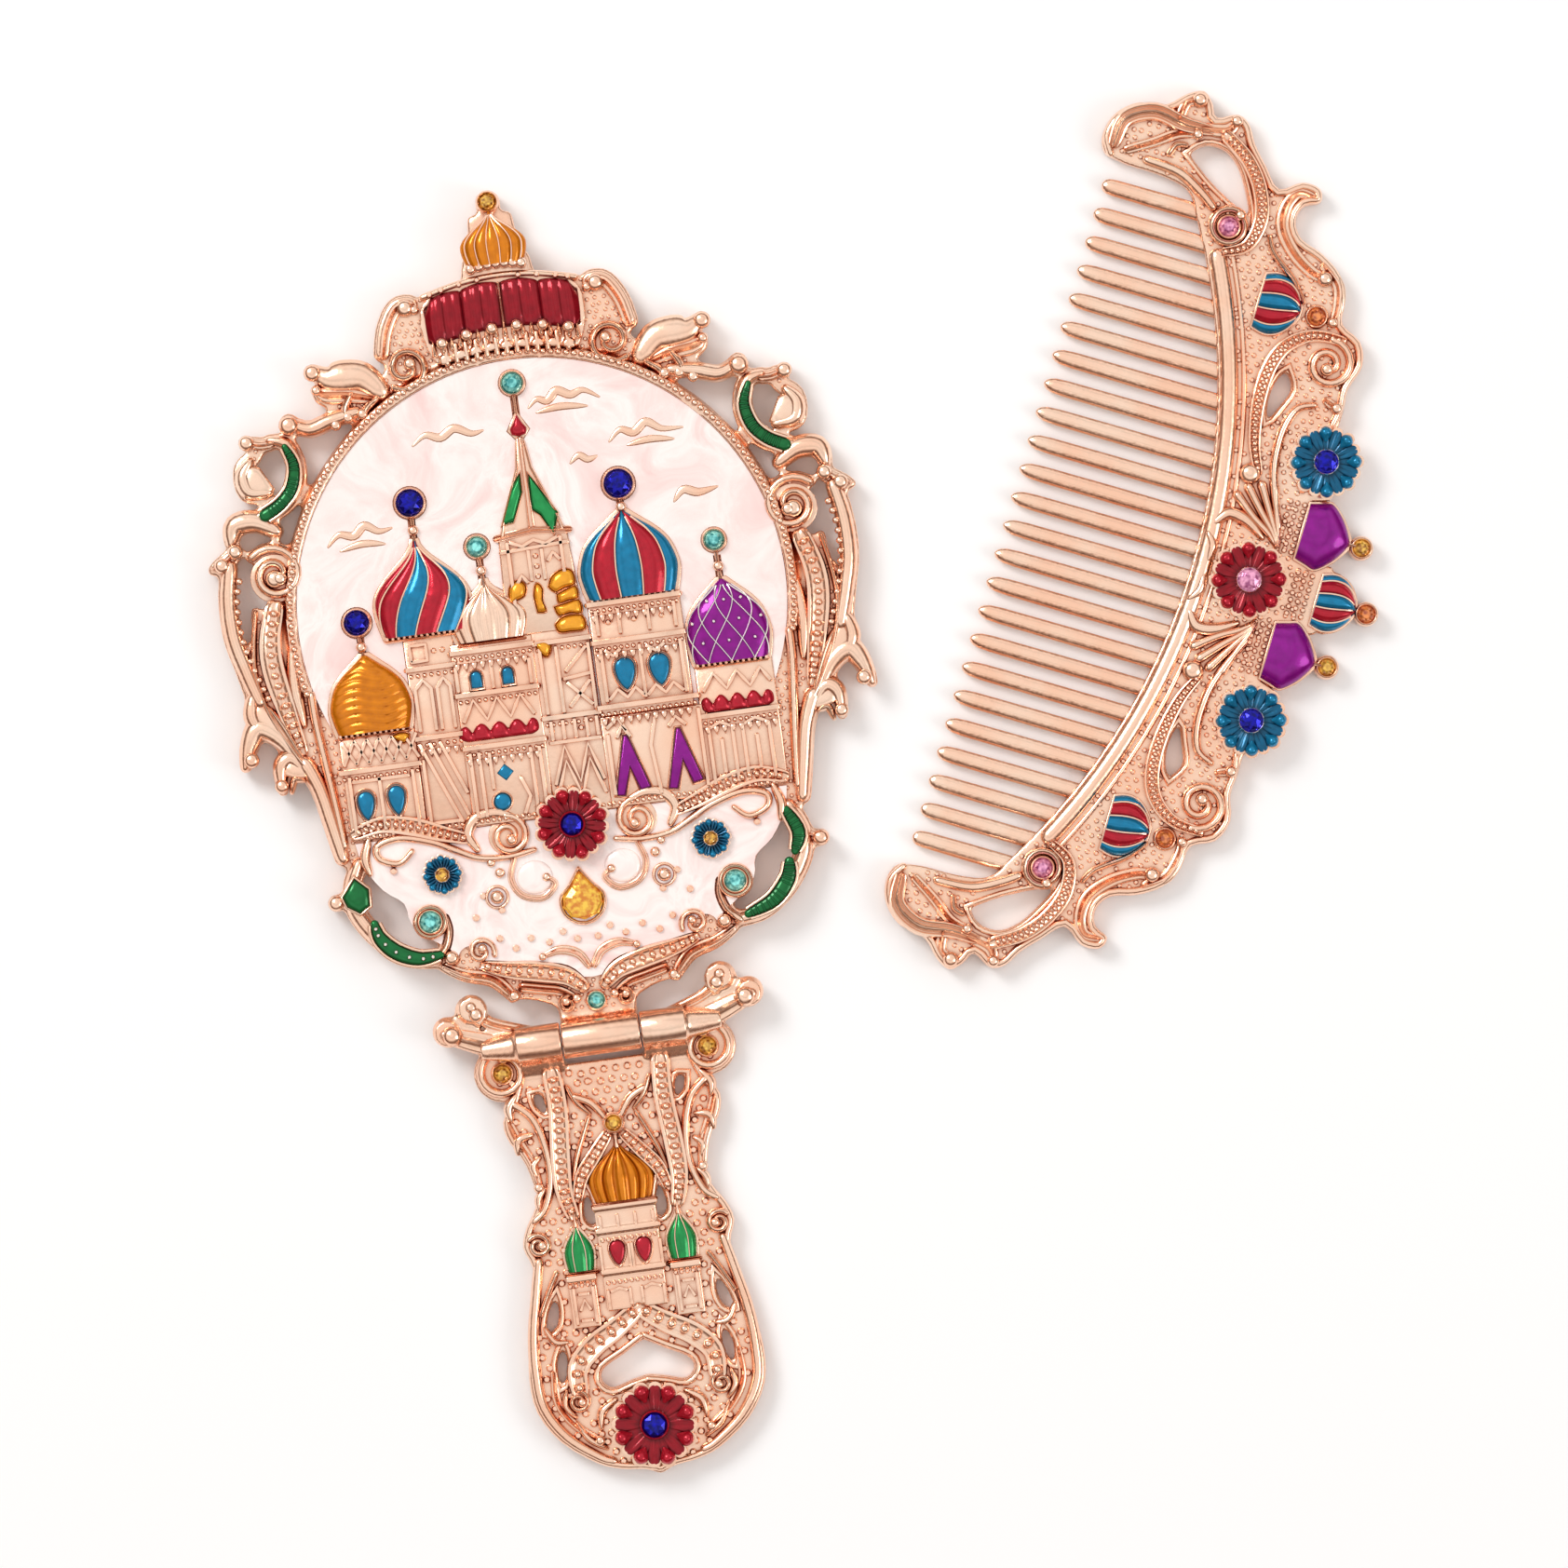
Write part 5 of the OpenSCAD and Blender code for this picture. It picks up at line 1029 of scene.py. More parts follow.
# Stones
def cut_stone(shape, x, y, r, z, height, facets=8, dome=False):
    """A round faceted stone: girdle, main facets and table, or a rose cut that comes to a low point."""
    lows = circle(x, y, r, facets * 2)
    mids = circle(x, y, r * 0.86, facets, math.pi / facets / 2)
    highs = circle(x, y, r * 0.5, facets, math.pi / facets * 1.5)
    top = height if not dome else height * 0.86
    points = ([(*p, z) for p in lows] + [(*p, z + height * 0.35) for p in lows]
              + [(*p, z + height * 0.62) for p in mids] + [(*p, z + top) for p in highs])
    n = facets
    faces = [(i, (i + 1) % (2 * n), 2 * n + (i + 1) % (2 * n), 2 * n + i) for i in range(2 * n)]
    for i in range(n):
        a, b, c = 2 * n + 2 * i, 2 * n + (2 * i + 1) % (2 * n), 2 * n + (2 * i + 2) % (2 * n)
        mid, next_mid = 4 * n + i, 4 * n + (i + 1) % n
        high, last_high = 5 * n + i, 5 * n + (i - 1) % n
        faces += [(a, b, mid), (b, c, next_mid), (b, next_mid, mid)]
        faces += [(mid, next_mid, high), (mid, high, last_high)]
    if dome:
        points.append((x, y, z + height))
        faces += [(5 * n + i, 5 * n + (i + 1) % n, 6 * n) for i in range(n)]
    else:
        faces.append(tuple(5 * n + i for i in range(n)))
    return shape.add(points, faces)


def bezel(shape, x, y, r, base, height, width=0.55):
    return ring_band(shape, (x, y), r + width * 0.3, width, base, height)


def stones(name, spots, body, material, replaces, height, dome=False):
    s = Shape()
    for x, y, r, z in spots:
        cut_stone(s, x, y, r, z, height, dome=dome)
    return make(name, s, body, [material], replaces, smooth=False)


# Flowers
def drop_form():
    """The round drop at a petal's tip, along +X from the middle of a flower whose radius is 1."""
    rows = []
    around = np.radians(np.linspace(0, 180, 7))
    for k in np.linspace(0, 1, 10):
        w = 0.185 * math.sin(math.pi * (0.04 + 0.91 * k ** 1.5)) ** 0.75
        rows.append(np.stack([np.full(7, 0.56 + 0.42 * k), w * np.cos(around), 1.15 * w * np.sin(around)], 1))
    return skin(Shape(), np.array(rows))


class Flower:
    """Eight drops stand at the petals' tips, over a pleated disc with smaller lobes between them."""

    def __init__(self, x, y, r, base, face, drops=8, lean=0.0):
        self.x, self.y, self.r, self.base, self.face, self.drops, self.lean = x, y, r, base, face, drops, lean

    def petal_spots(self):
        turns = [2 * math.pi * k / self.drops + self.lean for k in range(self.drops)]
        return [(self.x, self.y, self.face + 0.2, turn, self.r) for turn in turns]

    def edge(self, n=192):
        """The scalloped outline: a broad lobe at each drop and a narrow one between."""
        a = np.linspace(0, 2 * math.pi, n, endpoint=False)
        share = 2 * math.pi / self.drops
        off = np.abs((a - self.lean + share / 2) % share - share / 2)
        broad = np.sqrt(np.maximum(1 - (off / 0.2) ** 2, 0))
        narrow = np.sqrt(np.maximum(1 - ((share / 2 - off) / 0.17) ** 2, 0))
        r = self.r * (0.83 + np.maximum(0.16 * broad, 0.12 * narrow))
        return np.stack([self.x + r * np.cos(a), self.y + r * np.sin(a)], 1)

    def rings(self, steps, pleat=0.0):
        heart = np.array([self.x, self.y])
        edge = self.edge()
        a = np.linspace(0, 2 * math.pi, len(edge), endpoint=False)
        fold = np.abs(np.cos((a - self.lean) * self.drops * 1.5)) ** 0.7 - 1
        return [np.column_stack([heart + (edge - heart) * k, z + pleat * fold]) for k, z in steps]

    def cup(self, shape):
        """The cast part under the petals, with a scalloped lip."""
        steps = ((0.5, -0.5), (0.98, -0.3), (1.05, -0.05), (1.06, 0.1), (1.0, 0.15), (0.5, -0.2))
        return skin(shape, self.rings([(0.5, self.base)] + [(k, self.face + dz) for k, dz in steps]))

    def dish(self, shape):
        """The pleated enamel, low in the middle and turned up to the edge."""
        lip = self.rings(((0.98, self.face - 0.1), (0.985, self.face + 0.12)))
        folds = self.rings(((0.95, self.face + 0.22), (0.8, self.face + 0.18), (0.6, self.face + 0.06),
                            (0.4, self.face)), 0.14)
        heart = self.rings(((0.3, self.face - 0.1), (0.1, self.face - 0.12)))
        return skin(shape, np.array(lip + folds + heart))


def flowers(name, blooms, body, looks, node, stone_r, stone_name, stone_look, stone_nodes, ring_look=SILVER,
            dome=True):
    """A cast cup, pleated enamel with drops, and a stone in its own ring."""
    drop_look, dish_look = looks
    cup, dish, stone, ring = Shape(), Shape(), Shape(), Shape()
    for f in blooms:
        f.cup(cup)
        f.dish(dish)
        cut_stone(stone, f.x, f.y, stone_r, f.face + 0.2, 1.0, dome=dome)
        bezel(ring, f.x, f.y, stone_r, f.face - 0.1, 0.95, 0.45)
    make(name + "_cups", cup, body, [GOLD])
    make(name + "_rings", ring, body, [ring_look])
    make(name + "_dishes", dish, body, [dish_look], [node])
    spots = [spot for f in blooms for spot in f.petal_spots()]
    scatter(name + "_petals", drop_form(), spots, body, drop_look)
    make(stone_name, stone, body, [stone_look], stone_nodes, smooth=False)


# Castle and sky. A tower is left, right, bottom, top and height; a cornice is left, right, y and height.
TOWERS = [(-29.8, -19.4, -29.6, -15.4, 1.3), (-19.4, -12.6, -29.8, -3.1, 1.1), (-13.2, -2, -29.8, -5, 1.4),
          (-5.4, 5.8, -29.8, -4.8, 1.2), (6, 18.6, -17.4, -1.9, 1.6), (5.6, 20, -29.8, -17.4, 1.4),
          (19.2, 29.8, -29.6, -12.3, 1.3)]
CORNICES = [(-30.2, -19.2, -20.2, 1.3), (-19.4, -12.8, -7.6, 1.1), (-19.4, -12.8, -17, 1.1),
            (-13.2, -2, -6.2, 1.4), (-13.2, -2, -12, 1.4), (-13.2, -2, -19.2, 1.4), (-2, 5.8, -6.4, 1.2),
            (-2, 5.8, -16.6, 1.2), (6, 18.6, -2.2, 1.6), (6, 18.6, -7.4, 1.6), (5.6, 19.2, -16.2, 1.6),
            (19.2, 29.8, -19.2, 1.3)]
# The cornices at these heights have dentils
DENTILLED = (-2.2, -7.4, -16.2, -6.2, -17, -19.2)
STEEPLE = [(-5.2, -5), (-4.7, 8.2), (-4, 9.8), (-1, 17.4), (-0.5, 21.6), (0.5, 21.6), (1, 17.4), (4, 9.8),
           (4.7, 8.2), (5.4, -5)]
# Raised lines on the towers. Each set stands on walls of the height before it.
WALL_LINES = [
    (1.3, [[(-1.4, -25.6), (0.4, -20.6), (2, -25.6), (3.6, -20.6), (5.2, -25.6)],
           [(-1.4, -27.4), (0.4, -22.6), (2, -27.4), (3.6, -22.6), (5.2, -27.4)],
           [(-1.4, -20), (5.4, -20)], [(-1, -19.6), (-1, -17.2)], [(0.6, -19.6), (0.6, -17.2)],
           [(2.2, -19.6), (2.2, -17.2)], [(3.8, -19.6), (3.8, -17.2)], [(5.2, -19.6), (5.2, -17.2)],
           [(-1.2, -16), (-1.2, -7.2)], [(1, -16), (1, -7.2)], [(1.6, -11.6), (5.2, -11.2)],
           [(2, -15.4), (5, -12.2)], [(2, -12.2), (5, -15.4)], [(2, -10.6), (5, -7.6)],
           [(5.4, -16), (5.4, -7.2)], [(-3.6, -4.6), (-3.6, 7.6)], [(3.6, 2.6), (3.6, 7.6)],
           [(-4.6, 6.4), (4.6, 6.8)], [(-0.9, 2.2), (-0.9, 6.2)],
           [(0.9, 2.2), (0.9, 6.2)], [(-3.2, 7.6), (-1.6, 6.9), (0, 7.6), (1.6, 6.9), (3.2, 7.6)],
           [(-2.9, 2), (-2.2, 3), (-1.5, 2)], [(1.6, 4.6), (2.4, 5.6), (3.2, 4.6)]]),
    (1.1, [[(-19, -17.8), (-14.6, -28.8)], [(-17.6, -17.8), (-13.6, -28)], [(-16.2, -17.8), (-13.4, -25)],
           [(-18.8, -20), (-18.8, -28.6)], [(-18.8, -28.6), (-15, -28.6)],
           [(-18.6, -16), (-18.6, -10.4), (-17.4, -9.2), (-16.4, -10.4), (-16.4, -16)],
           [(-15.6, -16), (-15.6, -10.4), (-14.6, -9.2), (-13.8, -10.4), (-13.8, -16)],
           [(-18.6, -6.6), (-16.4, -6.6), (-16.4, -4.4), (-18.6, -4.4), (-18.6, -6.6)]]),
    (1.4, [[(-12.4, -20), (-12.4, -28.6)], [(-11.2, -20), (-11.2, -28.6)], [(-9.8, -20.2), (-9.8, -25)],
           [(-4.2, -20.2), (-4.2, -28.6)], [(-3, -20.2), (-3, -28.6)], [(-6, -24), (-5, -26.6), (-6, -28.8)],
           [(-12.6, -15.6), (-11, -12.8), (-9.4, -15.6), (-7.8, -12.8), (-6.2, -15.6), (-4.6, -12.8),
            (-3, -15.6)],
           [(-12.8, -8.2), (-12.8, -11.4)], [(-8, -8.2), (-8, -11.4)], [(-2.8, -8.2), (-2.8, -11.4)],
           [(7.6, -20.4), (8.4, -19), (9.4, -20.4)], [(14.8, -19.8), (15.8, -18.6), (17, -19.8)],
           [(6.4, -19), (8, -17.8), (9, -19.6)], [(12.6, -28.6), (12, -22), (13, -18.4)],
           [(19, -28.4), (19, -18)], [(6.4, -28), (6.4, -20)]]),
    (1.6, [[(7, -15.4), (7, -8.4)], [(12.25, -15.4), (12.25, -8.4)], [(17.8, -15.4), (17.8, -8.4)],
           [(7, -6.4), (7, -3.2)], [(10, -6.4), (10, -3.2)], [(14, -6.4), (14, -3.2)],
           [(17.6, -6.4), (17.6, -3.2)],
           [(7.6, -8.6), (8.6, -9.4), (9.6, -8.6)], [(13.2, -8.6), (14.4, -9.4), (15.6, -8.6)],
           [(7.4, -15.2), (8.6, -14), (9.8, -15.2), (11, -14), (12.1, -15.2)],
           [(12.6, -15.2), (13.8, -14), (15, -15.2), (16.2, -14), (17.4, -15.2)]]),
    (1.3, [[(20, -28.4), (20, -21), (21.6, -20.2), (23.2, -21), (23.2, -28.4)],
           [(24.6, -28.4), (24.6, -21), (26.4, -20.2), (28.2, -21), (28.2, -28.4)],
           [(20, -15.8), (21.6, -13.6), (23.2, -15.8), (24.8, -13.6), (26.4, -15.8), (28, -13.6),
            (29.2, -15.4)],
           [(21.6, -27), (21.6, -22.6)], [(26.4, -27), (26.4, -22.6)],
           [(-25, -28.4), (-25, -21.4)], [(-29, -28.8), (-29, -21)], [(-20.4, -28.6), (-20.4, -21)],
           [(-28.6, -21.6), (-21, -21.6)]])]
# Pieces of amber enamel between the mullions of the middle tower
AMBER_PANES = [
    [(-4.3, -0.7), (-4.1, 1.5), (-2.9, 2.4), (-1.9, 1.6), (-2.2, 0.3), (-3.3, -0.2)],
    [(-0.7, -2.2), (-0.9, 0.1), (-0.4, 1.7), (0.3, 0.9), (0.1, -0.7), (0.4, -2.2)],
    [(1.2, 1), (1.9, 2.4), (3.4, 3.1), (4.6, 2.7), (4.7, 1), (3.2, 0.6), (2, 0.2)],
    [(2.2, -0.2), (3.4, 0.3), (4.8, 0.6), (4.9, -0.9), (3.6, -1.1), (2.3, -1.3)],
    [(1.6, -1.8), (3.2, -1.5), (5, -1.3), (5.1, -3), (3.6, -2.8), (2.1, -3)],
    [(1.4, -4.2), (2.6, -3.3), (5.1, -3.4), (5.3, -5.2), (3.4, -5.3), (1.8, -5.2)],
    [(-1.7, -6.3), (-0.4, -6.2), (0.4, -6.9), (-0.2, -8.3), (-1.2, -7.6)],
    [(-22.6, -16.2), (-21.4, -15.8), (-20.2, -16.2), (-21, -17.2)]]
ROOF_PANES = [[(0.5, 16.6), (2.4, 13.2), (3.75, 10.8), (2.9, 8), (1.45, 10.8), (0.34, 11.8)],
              [(-0.6, 16.8), (-0.7, 14.2), (-1.7, 11.8), (-2.4, 10.3), (-3.9, 10.1), (-1.9, 15.1)]]
SPIRE_DROP = [(0, 24.9), (-0.6, 23.6), (-1.15, 22.8), (-1, 22), (0, 21.7), (1, 22), (1.15, 22.8), (0.6, 23.6)]
# A cloud's middle line and width
CLOUDS = [
    ([(1.8, 25.4), (3, 26.4), (4.4, 26), (5.8, 27.2), (7.6, 26.4), (9.4, 26.8), (11.4, 25.6)], 0.6),
    ([(2.8, 24.6), (6, 25), (9.6, 24.6)], 0.5),
    ([(-14.4, 22.4), (-12.6, 23.6), (-10.6, 23), (-8.6, 24), (-6.4, 23), (-4.8, 23.2)], 0.6),
    ([(12, 19.4), (13.6, 20.8), (15.4, 20.2), (17.2, 21.4), (19.2, 20.2), (22, 20)], 0.6),
    ([(14.4, 18.6), (17.4, 19), (20.6, 18.6)], 0.5),
    ([(6.4, 17.2), (7.6, 18.1), (8.8, 17.4), (10, 17.7)], 0.5),
    ([(19.6, 10.2), (21, 11.6), (23, 11), (25.6, 11.4)], 0.6),
    ([(-27.6, 10.4), (-26, 11.8), (-24, 11.4), (-22.4, 12.6), (-20.6, 11.6), (-18.8, 11.8)], 0.6),
    ([(-26, 9.6), (-23, 10.2), (-20, 9.8)], 0.5)]
AMBER_DOME = Dome((-24.8, -15.2, 5.5, 10.4), WALL, 1.9, 1, 0.0, 0.0, 9, 0.3, FULL)
LEFT_DOME = Dome((-16, -3, 6.4, 12.6), WALL, 1.9, 5, -1.7, 0.24)
RIGHT_DOME = Dome((12.3, -1.7, 6.6, 11.5), WALL, 2.0, 5, 0.0, 0.24, form=FULL)
PURPLE_DOME = Dome((24.4, -12.2, 5.6, 11.1), WALL, 1.8, 5, 0.0, 0.0, form=FULL)
CUPOLA = Dome((-7.4, -5, 5.2, 8), PLATE + 0.9, 1.3, 7, 0.0, 0.3)
SAPPHIRES = [(12.4, 13.6, 1.85), (-15.9, 14.8, 1.75), (-25.2, -0.3, 1.6)]
AQUAS = [(0, 29, 1.4), (-7.7, 7.7, 1.3), (24.2, 4.3, 1.3)]


def striped_dome(dome, name, node, materials, wire=0.16, rows=30):
    s = Shape()
    dome.body(s, tuple(range(len(materials))), rows)
    make(name, s, "head", materials, [node])
    w = Shape()
    dome.bed(w, PLATE)
    dome.wires(w, wire)
    make(name + "_wires", w, "head", [GOLD])
    beads(name + "_beads", dome.picots(), "head", 0.3)


def domes():
    striped_dome(RIGHT_DOME, "right_dome", "striped_dome_right", [BLUE, RED])
    striped_dome(LEFT_DOME, "left_dome", "striped_dome_left", [RED, BLUE])
    striped_dome(AMBER_DOME, "amber_onion", "amber_dome", [AMBER], 0.02, 90)
    s, w = Shape(), Shape()
    PURPLE_DOME.body(s)
    make("purple_onion", s, "head", [PURPLE], ["purple_dome"])
    PURPLE_DOME.bed(w, PLATE)
    make("purple_onion_rim", w, "head", [GOLD])
    w = Shape()
    PURPLE_DOME.wires(w, 0.1, 2, 4)
    PURPLE_DOME.wires(w, 0.1, -2, 4)
    make("purple_onion_lattice", w, "head", [SILVER])
    beads("purple_onion_dots", PURPLE_DOME.lattice_middles(2, 4), "head", 0.27, SILVER)
    beads("purple_onion_beads", PURPLE_DOME.picots(), "head", 0.3)


def stems():
    """Spikes from the domes' tips to their stones, and the stones' bezels."""
    s = Shape()
    for dome, stone in ((AMBER_DOME, SAPPHIRES[2]), (LEFT_DOME, SAPPHIRES[1]), (RIGHT_DOME, SAPPHIRES[0]),
                        (PURPLE_DOME, AQUAS[2]), (CUPOLA, AQUAS[1])):
        tip = (dome.x, dome.y + dome.height - 1.0)
        end = (stone[0], stone[1] - stone[2])
        sweep(s, [tip, ((tip[0] + end[0]) / 2, (tip[1] + end[1]) / 2), end], (1.3, 0.7, 0.9), PLATE, 1.7)
        knob = np.array(tip) * 0.45 + np.array(end) * 0.55
        ball(s, (*knob, PLATE + 1.3), 0.75, 0.9)
    for x, y, r in SAPPHIRES + AQUAS:
        slab(s, circle(x, y, r + 0.5, 36), PLATE, WALL + 0.1, 0.2)
        bezel(s, x, y, r, WALL, 0.8, 0.45)
    make("stone_bezels", s, "head", [GOLD])
    blue = [(*stone, WALL + 0.1) for stone in SAPPHIRES]
    stones("sapphires", blue, "head", SAPPHIRE, ["sapphire_stones"], 1.35, True)
    aqua = [(*stone, WALL + 0.05) for stone in AQUAS]
    aqua += [(20.8, -41.7, 1.4, ENAMEL), (-20.8, -41.7, 1.4, ENAMEL), (0, -55.2, 1.05, PLATE)]
    stones("aquas", aqua, "head", AQUA, ["aqua_stones"], 1.1)


def castle():
    s = Shape()
    for left, right, bottom, top, height in TOWERS:
        slab(s, [(left, bottom), (right, bottom), (right, top), (left, top)], PLATE, PLATE + height, 0.22)
    slab(s, STEEPLE, PLATE, PLATE + 1.4, 0.25)
    for left, right, y, height in CORNICES:
        line = [(left, y), ((left + right) / 2, y), (right, y)]
        sweep(s, line, (0.85, 0.85, 0.85), PLATE + 0.4, height + 0.2, BAR)
    for height, lines in WALL_LINES:
        for line in lines:
            p = np.array(line)
            halfway = np.stack([p[:-1], (p[:-1] + p[1:]) / 2], 1).reshape(-1, 2)
            sweep(s, [*halfway, p[-1]], (0.6, 0.6, 0.6), PLATE + height - 0.3, 0.82, BAR)
    for lean in (-1, 1):
        for x in np.arange(-28.6, -20, 1.7):
            sweep(s, [(x - 0.85 * lean, -19.3), (x, -17.7), (x + 0.85 * lean, -16.1)], (0.5, 0.5, 0.5),
                  PLATE + 0.9, 0.86, BAR)
    CUPOLA.bed(s, PLATE)
    CUPOLA.body(s)
    # Foot of the spire, the strip down its roof and the beaded mouldings
    slab(s, [(0, 20.6), (1.6, 22.6), (0, 25.4), (-1.6, 22.6)], PLATE, PLATE + 1.1, 0.2)
    sweep(s, [(0, 25), (0, 26.4), (0, 27.8)], (0.7, 0.6, 0.9), PLATE, 1.5)
    sweep(s, [(0, 9.6), (0, 14), (0, 21.4)], (1.0, 0.7, 0.6), PLATE + 1, 0.75, CHANNEL)
    for side in (-1, 1):
        edge = [(side * x, y) for x, y in ((4.1, 8.6), (3.7, 10.2), (2.3, 13.8), (0.95, 17.4), (0.5, 21))]
        sweep(s, edge, (0.7, 0.6, 0.4), PLATE + 0.8, 0.85)
    sweep(s, [(-4.9, 8.4), (0, 8.9), (4.9, 8.4)], (1.1, 1.1, 1.1), PLATE + 0.8, 0.9, FLUTE)
    make("castle", s, "head", [GOLD], ["castle_walls"])
    rows = [lifted([(left + 0.5, y - 0.95), (right - 0.5, y - 0.95)], PLATE + height + 0.02)
            for left, right, y, height in CORNICES]
    rows += [lifted([(left + 0.4, -29.2), (right - 0.4, -29.2)], PLATE + height)
             for left, right, bottom, _, height in TOWERS if bottom < -29]
    bead_rows("castle_beads", rows, "head", 0.34, 0.8)
    dentil = slab(Shape(), [(0, -0.75), (0.52, 0.45), (-0.52, 0.45)], -0.5, 0.66, 0.28)
    teeth = [(x, y - 1.95, PLATE + height, 0, 1.0) for left, right, y, height in CORNICES
             if y in DENTILLED for x in np.arange(left + 0.7, right - 0.5, 1.15)]
    scatter("castle_dentils", dentil, teeth, "head", GOLD)
    dots = [(x, -4.8, PLATE + 1.65) for x in (8.5, 12, 15.8)]
    dots += [(x, -5.4, PLATE + 1.15) for x in (-15.4, -14.2)]
    dots += [(0, y, PLATE + 1.4) for y in (2.6, 4, 5.4)] + [(x, -18.4, PLATE + 1.4) for x in (-1, 3)]
    dots += [(side + 0.9 * k, -27.6, PLATE + 1.35) for side in (-28.2, 20.8, 25.4) for k in range(3)]
    beads("castle_dots", dots, "head", 0.4)


def walls_enamel():
    face = PLATE + 1.25
    blue, gold = Shape(), Shape()
    for at, w, h, z in (((-27.2, -25), 2.4, 4.1, face), ((-23, -24.8), 2.4, 4.2, face),
                        ((9.9, -12), 2.9, 4.6, face + 0.3), ((14.6, -12), 2.9, 4.6, face + 0.3)):
        outline = window_outline(at, w, h)
        pillow(blue, outline, z - 0.2, 0.3, 0.42)
        hoop(gold, inset(wound(outline), -0.18), 0.42, z - 0.2, 0.6)
    for x in (-10.2, -5.9):
        outline = arched_outline(x, -10.1, 1.6, 2.4)
        pillow(blue, outline, face - 0.1, 0.3, 0.4)
        hoop(gold, inset(wound(outline), -0.15), 0.36, face - 0.1, 0.55)
    pillow(blue, [(-8, -24.2), (-6.8, -23), (-8, -21.8), (-9.2, -23)], face - 0.1, 0.3, 0.4)
    pillow(blue, circle(-8.9, -26.9, 1.2, 20), face - 0.1, 0.3, 0.4)
    hoop(gold, circle(-8.9, -26.9, 1.3, 20), 0.4, face - 0.1, 0.5)
    make("window_panes", blue, "head", [BLUE], ["window_enamel"])
    red = Shape()
    for x, y, length in ((-13.6, -18.4, 11.2), (19.3, -18.9, 10.2)):
        along = np.linspace(0, 1, 61)
        lump = np.abs(np.sin(math.pi * (along * 4.6 + 0.2))) ** 0.7
        shut = np.minimum(1, np.minimum(along, 1 - along) * 9) ** 0.5
        folds(red, x + length * along, y + 0 * along, y + 1.1 + 1.3 * lump, PLATE + 1.0,
              0.6 + 0.45 * lump, shut)
    make("awnings", red, "head", [RED], ["awning_enamel"])
    purple = Shape()
    for x in (8.9, 16.1):
        outline = [(x - 2.5, -28.2), (x - 1.2, -28.4), (x - 0.1, -24.6), (x + 0.9, -27.9), (x + 2.4, -27.6),
                   (x + 0.1, -20.2), (x - 0.5, -20.2)]
        slab(purple, inset(wound(outline), 0.06), PLATE + 1.0, PLATE + 1.75, 0.25)
        hoop(gold, inset(wound(outline), -0.12), 0.34, PLATE + 1.1, 0.6)
    make("arch_panes", purple, "head", [PURPLE], ["arch_enamel"])
    amber = Shape()
    for pane in AMBER_PANES:
        outline = wound(smooth_path(pane + pane[:1], 3)[:-1])
        pillow(amber, outline, PLATE + 1.15, 0.35, 0.75)
        hoop(gold, inset(outline, -0.1), 0.26, PLATE + 1.1, 0.6)
    make("amber_panes", amber, "head", [HONEY], ["lattice_enamel"])
    green = Shape()
    for leaf in ROOF_PANES:
        pillow(green, leaf, PLATE + 1.1, 0.4, 0.6)
        hoop(gold, inset(wound(leaf), -0.08), 0.26, PLATE + 1.1, 0.55)
    make("roof_panes", green, "head", [GREEN], ["roof_enamel"])
    drop = Shape()
    pillow(drop, SPIRE_DROP, PLATE + 0.9, 0.4, 0.7)
    make("spire_pane", drop, "head", [RED], ["spire_drop"])
    make("pane_frames", gold, "head", [GOLD])


def sky():
    s = Shape()
    for line, width in CLOUDS:
        sweep(s, smooth_path(line), (0.4, width * 2.3, 0.4), ENAMEL - 0.1, 0.3)
    make("cloud_lines", s, "head", [GOLD], ["cloud_wires"])
    a = np.radians(np.linspace(-13.5, 193.5, 160))
    r = FIELD_R + 0.85
    ring = [(r * math.cos(k), FIELD_Y + r * math.sin(k), SCROLL - 0.28) for k in a]
    bead_rows("field_beads", [ring], "head", 0.5, 1.05)


CROWN_END = 10.6
FOOT_SAG, TOP_SAG = 0.016, 0.014


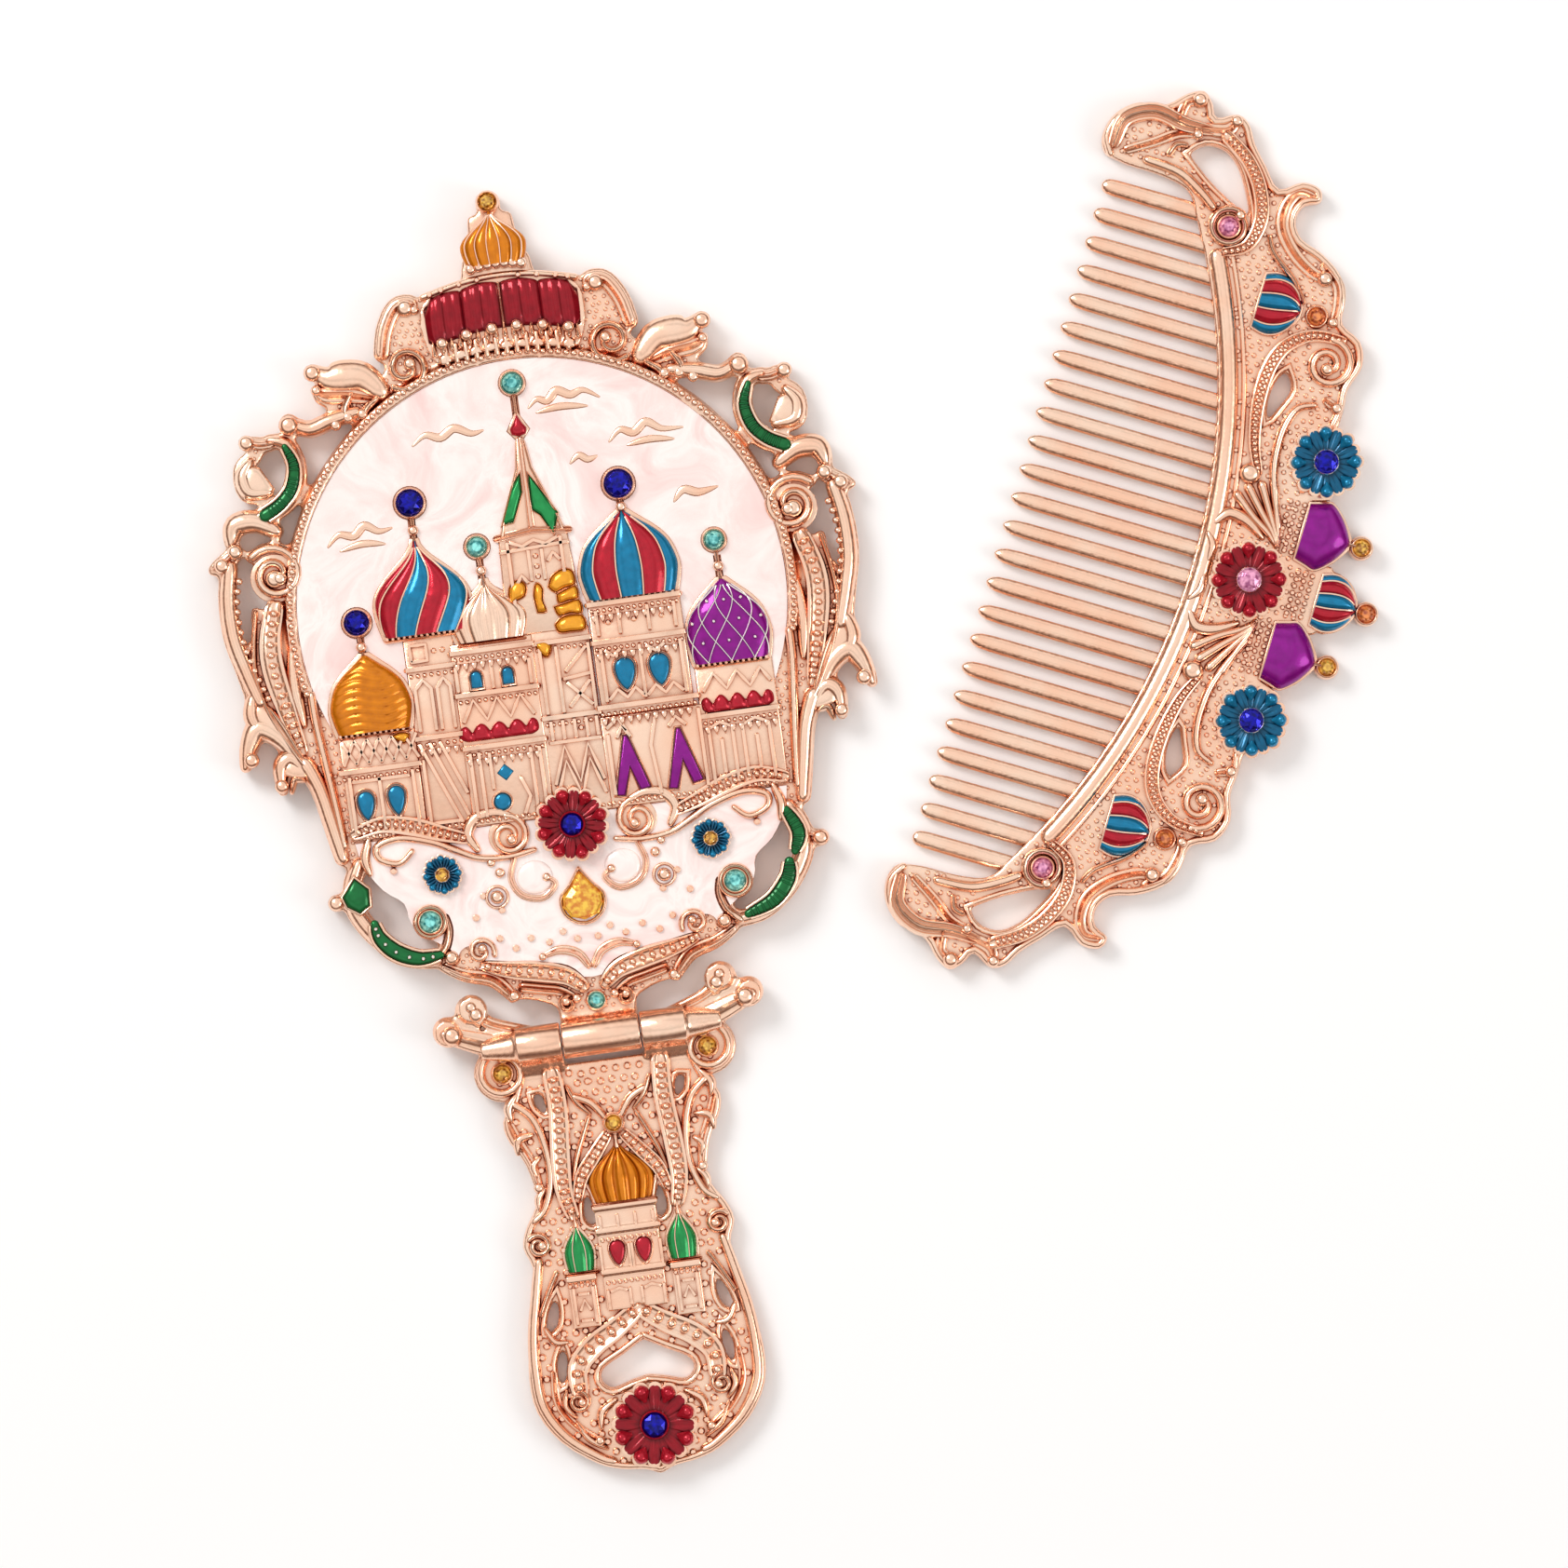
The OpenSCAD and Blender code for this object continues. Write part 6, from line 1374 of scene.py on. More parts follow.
def crown():
    casting("crown_casting", ["crown"], "head", GOLD, 0.22, 3, 0.3)
    red, gold = Shape(), Shape()
    x = np.linspace(-CROWN_END, CROWN_END, 121)
    lump = np.abs(np.sin(math.pi * x / 5.3)) ** 0.6
    shut = 1 - np.maximum(0, np.abs(x) - 9.4) / 1.5
    folds(red, x, 36.5 - FOOT_SAG * x * x, 42.7 - TOP_SAG * x * x + 0.5 * lump, SCROLL - 0.3,
          0.7 + 0.25 * lump + 0.22 * np.abs(np.sin(math.pi * x / 1.325)) ** 0.7, shut)
    make("crown_panes", red, "head", [RED_DEEP], ["crown_enamel"])
    sweep(gold, [(0, 36.6), (0, 39), (0, 42.6)], (0.4, 0.4, 0.4), SCROLL + 0.3, 0.75)
    for x in (-8.6, -5.2, -1.7, 1.7, 5.2, 8.6):
        ball(gold, (x, 36.7 - FOOT_SAG * x * x, SCROLL + 0.5), 0.85, 1)
    for x in np.arange(-8, 9) * 1.22:
        rib = [(x, y - FOOT_SAG * x * x) for y in (35.6, 36.4, 37.2)]
        sweep(gold, rib, (0.9, 0.7, 0.35), SCROLL - 0.3, 1.2)
    dots = [(x, 43.5 - TOP_SAG * x * x, SCROLL + 0.4) for x in (-9.4, -7.8, -5.3, -2.8, 2.8, 5.3, 7.8, 9.4)]
    for k in range(-6, 7):
        x, y = k * 1.38, 34.3 - 0.012 * k * k
        sweep(gold, [(x, y - 1.1), (x, y), (x, y + 1.1)], (0.9, 1.05, 0.9), SCROLL - 0.3, 0.85)
    top_rail = smooth_path([(-10.4, 42.1), (-5, 43.3), (0, 43.7), (5, 43.3), (10.4, 42.1)])
    sweep(gold, top_rail, (0.9, 1.0, 0.9), SCROLL - 0.4, 0.9)
    finial = Dome((0, 45.2, 4.5, 7.2), SCROLL, 1.6, 7, 0.0, 0.22)
    s = Shape()
    finial.body(s)
    make("finial_onion", s, "head", [AMBER], ["finial_dome"])
    finial.wires(gold, 0.12)
    for k in range(-3, 4):
        ball(gold, (k * 1.15, 45.3 - 0.04 * k * k, SCROLL + 0.9 - 0.03 * k * k), 0.78, 0.9)
    bezel(gold, 0, 53.7, 1.15, SCROLL - 0.4, 1.0, 0.5)
    make("crown_trim", gold, "head", [GOLD])
    beads("crown_beads", dots, "head", 0.42)
    stones("finial_topaz", [(0, 53.7, 1.1, SCROLL - 0.1)], "head", TOPAZ, ["finial_stone"], 1.1)


PEAR = [(0, -37.5), (-1.4, -39.4), (-2.6, -40.8), (-2.75, -42.2), (-1.9, -43.6), (0, -44.2), (1.9, -43.6),
        (2.75, -42.2), (2.6, -40.8), (1.4, -39.4)]
BASIN_DOTS = [(3.2, -45.4), (5.2, -46.6), (7.6, -45.7), (9.8, -46.8), (11.8, -45.2), (1.4, -46.6),
              (13.2, -39.2), (11, -41.4), (14.6, -42), (24.8, -34.2)]


def basin():
    s, gold = Shape(), Shape()
    pillow(s, PEAR, ENAMEL, 0.7, 0.9, 3)
    make("pear", s, "head", [CITRINE], ["pear_stone"], smooth=False)
    pear_edge = smooth_path([(0, -37.2), (-1.5, -39.3), (-2.9, -41), (-2.7, -43), (-1.4, -44.3), (0, -44.7)])
    sweep(gold, pear_edge, (0.6, 0.6, 0.6), ENAMEL - 0.1, 0.85)
    gold.mirror()
    lobes = Shape()
    for side in (-1, 1):
        pillow(lobes, circle(0, 0, 1, 28) * (2.5, 2.3) + (side * 6, -37.6), ENAMEL - 0.1, 0.2, 0.5)
        ball(gold, (side * 10.6, -36.4, ENAMEL + 0.2), 0.7, 0.8)
        ball(gold, (side * 11.6, -34.9, ENAMEL + 0.2), 0.6, 0.8)
        bezel(gold, side * 20.8, -41.7, 1.4, ENAMEL - 0.1, 0.8)
        ball(gold, (side * 11.4, -39.6, ENAMEL + 0.3), 0.95, 0.8)
        ring_band(gold, (side * 11.4, -39.6), 1.45, 0.5, ENAMEL - 0.1, 0.55, 28)
        start = 200 if side > 0 else -20
        volute(gold, (side * 14.6, -46.6), 1.9, 0.5, start, -1.2 * side, 0.9, ENAMEL - 0.2, 0.9)
    bezel(gold, 0, -55.2, 1.05, PLATE, 0.8)
    make("basin_lobes", lobes, "head", [PEARL])
    make("basin_trim", gold, "head", [GOLD])
    dots = [(side * x, y, ENAMEL + 0.15) for side in (-1, 1) for x, y in BASIN_DOTS]
    beads("basin_beads", dots, "head", 0.52)
    red = [Flower(0, -31.2, 5, PLATE, WALL + 1.45, lean=0.2)]
    flowers("red_flower", red, "head", (RED, RED_DEEP), "head_flower", 1.5, "flower_sapphire", SAPPHIRE,
            ["head_flower_stone"], RED)
    small = [Flower(side * 18.3, -35.6, 2.7, ENAMEL - 0.1, ENAMEL + 0.7) for side in (-1, 1)]
    flowers("small_blue_flowers", small, "head", (BLUE, BLUE_DEEP), "small_flowers", 0.8, "small_topazes",
            TOPAZ, ["small_flower_stones"], dome=False)


GREEN_BANDS = [
    ([(31.6, 24.6), (30.7, 22), (31.4, 19), (33.2, 17), (35.4, 15.8)], (0.9, 1.7, 1.8), "ribs"),
    ([(-31.6, 24.6), (-30.7, 22), (-31.4, 19), (-33.2, 17), (-35.4, 15.8)], (0.9, 1.7, 1.8), "ribs"),
    ([(28.9, -33.2), (30.2, -36.3), (29.4, -38.8)], (1.2, 1.9, 1.2), "ribs"),
    ([(28.4, -40.2), (27.9, -42.4), (25.6, -45), (22, -46.4)], (1.4, 2.2, 1.2), "ribs"),
    ([(-28.3, -41), (-27.8, -43), (-25.9, -45.1), (-23, -46.4), (-20.1, -46.3)], (1.2, 2.2, 1.2), "dots")]
GREEN_LEAF = [(-30.2, -34.5), (-28.5, -36.2), (-28.6, -38.4), (-30, -39.3), (-31.6, -38.2), (-32.1, -36.8)]


def rim_enamels():
    s, gold, dots = Shape(), Shape(), []
    for points, widths, kind in GREEN_BANDS:
        line = smooth_path(points)
        sweep(s, line, widths, SCROLL - 0.25, 0.55)
        _, side = directions(line)
        half = width_at(widths, np.linspace(0, 1, len(line)))[:, None] / 2
        for flip in (-1, 1):
            tube(gold, lifted(line + side * (half + 0.14) * flip, SCROLL + 0.02), 0.26, 8)
        length = np.sum(np.linalg.norm(np.diff(line, axis=0), axis=1))
        for k in np.linspace(0.08, 0.92, round(length / (0.72 if kind == "ribs" else 1.5))):
            i = round(k * (len(line) - 1))
            if kind == "ribs":
                across = [line[i] - side[i] * half[i] * 0.8, line[i], line[i] + side[i] * half[i] * 0.8]
                tube(s, [(*p, SCROLL + z) for p, z in zip(across, (0.2, 0.32, 0.2))], 0.13)
            else:
                dots.append((*line[i], SCROLL + 0.32))
    leaf = wound(GREEN_LEAF)
    pillow(s, leaf, SCROLL - 0.25, 0.4, 0.7)
    hoop(gold, inset(leaf, -0.15), 0.5, SCROLL - 0.3, 0.6)
    make("rim_greens", s, "head", [GREEN_DEEP], ["rim_enamel"])
    make("rim_green_edges", gold, "head", [GOLD])
    beads("rim_green_dots", dots, "head", 0.3, SILVER)


# Handle
GRIP_LINES = [
    [(0.8, -94.4), (0.8, -95.6), (0.8, -96.6)], [(3.8, -94.4), (3.8, -95.6), (3.8, -97)],
    [(1.2, -94.6), (2.2, -94.2), (3.4, -94.6)], [(5.8, -93.6), (5.8, -96), (5.8, -98.4)],
    [(8.4, -93.6), (8.4, -96), (8.4, -98.4)], [(6.4, -96.6), (7.1, -95.2), (7.8, -96.6)],
    [(6.4, -94.4), (7.1, -94.4), (7.8, -94.4)], [(6.4, -98), (7.1, -98), (7.8, -98)],
    [(3.6, -84.4), (3.6, -85.2), (3.6, -86.2)], [(1.2, -84.4), (1.2, -85.2), (1.2, -86.2)],
    [(4.1, -88.4), (4.1, -90), (4.1, -91.8)], [(0.2, -88.4), (0.2, -90), (0.2, -91.8)]]
GRIP_DOTS = [(2.4, -66), (3.4, -74.2), (6, -97.4), (4.4, -110)]


def handle_details():
    casting("grip_towers", ["handle_towers"], "handle", GOLD, 0.2, 2, 0.4)
    dome = Dome((0, -82.5, 4.5, 8.2), GRIP, 1.8, 7, 0.0, 0.34)
    s, gold = Shape(), Shape()
    dome.body(s)
    make("grip_amber_dome", s, "handle", [AMBER], ["handle_dome"])
    sweep(gold, [(-4.2, -82.9), (0, -82.9), (4.2, -82.9)], (0.8, 0.8, 0.8), GRIP, 1.5, FLUTE)
    sweep(gold, [(0, -75.2), (0, -74.4), (0, -73.4)], (1.1, 0.7, 0.8), GRIP, 1.2)
    green = Shape()
    for x in (-7, 7):
        side = Dome((x, -91.3, 2, 6.6), GRIP, 1.25, 3, 0.0, 0.2)
        side.body(green, (0,), 20, 24)
        side.wires(gold, 0.1)
        slab(gold, side.outline(0.3), GRIP - 0.1, GRIP + 0.35, 0.1)
        sweep(gold, [(x - 2.1, -91.7), (x, -91.7), (x + 2.1, -91.7)], (0.7, 0.7, 0.7), GRIP, 1.3, FLUTE)
        sweep(gold, [(x, -85.2), (x, -84.2), (x, -83.2)], (0.9, 0.5, 0.5), GRIP, 0.9)
    make("grip_green_domes", green, "handle", [GREEN], ["handle_side_domes"])
    red = Shape()
    for x in (-1.8, 1.8):
        outline = window_outline((x, -89.5), 2.1, 3.5)
        pillow(red, outline, GRIP + 0.9, 0.25, 0.35)
        hoop(gold, inset(wound(outline), -0.15), 0.35, GRIP + 0.9, 0.45)
    make("grip_windows", red, "handle", [RED], ["handle_window_enamel"])
    flowers("grip_flower", [Flower(0, -113.2, 5.8, GRIP, GRIP + 1.5, lean=0.25)], "handle", (RED, RED_DEEP),
            "handle_flower", 1.7, "grip_sapphire", SAPPHIRE, ["handle_flower_stone"], RED)
    spots = [(14, -63.4, 1.2, GRIP), (-14, -63.4, 1.2, GRIP), (0, -72, 1.05, GRIP + 0.9)]
    for x, y, r, z in spots:
        bezel(gold, x, y, r, z, 0.75, 0.5)
    stones("grip_topazes", spots, "handle", TOPAZ, ["handle_amber_stones"], 1.0)
    for line in GRIP_LINES:
        for side in (1, -1):
            sweep(gold, [(side * x, y) for x, y in line], (0.5, 0.5, 0.5), GRIP + 0.4, 1.0, BAR)
    make("grip_trim", gold, "handle", [GOLD])
    dots = [(x, y, GRIP + 1.15) for y in (-87.6, -93.4) for x in np.arange(-3.6, 3.7, 0.8)]
    dots += [(side * x, -93.2, GRIP + 0.95) for x in np.arange(5.6, 9, 0.8) for side in (-1, 1)]
    dots += [(side * x, y, GRIP + 0.2) for side in (-1, 1) for x, y in GRIP_DOTS]
    beads("grip_beads", dots, "handle", 0.33)


# Radius of the hinge's knuckles and of their bore
BARREL_R, BORE_R = 2.53, 0.9


def barrel(shape, left, right):
    """One knuckle of the hinge, bored for the pin."""
    r, bore = BARREL_R, BORE_R
    turn = np.linspace(0, 2 * math.pi, 48, endpoint=False)
    rings = [np.stack([np.full(48, x), HINGE_Y + k * np.cos(turn), HINGE_Z + k * np.sin(turn)], 1)
             for x, k in ((left, bore), (left, r - 0.22), (left + 0.08, r - 0.06), (left + 0.22, r),
                          (right - 0.22, r), (right - 0.08, r - 0.06), (right, r - 0.22), (right, bore))]
    return skin(shape, rings, caps=False)


def hinge():
    middle_knuckle, sides = Shape(), Shape()
    make("middle_knuckle", barrel(middle_knuckle, -5.3, 5.3), "head", [GOLD])
    barrel(sides, 5.46, 11.6)
    sides.mirror()
    make("side_knuckles", sides, "handle", [GOLD])


def edge_band(shape, line, depth, width, base, height):
    """A smooth raised border that runs inside an open outline."""
    p = smooth_path(line, 3)
    _, across = directions(p)
    return sweep(shape, p - across * depth, (width, width, width), base, height)


GRIP_EDGE = [(12, -64), (13.2, -67.2), (14.8, -70), (14.2, -73), (12.2, -75.6), (11.6, -79), (12, -82),
             (13.6, -84.6), (14.4, -87.2), (13.5, -90), (14, -94), (15.2, -99.4), (16, -104.8),
             (15.5, -109.6), (12.8, -114), (8.4, -117.4), (5.2, -118.6), (2.4, -119), (0, -119.6)]
GRIP_HOLES = [[(10.4, -66.9), (9.2, -67), (8.8, -69.6), (10, -68.7)],
              [(4.9, -80.6), (5.5, -82.6), (5.5, -84.6), (4.6, -85.4), (3.9, -84.4), (4.4, -82.6)],
              [(10.9, -94.2), (12.2, -96.4), (12.8, -99), (11.4, -98.4), (10.8, -96.4)],
              [(10.9, -101), (12, -103.4), (11.8, -106.4), (10.9, -105), (10.6, -103)]]
GRIP_ARCH = [(0, -101.6), (2.8, -103.2), (5.8, -104.8), (6.3, -106.4), (5, -107.6), (2.4, -106.9),
             (0, -106.4)]
SPINE_EDGE = [(-34.2, 50), (-35.4, 52.4), (-34.6, 55.6), (-32, 58), (-28.2, 58.8), (-26, 60.9), (-23.8, 62),
              (-22.2, 60.6), (-21.2, 58.9), (-18.6, 60.2), (-16.6, 59.3), (-15.2, 57), (-12.8, 54.4),
              (-10.4, 52), (-7.6, 53.8), (-5, 53.6), (-4.4, 51.8), (-6.4, 50.8), (-7, 48.6), (-5.6, 46.4),
              (-2.2, 45.2), (1, 43), (2.5, 39.6), (3, 36.8), (6, 35.2), (7.2, 32), (6.2, 28.6), (6.4, 25.6),
              (6, 23)]
SPINE_HOLES = [[(-23.4, 53.2), (-21.6, 54.9), (-18.8, 55), (-16.4, 53.2), (-14.5, 50.2), (-13.2, 47.4),
                (-12.9, 45), (-13.8, 47.4), (-16.4, 48.7), (-19.8, 50.6)],
               [(-2.4, 28.6), (-1.2, 26.4), (-2.2, 23.6), (-3.2, 21.6), (-3.8, 24.6), (-3.3, 27.4)]]


def hole_edges(shape, holes, base):
    """A raised border round each hole."""
    for hole in holes:
        outline = wound(smooth_path(hole + hole[:1], 3)[:-1])
        hoop(shape, inset(outline, -0.5), 0.8, base, 0.65)


def borders():
    s = Shape()
    edge_band(s, GRIP_EDGE, 0.5, 1.1, GRIP - 0.15, 0.85)
    hole_edges(s, GRIP_HOLES, GRIP - 0.15)
    edge_band(s, GRIP_ARCH, -0.6, 1.0, GRIP - 0.15, 0.8)
    s.mirror()
    make("grip_borders", s, "handle", [GOLD])
    s = Shape()
    edge_band(s, SPINE_EDGE, 0.6, 1.1, SPINE - 0.15, 0.85)
    hole_edges(s, SPINE_HOLES, SPINE - 0.15)
    s.mirror(1)
    make("spine_borders", s, "comb", [GOLD])


def tree_of(piece):
    """The piece as a tree that rays are cast at."""
    points = [tuple(v.co) for v in piece.data.vertices]
    return BVHTree.FromPolygons(points, [tuple(face.vertices) for face in piece.data.polygons])


AROUND = ((0, 0), (0.5, 0), (-0.5, 0), (0, 0.5), (0, -0.5))
DOWN = Vector((0, 0, -1))


def granulation(name, node, covers, body, z, region, step=1.05, r=0.3):
    """Small cast beads over the open ground of a plate, where nothing higher covers it."""
    ground = tree_of(frame["nodes"][node])
    pieces = bpy.data.objects
    above = [tree_of(pieces[k] if k in pieces else frame["nodes"][k]) for k in covers]
    left, right, bottom, top = region
    rng = np.random.default_rng(7)
    spots = []
    for row, y in enumerate(np.arange(bottom, top, step * 0.87)):
        for x in np.arange(left + step / 2 * (row % 2), right, step):
            x1, y1 = np.array([x, y]) + rng.uniform(-0.16, 0.16, 2)
            around = LAYOUTS[body].put([(x1 + dx, y1 + dy, z + 6) for dx, dy in AROUND])
            hits = [ground.ray_cast(Vector(p), DOWN)[0] for p in around]
            if any(hit is None or abs(hit.z / MM - z) > 0.1 for hit in hits):
                continue
            tops = [tree.ray_cast(Vector(around[0]), DOWN)[0] for tree in above]
            if any(hit is not None and hit.z / MM > z + 0.25 for hit in tops):
                continue
            spots.append((x1, y1, z + 0.02))
    beads(name, spots, body, r)


def grounds():
    covers = ("grip_scrolls", "grip_borders", "grip_towers")
    granulation("grip_grains", "handle_frame", covers, "handle", GRIP, (-17, 17, -119, -64.6), 1.6, 0.55)
    covers = ("spine_scrolls", "spine_borders", "root_rail", "comb_trim")
    granulation("spine_grains", "comb_frame", covers, "comb", SPINE, (-36, 8, -62, 62), 1.25, 0.36)
    covers = ("rim_scrolls", "sky_enamel", "basin_enamel", "castle", "crown_casting")
    granulation("rim_grains", "head_frame", covers, "head", PLATE, (-44, 44, -56, 42))


# Comb
def tooth():
    """A tooth one unit long, roofed along its top and round at its tip, pointing along -X."""
    section = [(1.2, 0), (1.16, 0.56), (1.02, 0.82), (0.5, 0.94), (-0.1, 1.06), (-0.3, 1.02), (-0.72, 0.82),
               (-1.12, 0.56), (-1.2, 0), (-1.1, -0.5), (-0.8, -0.92), (0, -1.05), (0.8, -0.92), (1.1, -0.5)]
    steps = ((0, 1.0), (0.5, 1.0), (0.88, 0.95), (0.945, 0.86), (0.975, 0.68), (0.992, 0.42), (1.0, 0.12))
    return skin(Shape(), [[(-t, y * k, z * (0.5 + 0.5 * k)) for y, z in section] for t, k in steps])


TOOTH_COUNT, TOOTH_PITCH = 24, 4.0
ROOT_R, ROOT_X, TIP_X = 88.5, -7.6, -33.6


def comb_details():
    low, high = box_mm("comb_teeth")
    spots = []
    for k in range(TOOTH_COUNT):
        y = (k - (TOOTH_COUNT - 1) / 2) * TOOTH_PITCH
        root = ROOT_X - ROOT_R + math.sqrt(ROOT_R ** 2 - y ** 2) + 1.5
        spots.append((root, y, (low[2] + high[2]) / 2, 0.0, (root - TIP_X, 1.0, 1.0)))
    scatter("teeth", tooth(), spots, "comb", TOOTH_GOLD, ["comb_teeth"])
    gold = Shape()
    a = np.linspace(-0.47, 0.47, 60)
    centre = ROOT_X - ROOT_R
    for r, width, height in ((ROOT_R + 1.6, 2.5, 1.0), (ROOT_R + 3.6, 0.8, 0.5)):
        line = np.stack([centre + r * np.cos(a), r * np.sin(a)], 1)
        sweep(gold, line, (width, width, width), SPINE - 0.1, height)
    make("root_rail", gold, "comb", [GOLD], ["comb_root_rib"])
    gold, dots = Shape(), []
    purple, striped = Shape(), Shape()
    quarter = -math.pi / 2
    for y in (-8.4, 8.4):
        dome = Dome((0, 0, 4.6, 6.5), SPINE, 2.2, 3, 0.0, 0.0, form=SHIELD)
        purple.join(dome.body(Shape(), (0,), 20, 30).moved(5.6, y, 0, quarter))
        trim = Shape()
        slab(trim, dome.outline(0.25), SPINE - 0.1, SPINE + 0.4, 0.1)
        sweep(trim, [(0, 5.8), (0, 6.6), (0, 7.4)], (1.2, 0.7, 0.7), SPINE - 0.3, 1.5)
        gold.join(trim.moved(5.6, y, 0, quarter))
    for x, y, half, height in ((10, 0, 3.9, 5.4), (-8.8, 36.8, 4.2, 5.8), (-8.8, -36.8, 4.2, 5.8)):
        dome = Dome((0, 0, half, height), SPINE, 2.2, 5, 0.4, 0.3, form=EGG)
        striped.join(dome.body(Shape(), (0, 1), 30, 80).moved(x, y, 0, quarter))
        trim = dome.wires(Shape(), 0.17)
        slab(trim, dome.outline(0.22), SPINE - 0.1, SPINE + 0.4, 0.1)
        gold.join(trim.moved(x, y, 0, quarter))
    make("comb_purple_onions", purple, "comb", [PURPLE], ["comb_purple_domes"])
    make("comb_striped_onions", striped, "comb", [BLUE, RED], ["comb_striped_domes"])
    for name, node, material, spots in (
            ("comb_pinks", "comb_pink_stones", PINK, [(-15.5, 45.2, 1.3), (-15.5, -45.2, 1.3)]),
            ("comb_oranges", "comb_orange_stones", ORANGE,
             [(-0.7, 36.8, 1.2), (-0.7, -36.8, 1.2), (17, 0, 1.2)]),
            ("comb_yellows", "comb_yellow_stones", TOPAZ, [(13.9, 8.4, 1.15), (13.9, -8.4, 1.15)])):
        stones(name, [(*spot, SPINE) for spot in spots], "comb", material, [node], 1.05)
        for x, y, r in spots:
            bezel(gold, x, y, r, SPINE - 0.1, 0.8, 0.6)
    for side in (-1, 1):
        strip = [(2.2, 4.4), (5.8, 4.2), (5.8, 12.7), (8, 13.4), (7.6, 14.8), (3.6, 14.4)]
        slab(gold, wound(np.array(strip) * (1, side)), SPINE - 0.9, SPINE + 0.03)
        for x in (2.9, 3.9, 4.9):
            dots += [(x, side * y, SPINE + 0.15) for y in np.arange(5.2, 12.4, 0.95)]
    dots += [(x, y, SPINE + 0.15) for x in (6.6, 7.6, 8.6) for y in np.arange(-2.85, 3, 0.95)]
    beads("comb_strip_beads", dots, "comb", 0.4)
    make("comb_trim", gold, "comb", [GOLD])
    red = [Flower(0.4, 0, 5.2, SPINE, SPINE + 1.5, lean=0.3)]
    flowers("comb_red_flower_face", red, "comb", (RED, RED_DEEP), "comb_red_flower", 1.5, "comb_rose_stone",
            PINK, ())
    blue = [Flower(6, side * 18.2, 4.9, SPINE, SPINE + 1.5, lean=0.3) for side in (-1, 1)]
    flowers("comb_blue_flower_faces", blue, "comb", (BLUE, BLUE_DEEP), "comb_blue_flowers", 1.5,
            "comb_sapphires", SAPPHIRE, ["comb_flower_stones"])


# Stage, light and camera
FLOOR_HALF = 1.4


def stage():
    """A floor of pale paper."""
    corners = [(x * FLOOR_HALF, y * FLOOR_HALF, 0) for x, y in ((-1, -1), (1, -1), (1, 1), (-1, 1))]
    mesh = bpy.data.meshes.new("floor")
    mesh.from_pydata(corners, [], [(0, 1, 2, 3)])
    f = Finish("floor_paper")
    tone = f.noise(8.0, 2)
    f.set(Base_Color=f.blend(tone, (0.93, 0.93, 0.93), (0.95, 0.95, 0.95)), Roughness=0.9)
    mesh.materials.append(f.material)
    add_object("floor", mesh)


def lamp(name, energy, size, at):
    """A round soft light, in metres, that faces the middle of the frame."""
    data = bpy.data.lights.new(name, "AREA")
    data.energy, data.shape, data.size = energy, "DISK", size
    light = add_object(name, data)
    light.location = at
    light.rotation_euler = (-Vector(at)).to_track_quat("-Z", "Y").to_euler()


# What the metal mirrors, from below the floor to straight above: warm shade, then white screens with a gap
SKY_STOPS = [(0.0, (0.30, 0.20, 0.16)), (0.28, (0.10, 0.06, 0.05)), (0.48, (0.44, 0.34, 0.29)),
             (0.64, (1.0, 0.98, 0.96)), (0.80, (1.0, 1.0, 1.0)), (0.90, (0.70, 0.68, 0.67)),
             (0.965, (0.98, 0.98, 0.98)), (1.0, (0.96, 0.96, 0.96))]


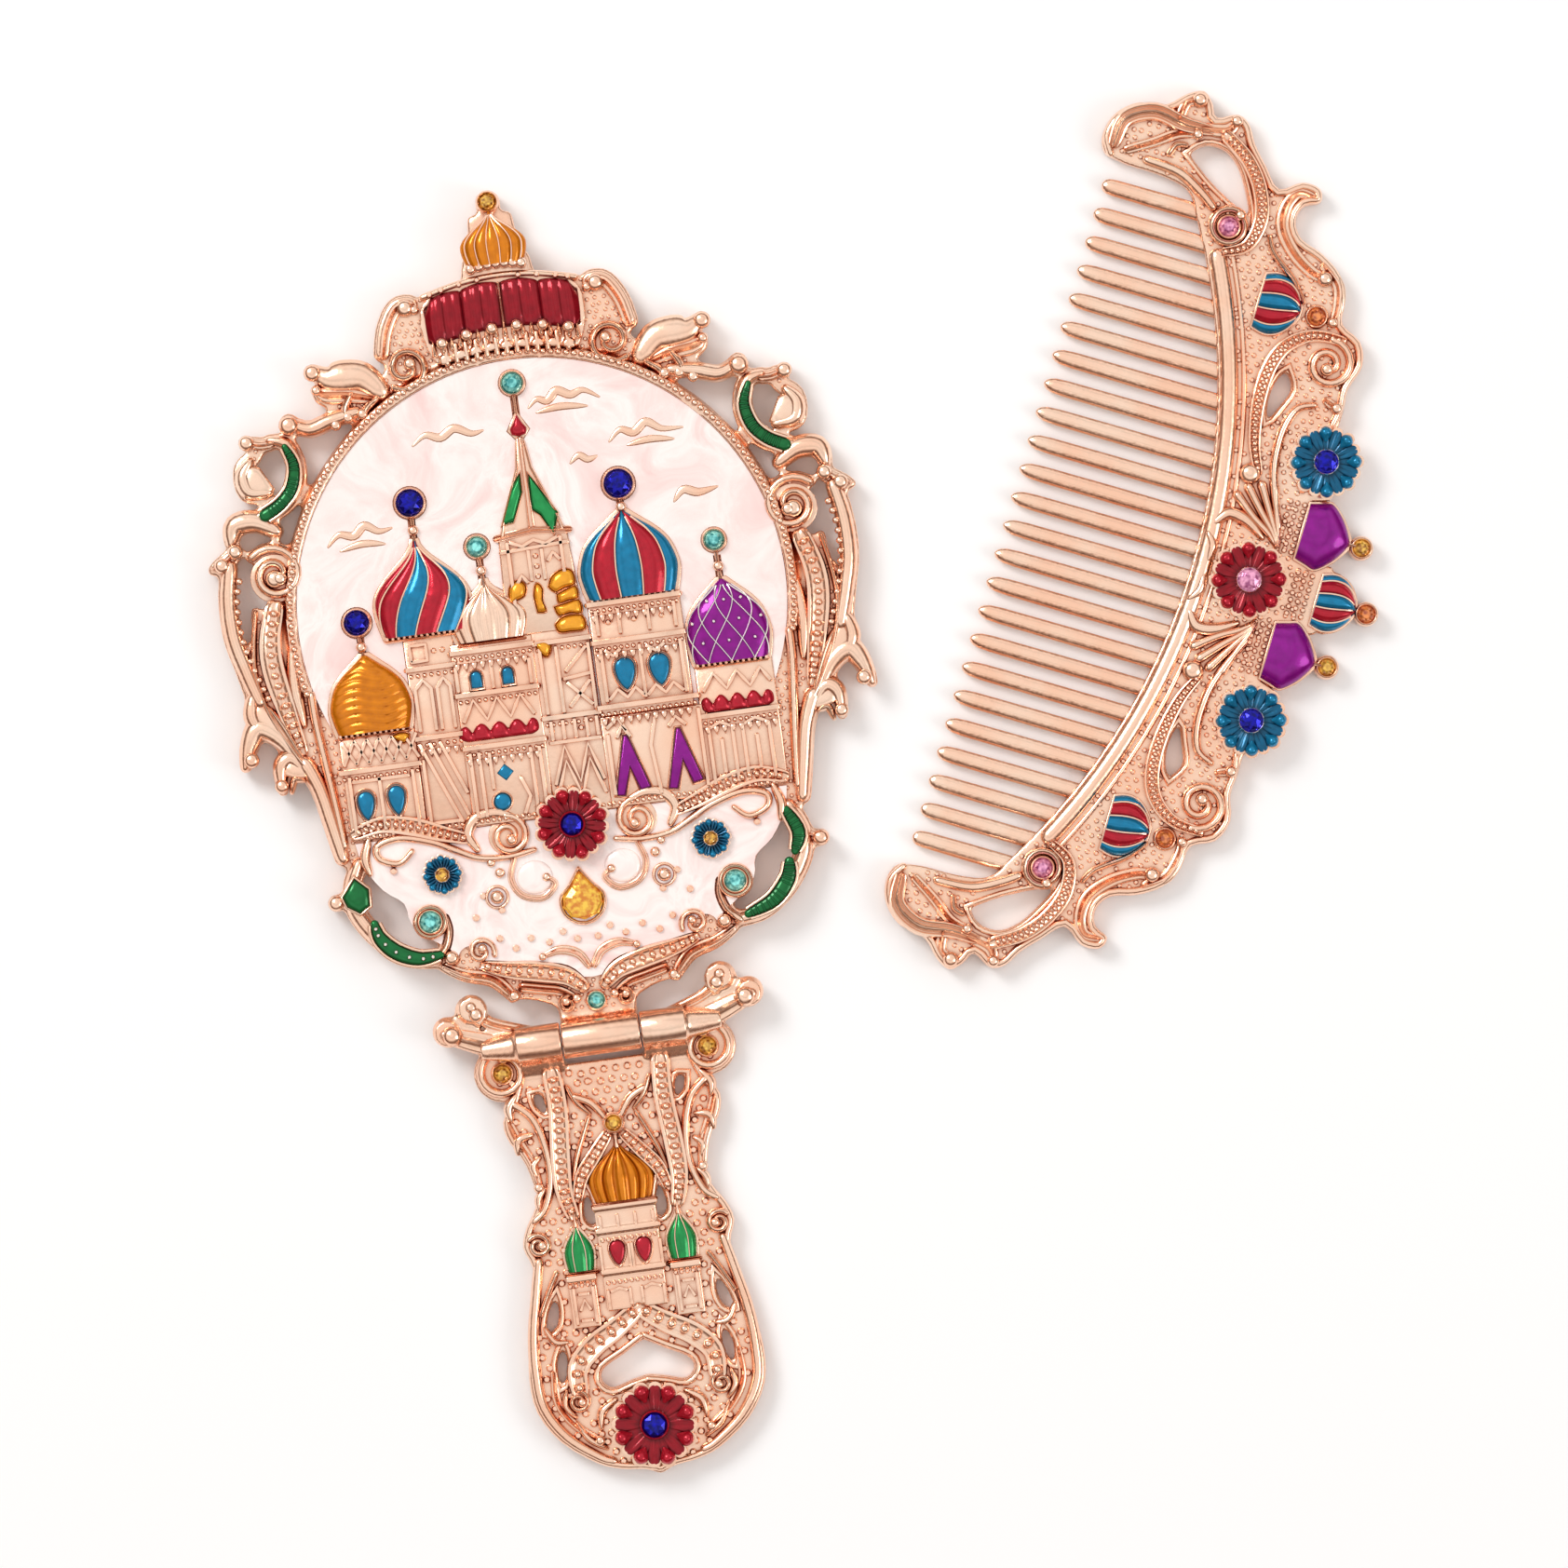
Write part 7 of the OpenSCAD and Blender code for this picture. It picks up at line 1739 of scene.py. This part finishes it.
def studio():
    """A world of soft screens, a little brighter towards +Y, and two lamps."""
    world = bpy.data.worlds.new("studio")
    bpy.context.scene.world = world
    world.use_nodes = True
    tree = world.node_tree
    tree.nodes.clear()
    place = tree.nodes.new("ShaderNodeTexCoord")
    split = tree.nodes.new("ShaderNodeSeparateXYZ")
    ramp = tree.nodes.new("ShaderNodeValToRGB")
    fill_ramp(ramp.color_ramp, SKY_STOPS)
    back = tree.nodes.new("ShaderNodeBackground")
    back.inputs["Strength"].default_value = 1.0
    output = tree.nodes.new("ShaderNodeOutputWorld")
    tree.links.new(place.outputs["Generated"], split.inputs[0])
    lean = tree.nodes.new("ShaderNodeMath")
    lean.operation = "MULTIPLY_ADD"
    lean.inputs[1].default_value = 0.2
    tree.links.new(split.outputs["Y"], lean.inputs[0])
    tree.links.new(split.outputs["Z"], lean.inputs[2])
    tree.links.new(lean.outputs[0], ramp.inputs[0])
    tree.links.new(ramp.outputs[0], back.inputs[0])
    tree.links.new(back.outputs[0], output.inputs[0])
    lamp("key", 4.0, 0.4, (-0.45, 0.55, 0.75))
    lamp("fill", 1.8, 0.5, (0.7, -0.3, 0.6))


VIEW_TURN = math.radians(-7.8)
VIEW_MIDDLE = (29.1, -29.7)
VIEW_WIDTH = 212.2
VIEW_DISTANCE = 1200.0


def camera():
    data = bpy.data.cameras.new("camera")
    data.sensor_width = 36.0
    data.lens = data.sensor_width * VIEW_DISTANCE / VIEW_WIDTH
    data.clip_end = 10.0
    cam = add_object("camera", data)
    aim = MIRROR.put([(VIEW_MIDDLE[0], VIEW_MIDDLE[1], PLATE)])[0]
    cam.location = (aim[0], aim[1], aim[2] + VIEW_DISTANCE * MM)
    cam.rotation_euler = (0, 0, VIEW_TURN)
    bpy.context.scene.camera = cam


def main():
    camera()
    stage()
    studio()
    carried_over()
    casting("head_casting", ["head_frame"], "head", GOLD_PLATE)
    casting("grip_casting", ["handle_frame"], "handle", GOLD_PLATE, 0.3)
    casting("comb_casting", ["comb_frame"], "comb", GOLD_PLATE, 0.3)
    rim_scrolls()
    basin_scrolls()
    grip_scrolls()
    spine_scrolls()
    castle()
    walls_enamel()
    domes()
    stems()
    sky()
    crown()
    basin()
    rim_enamels()
    handle_details()
    comb_details()
    hinge()
    borders()
    grounds()
    bpy.context.scene.view_settings.view_transform = "Standard"


main()
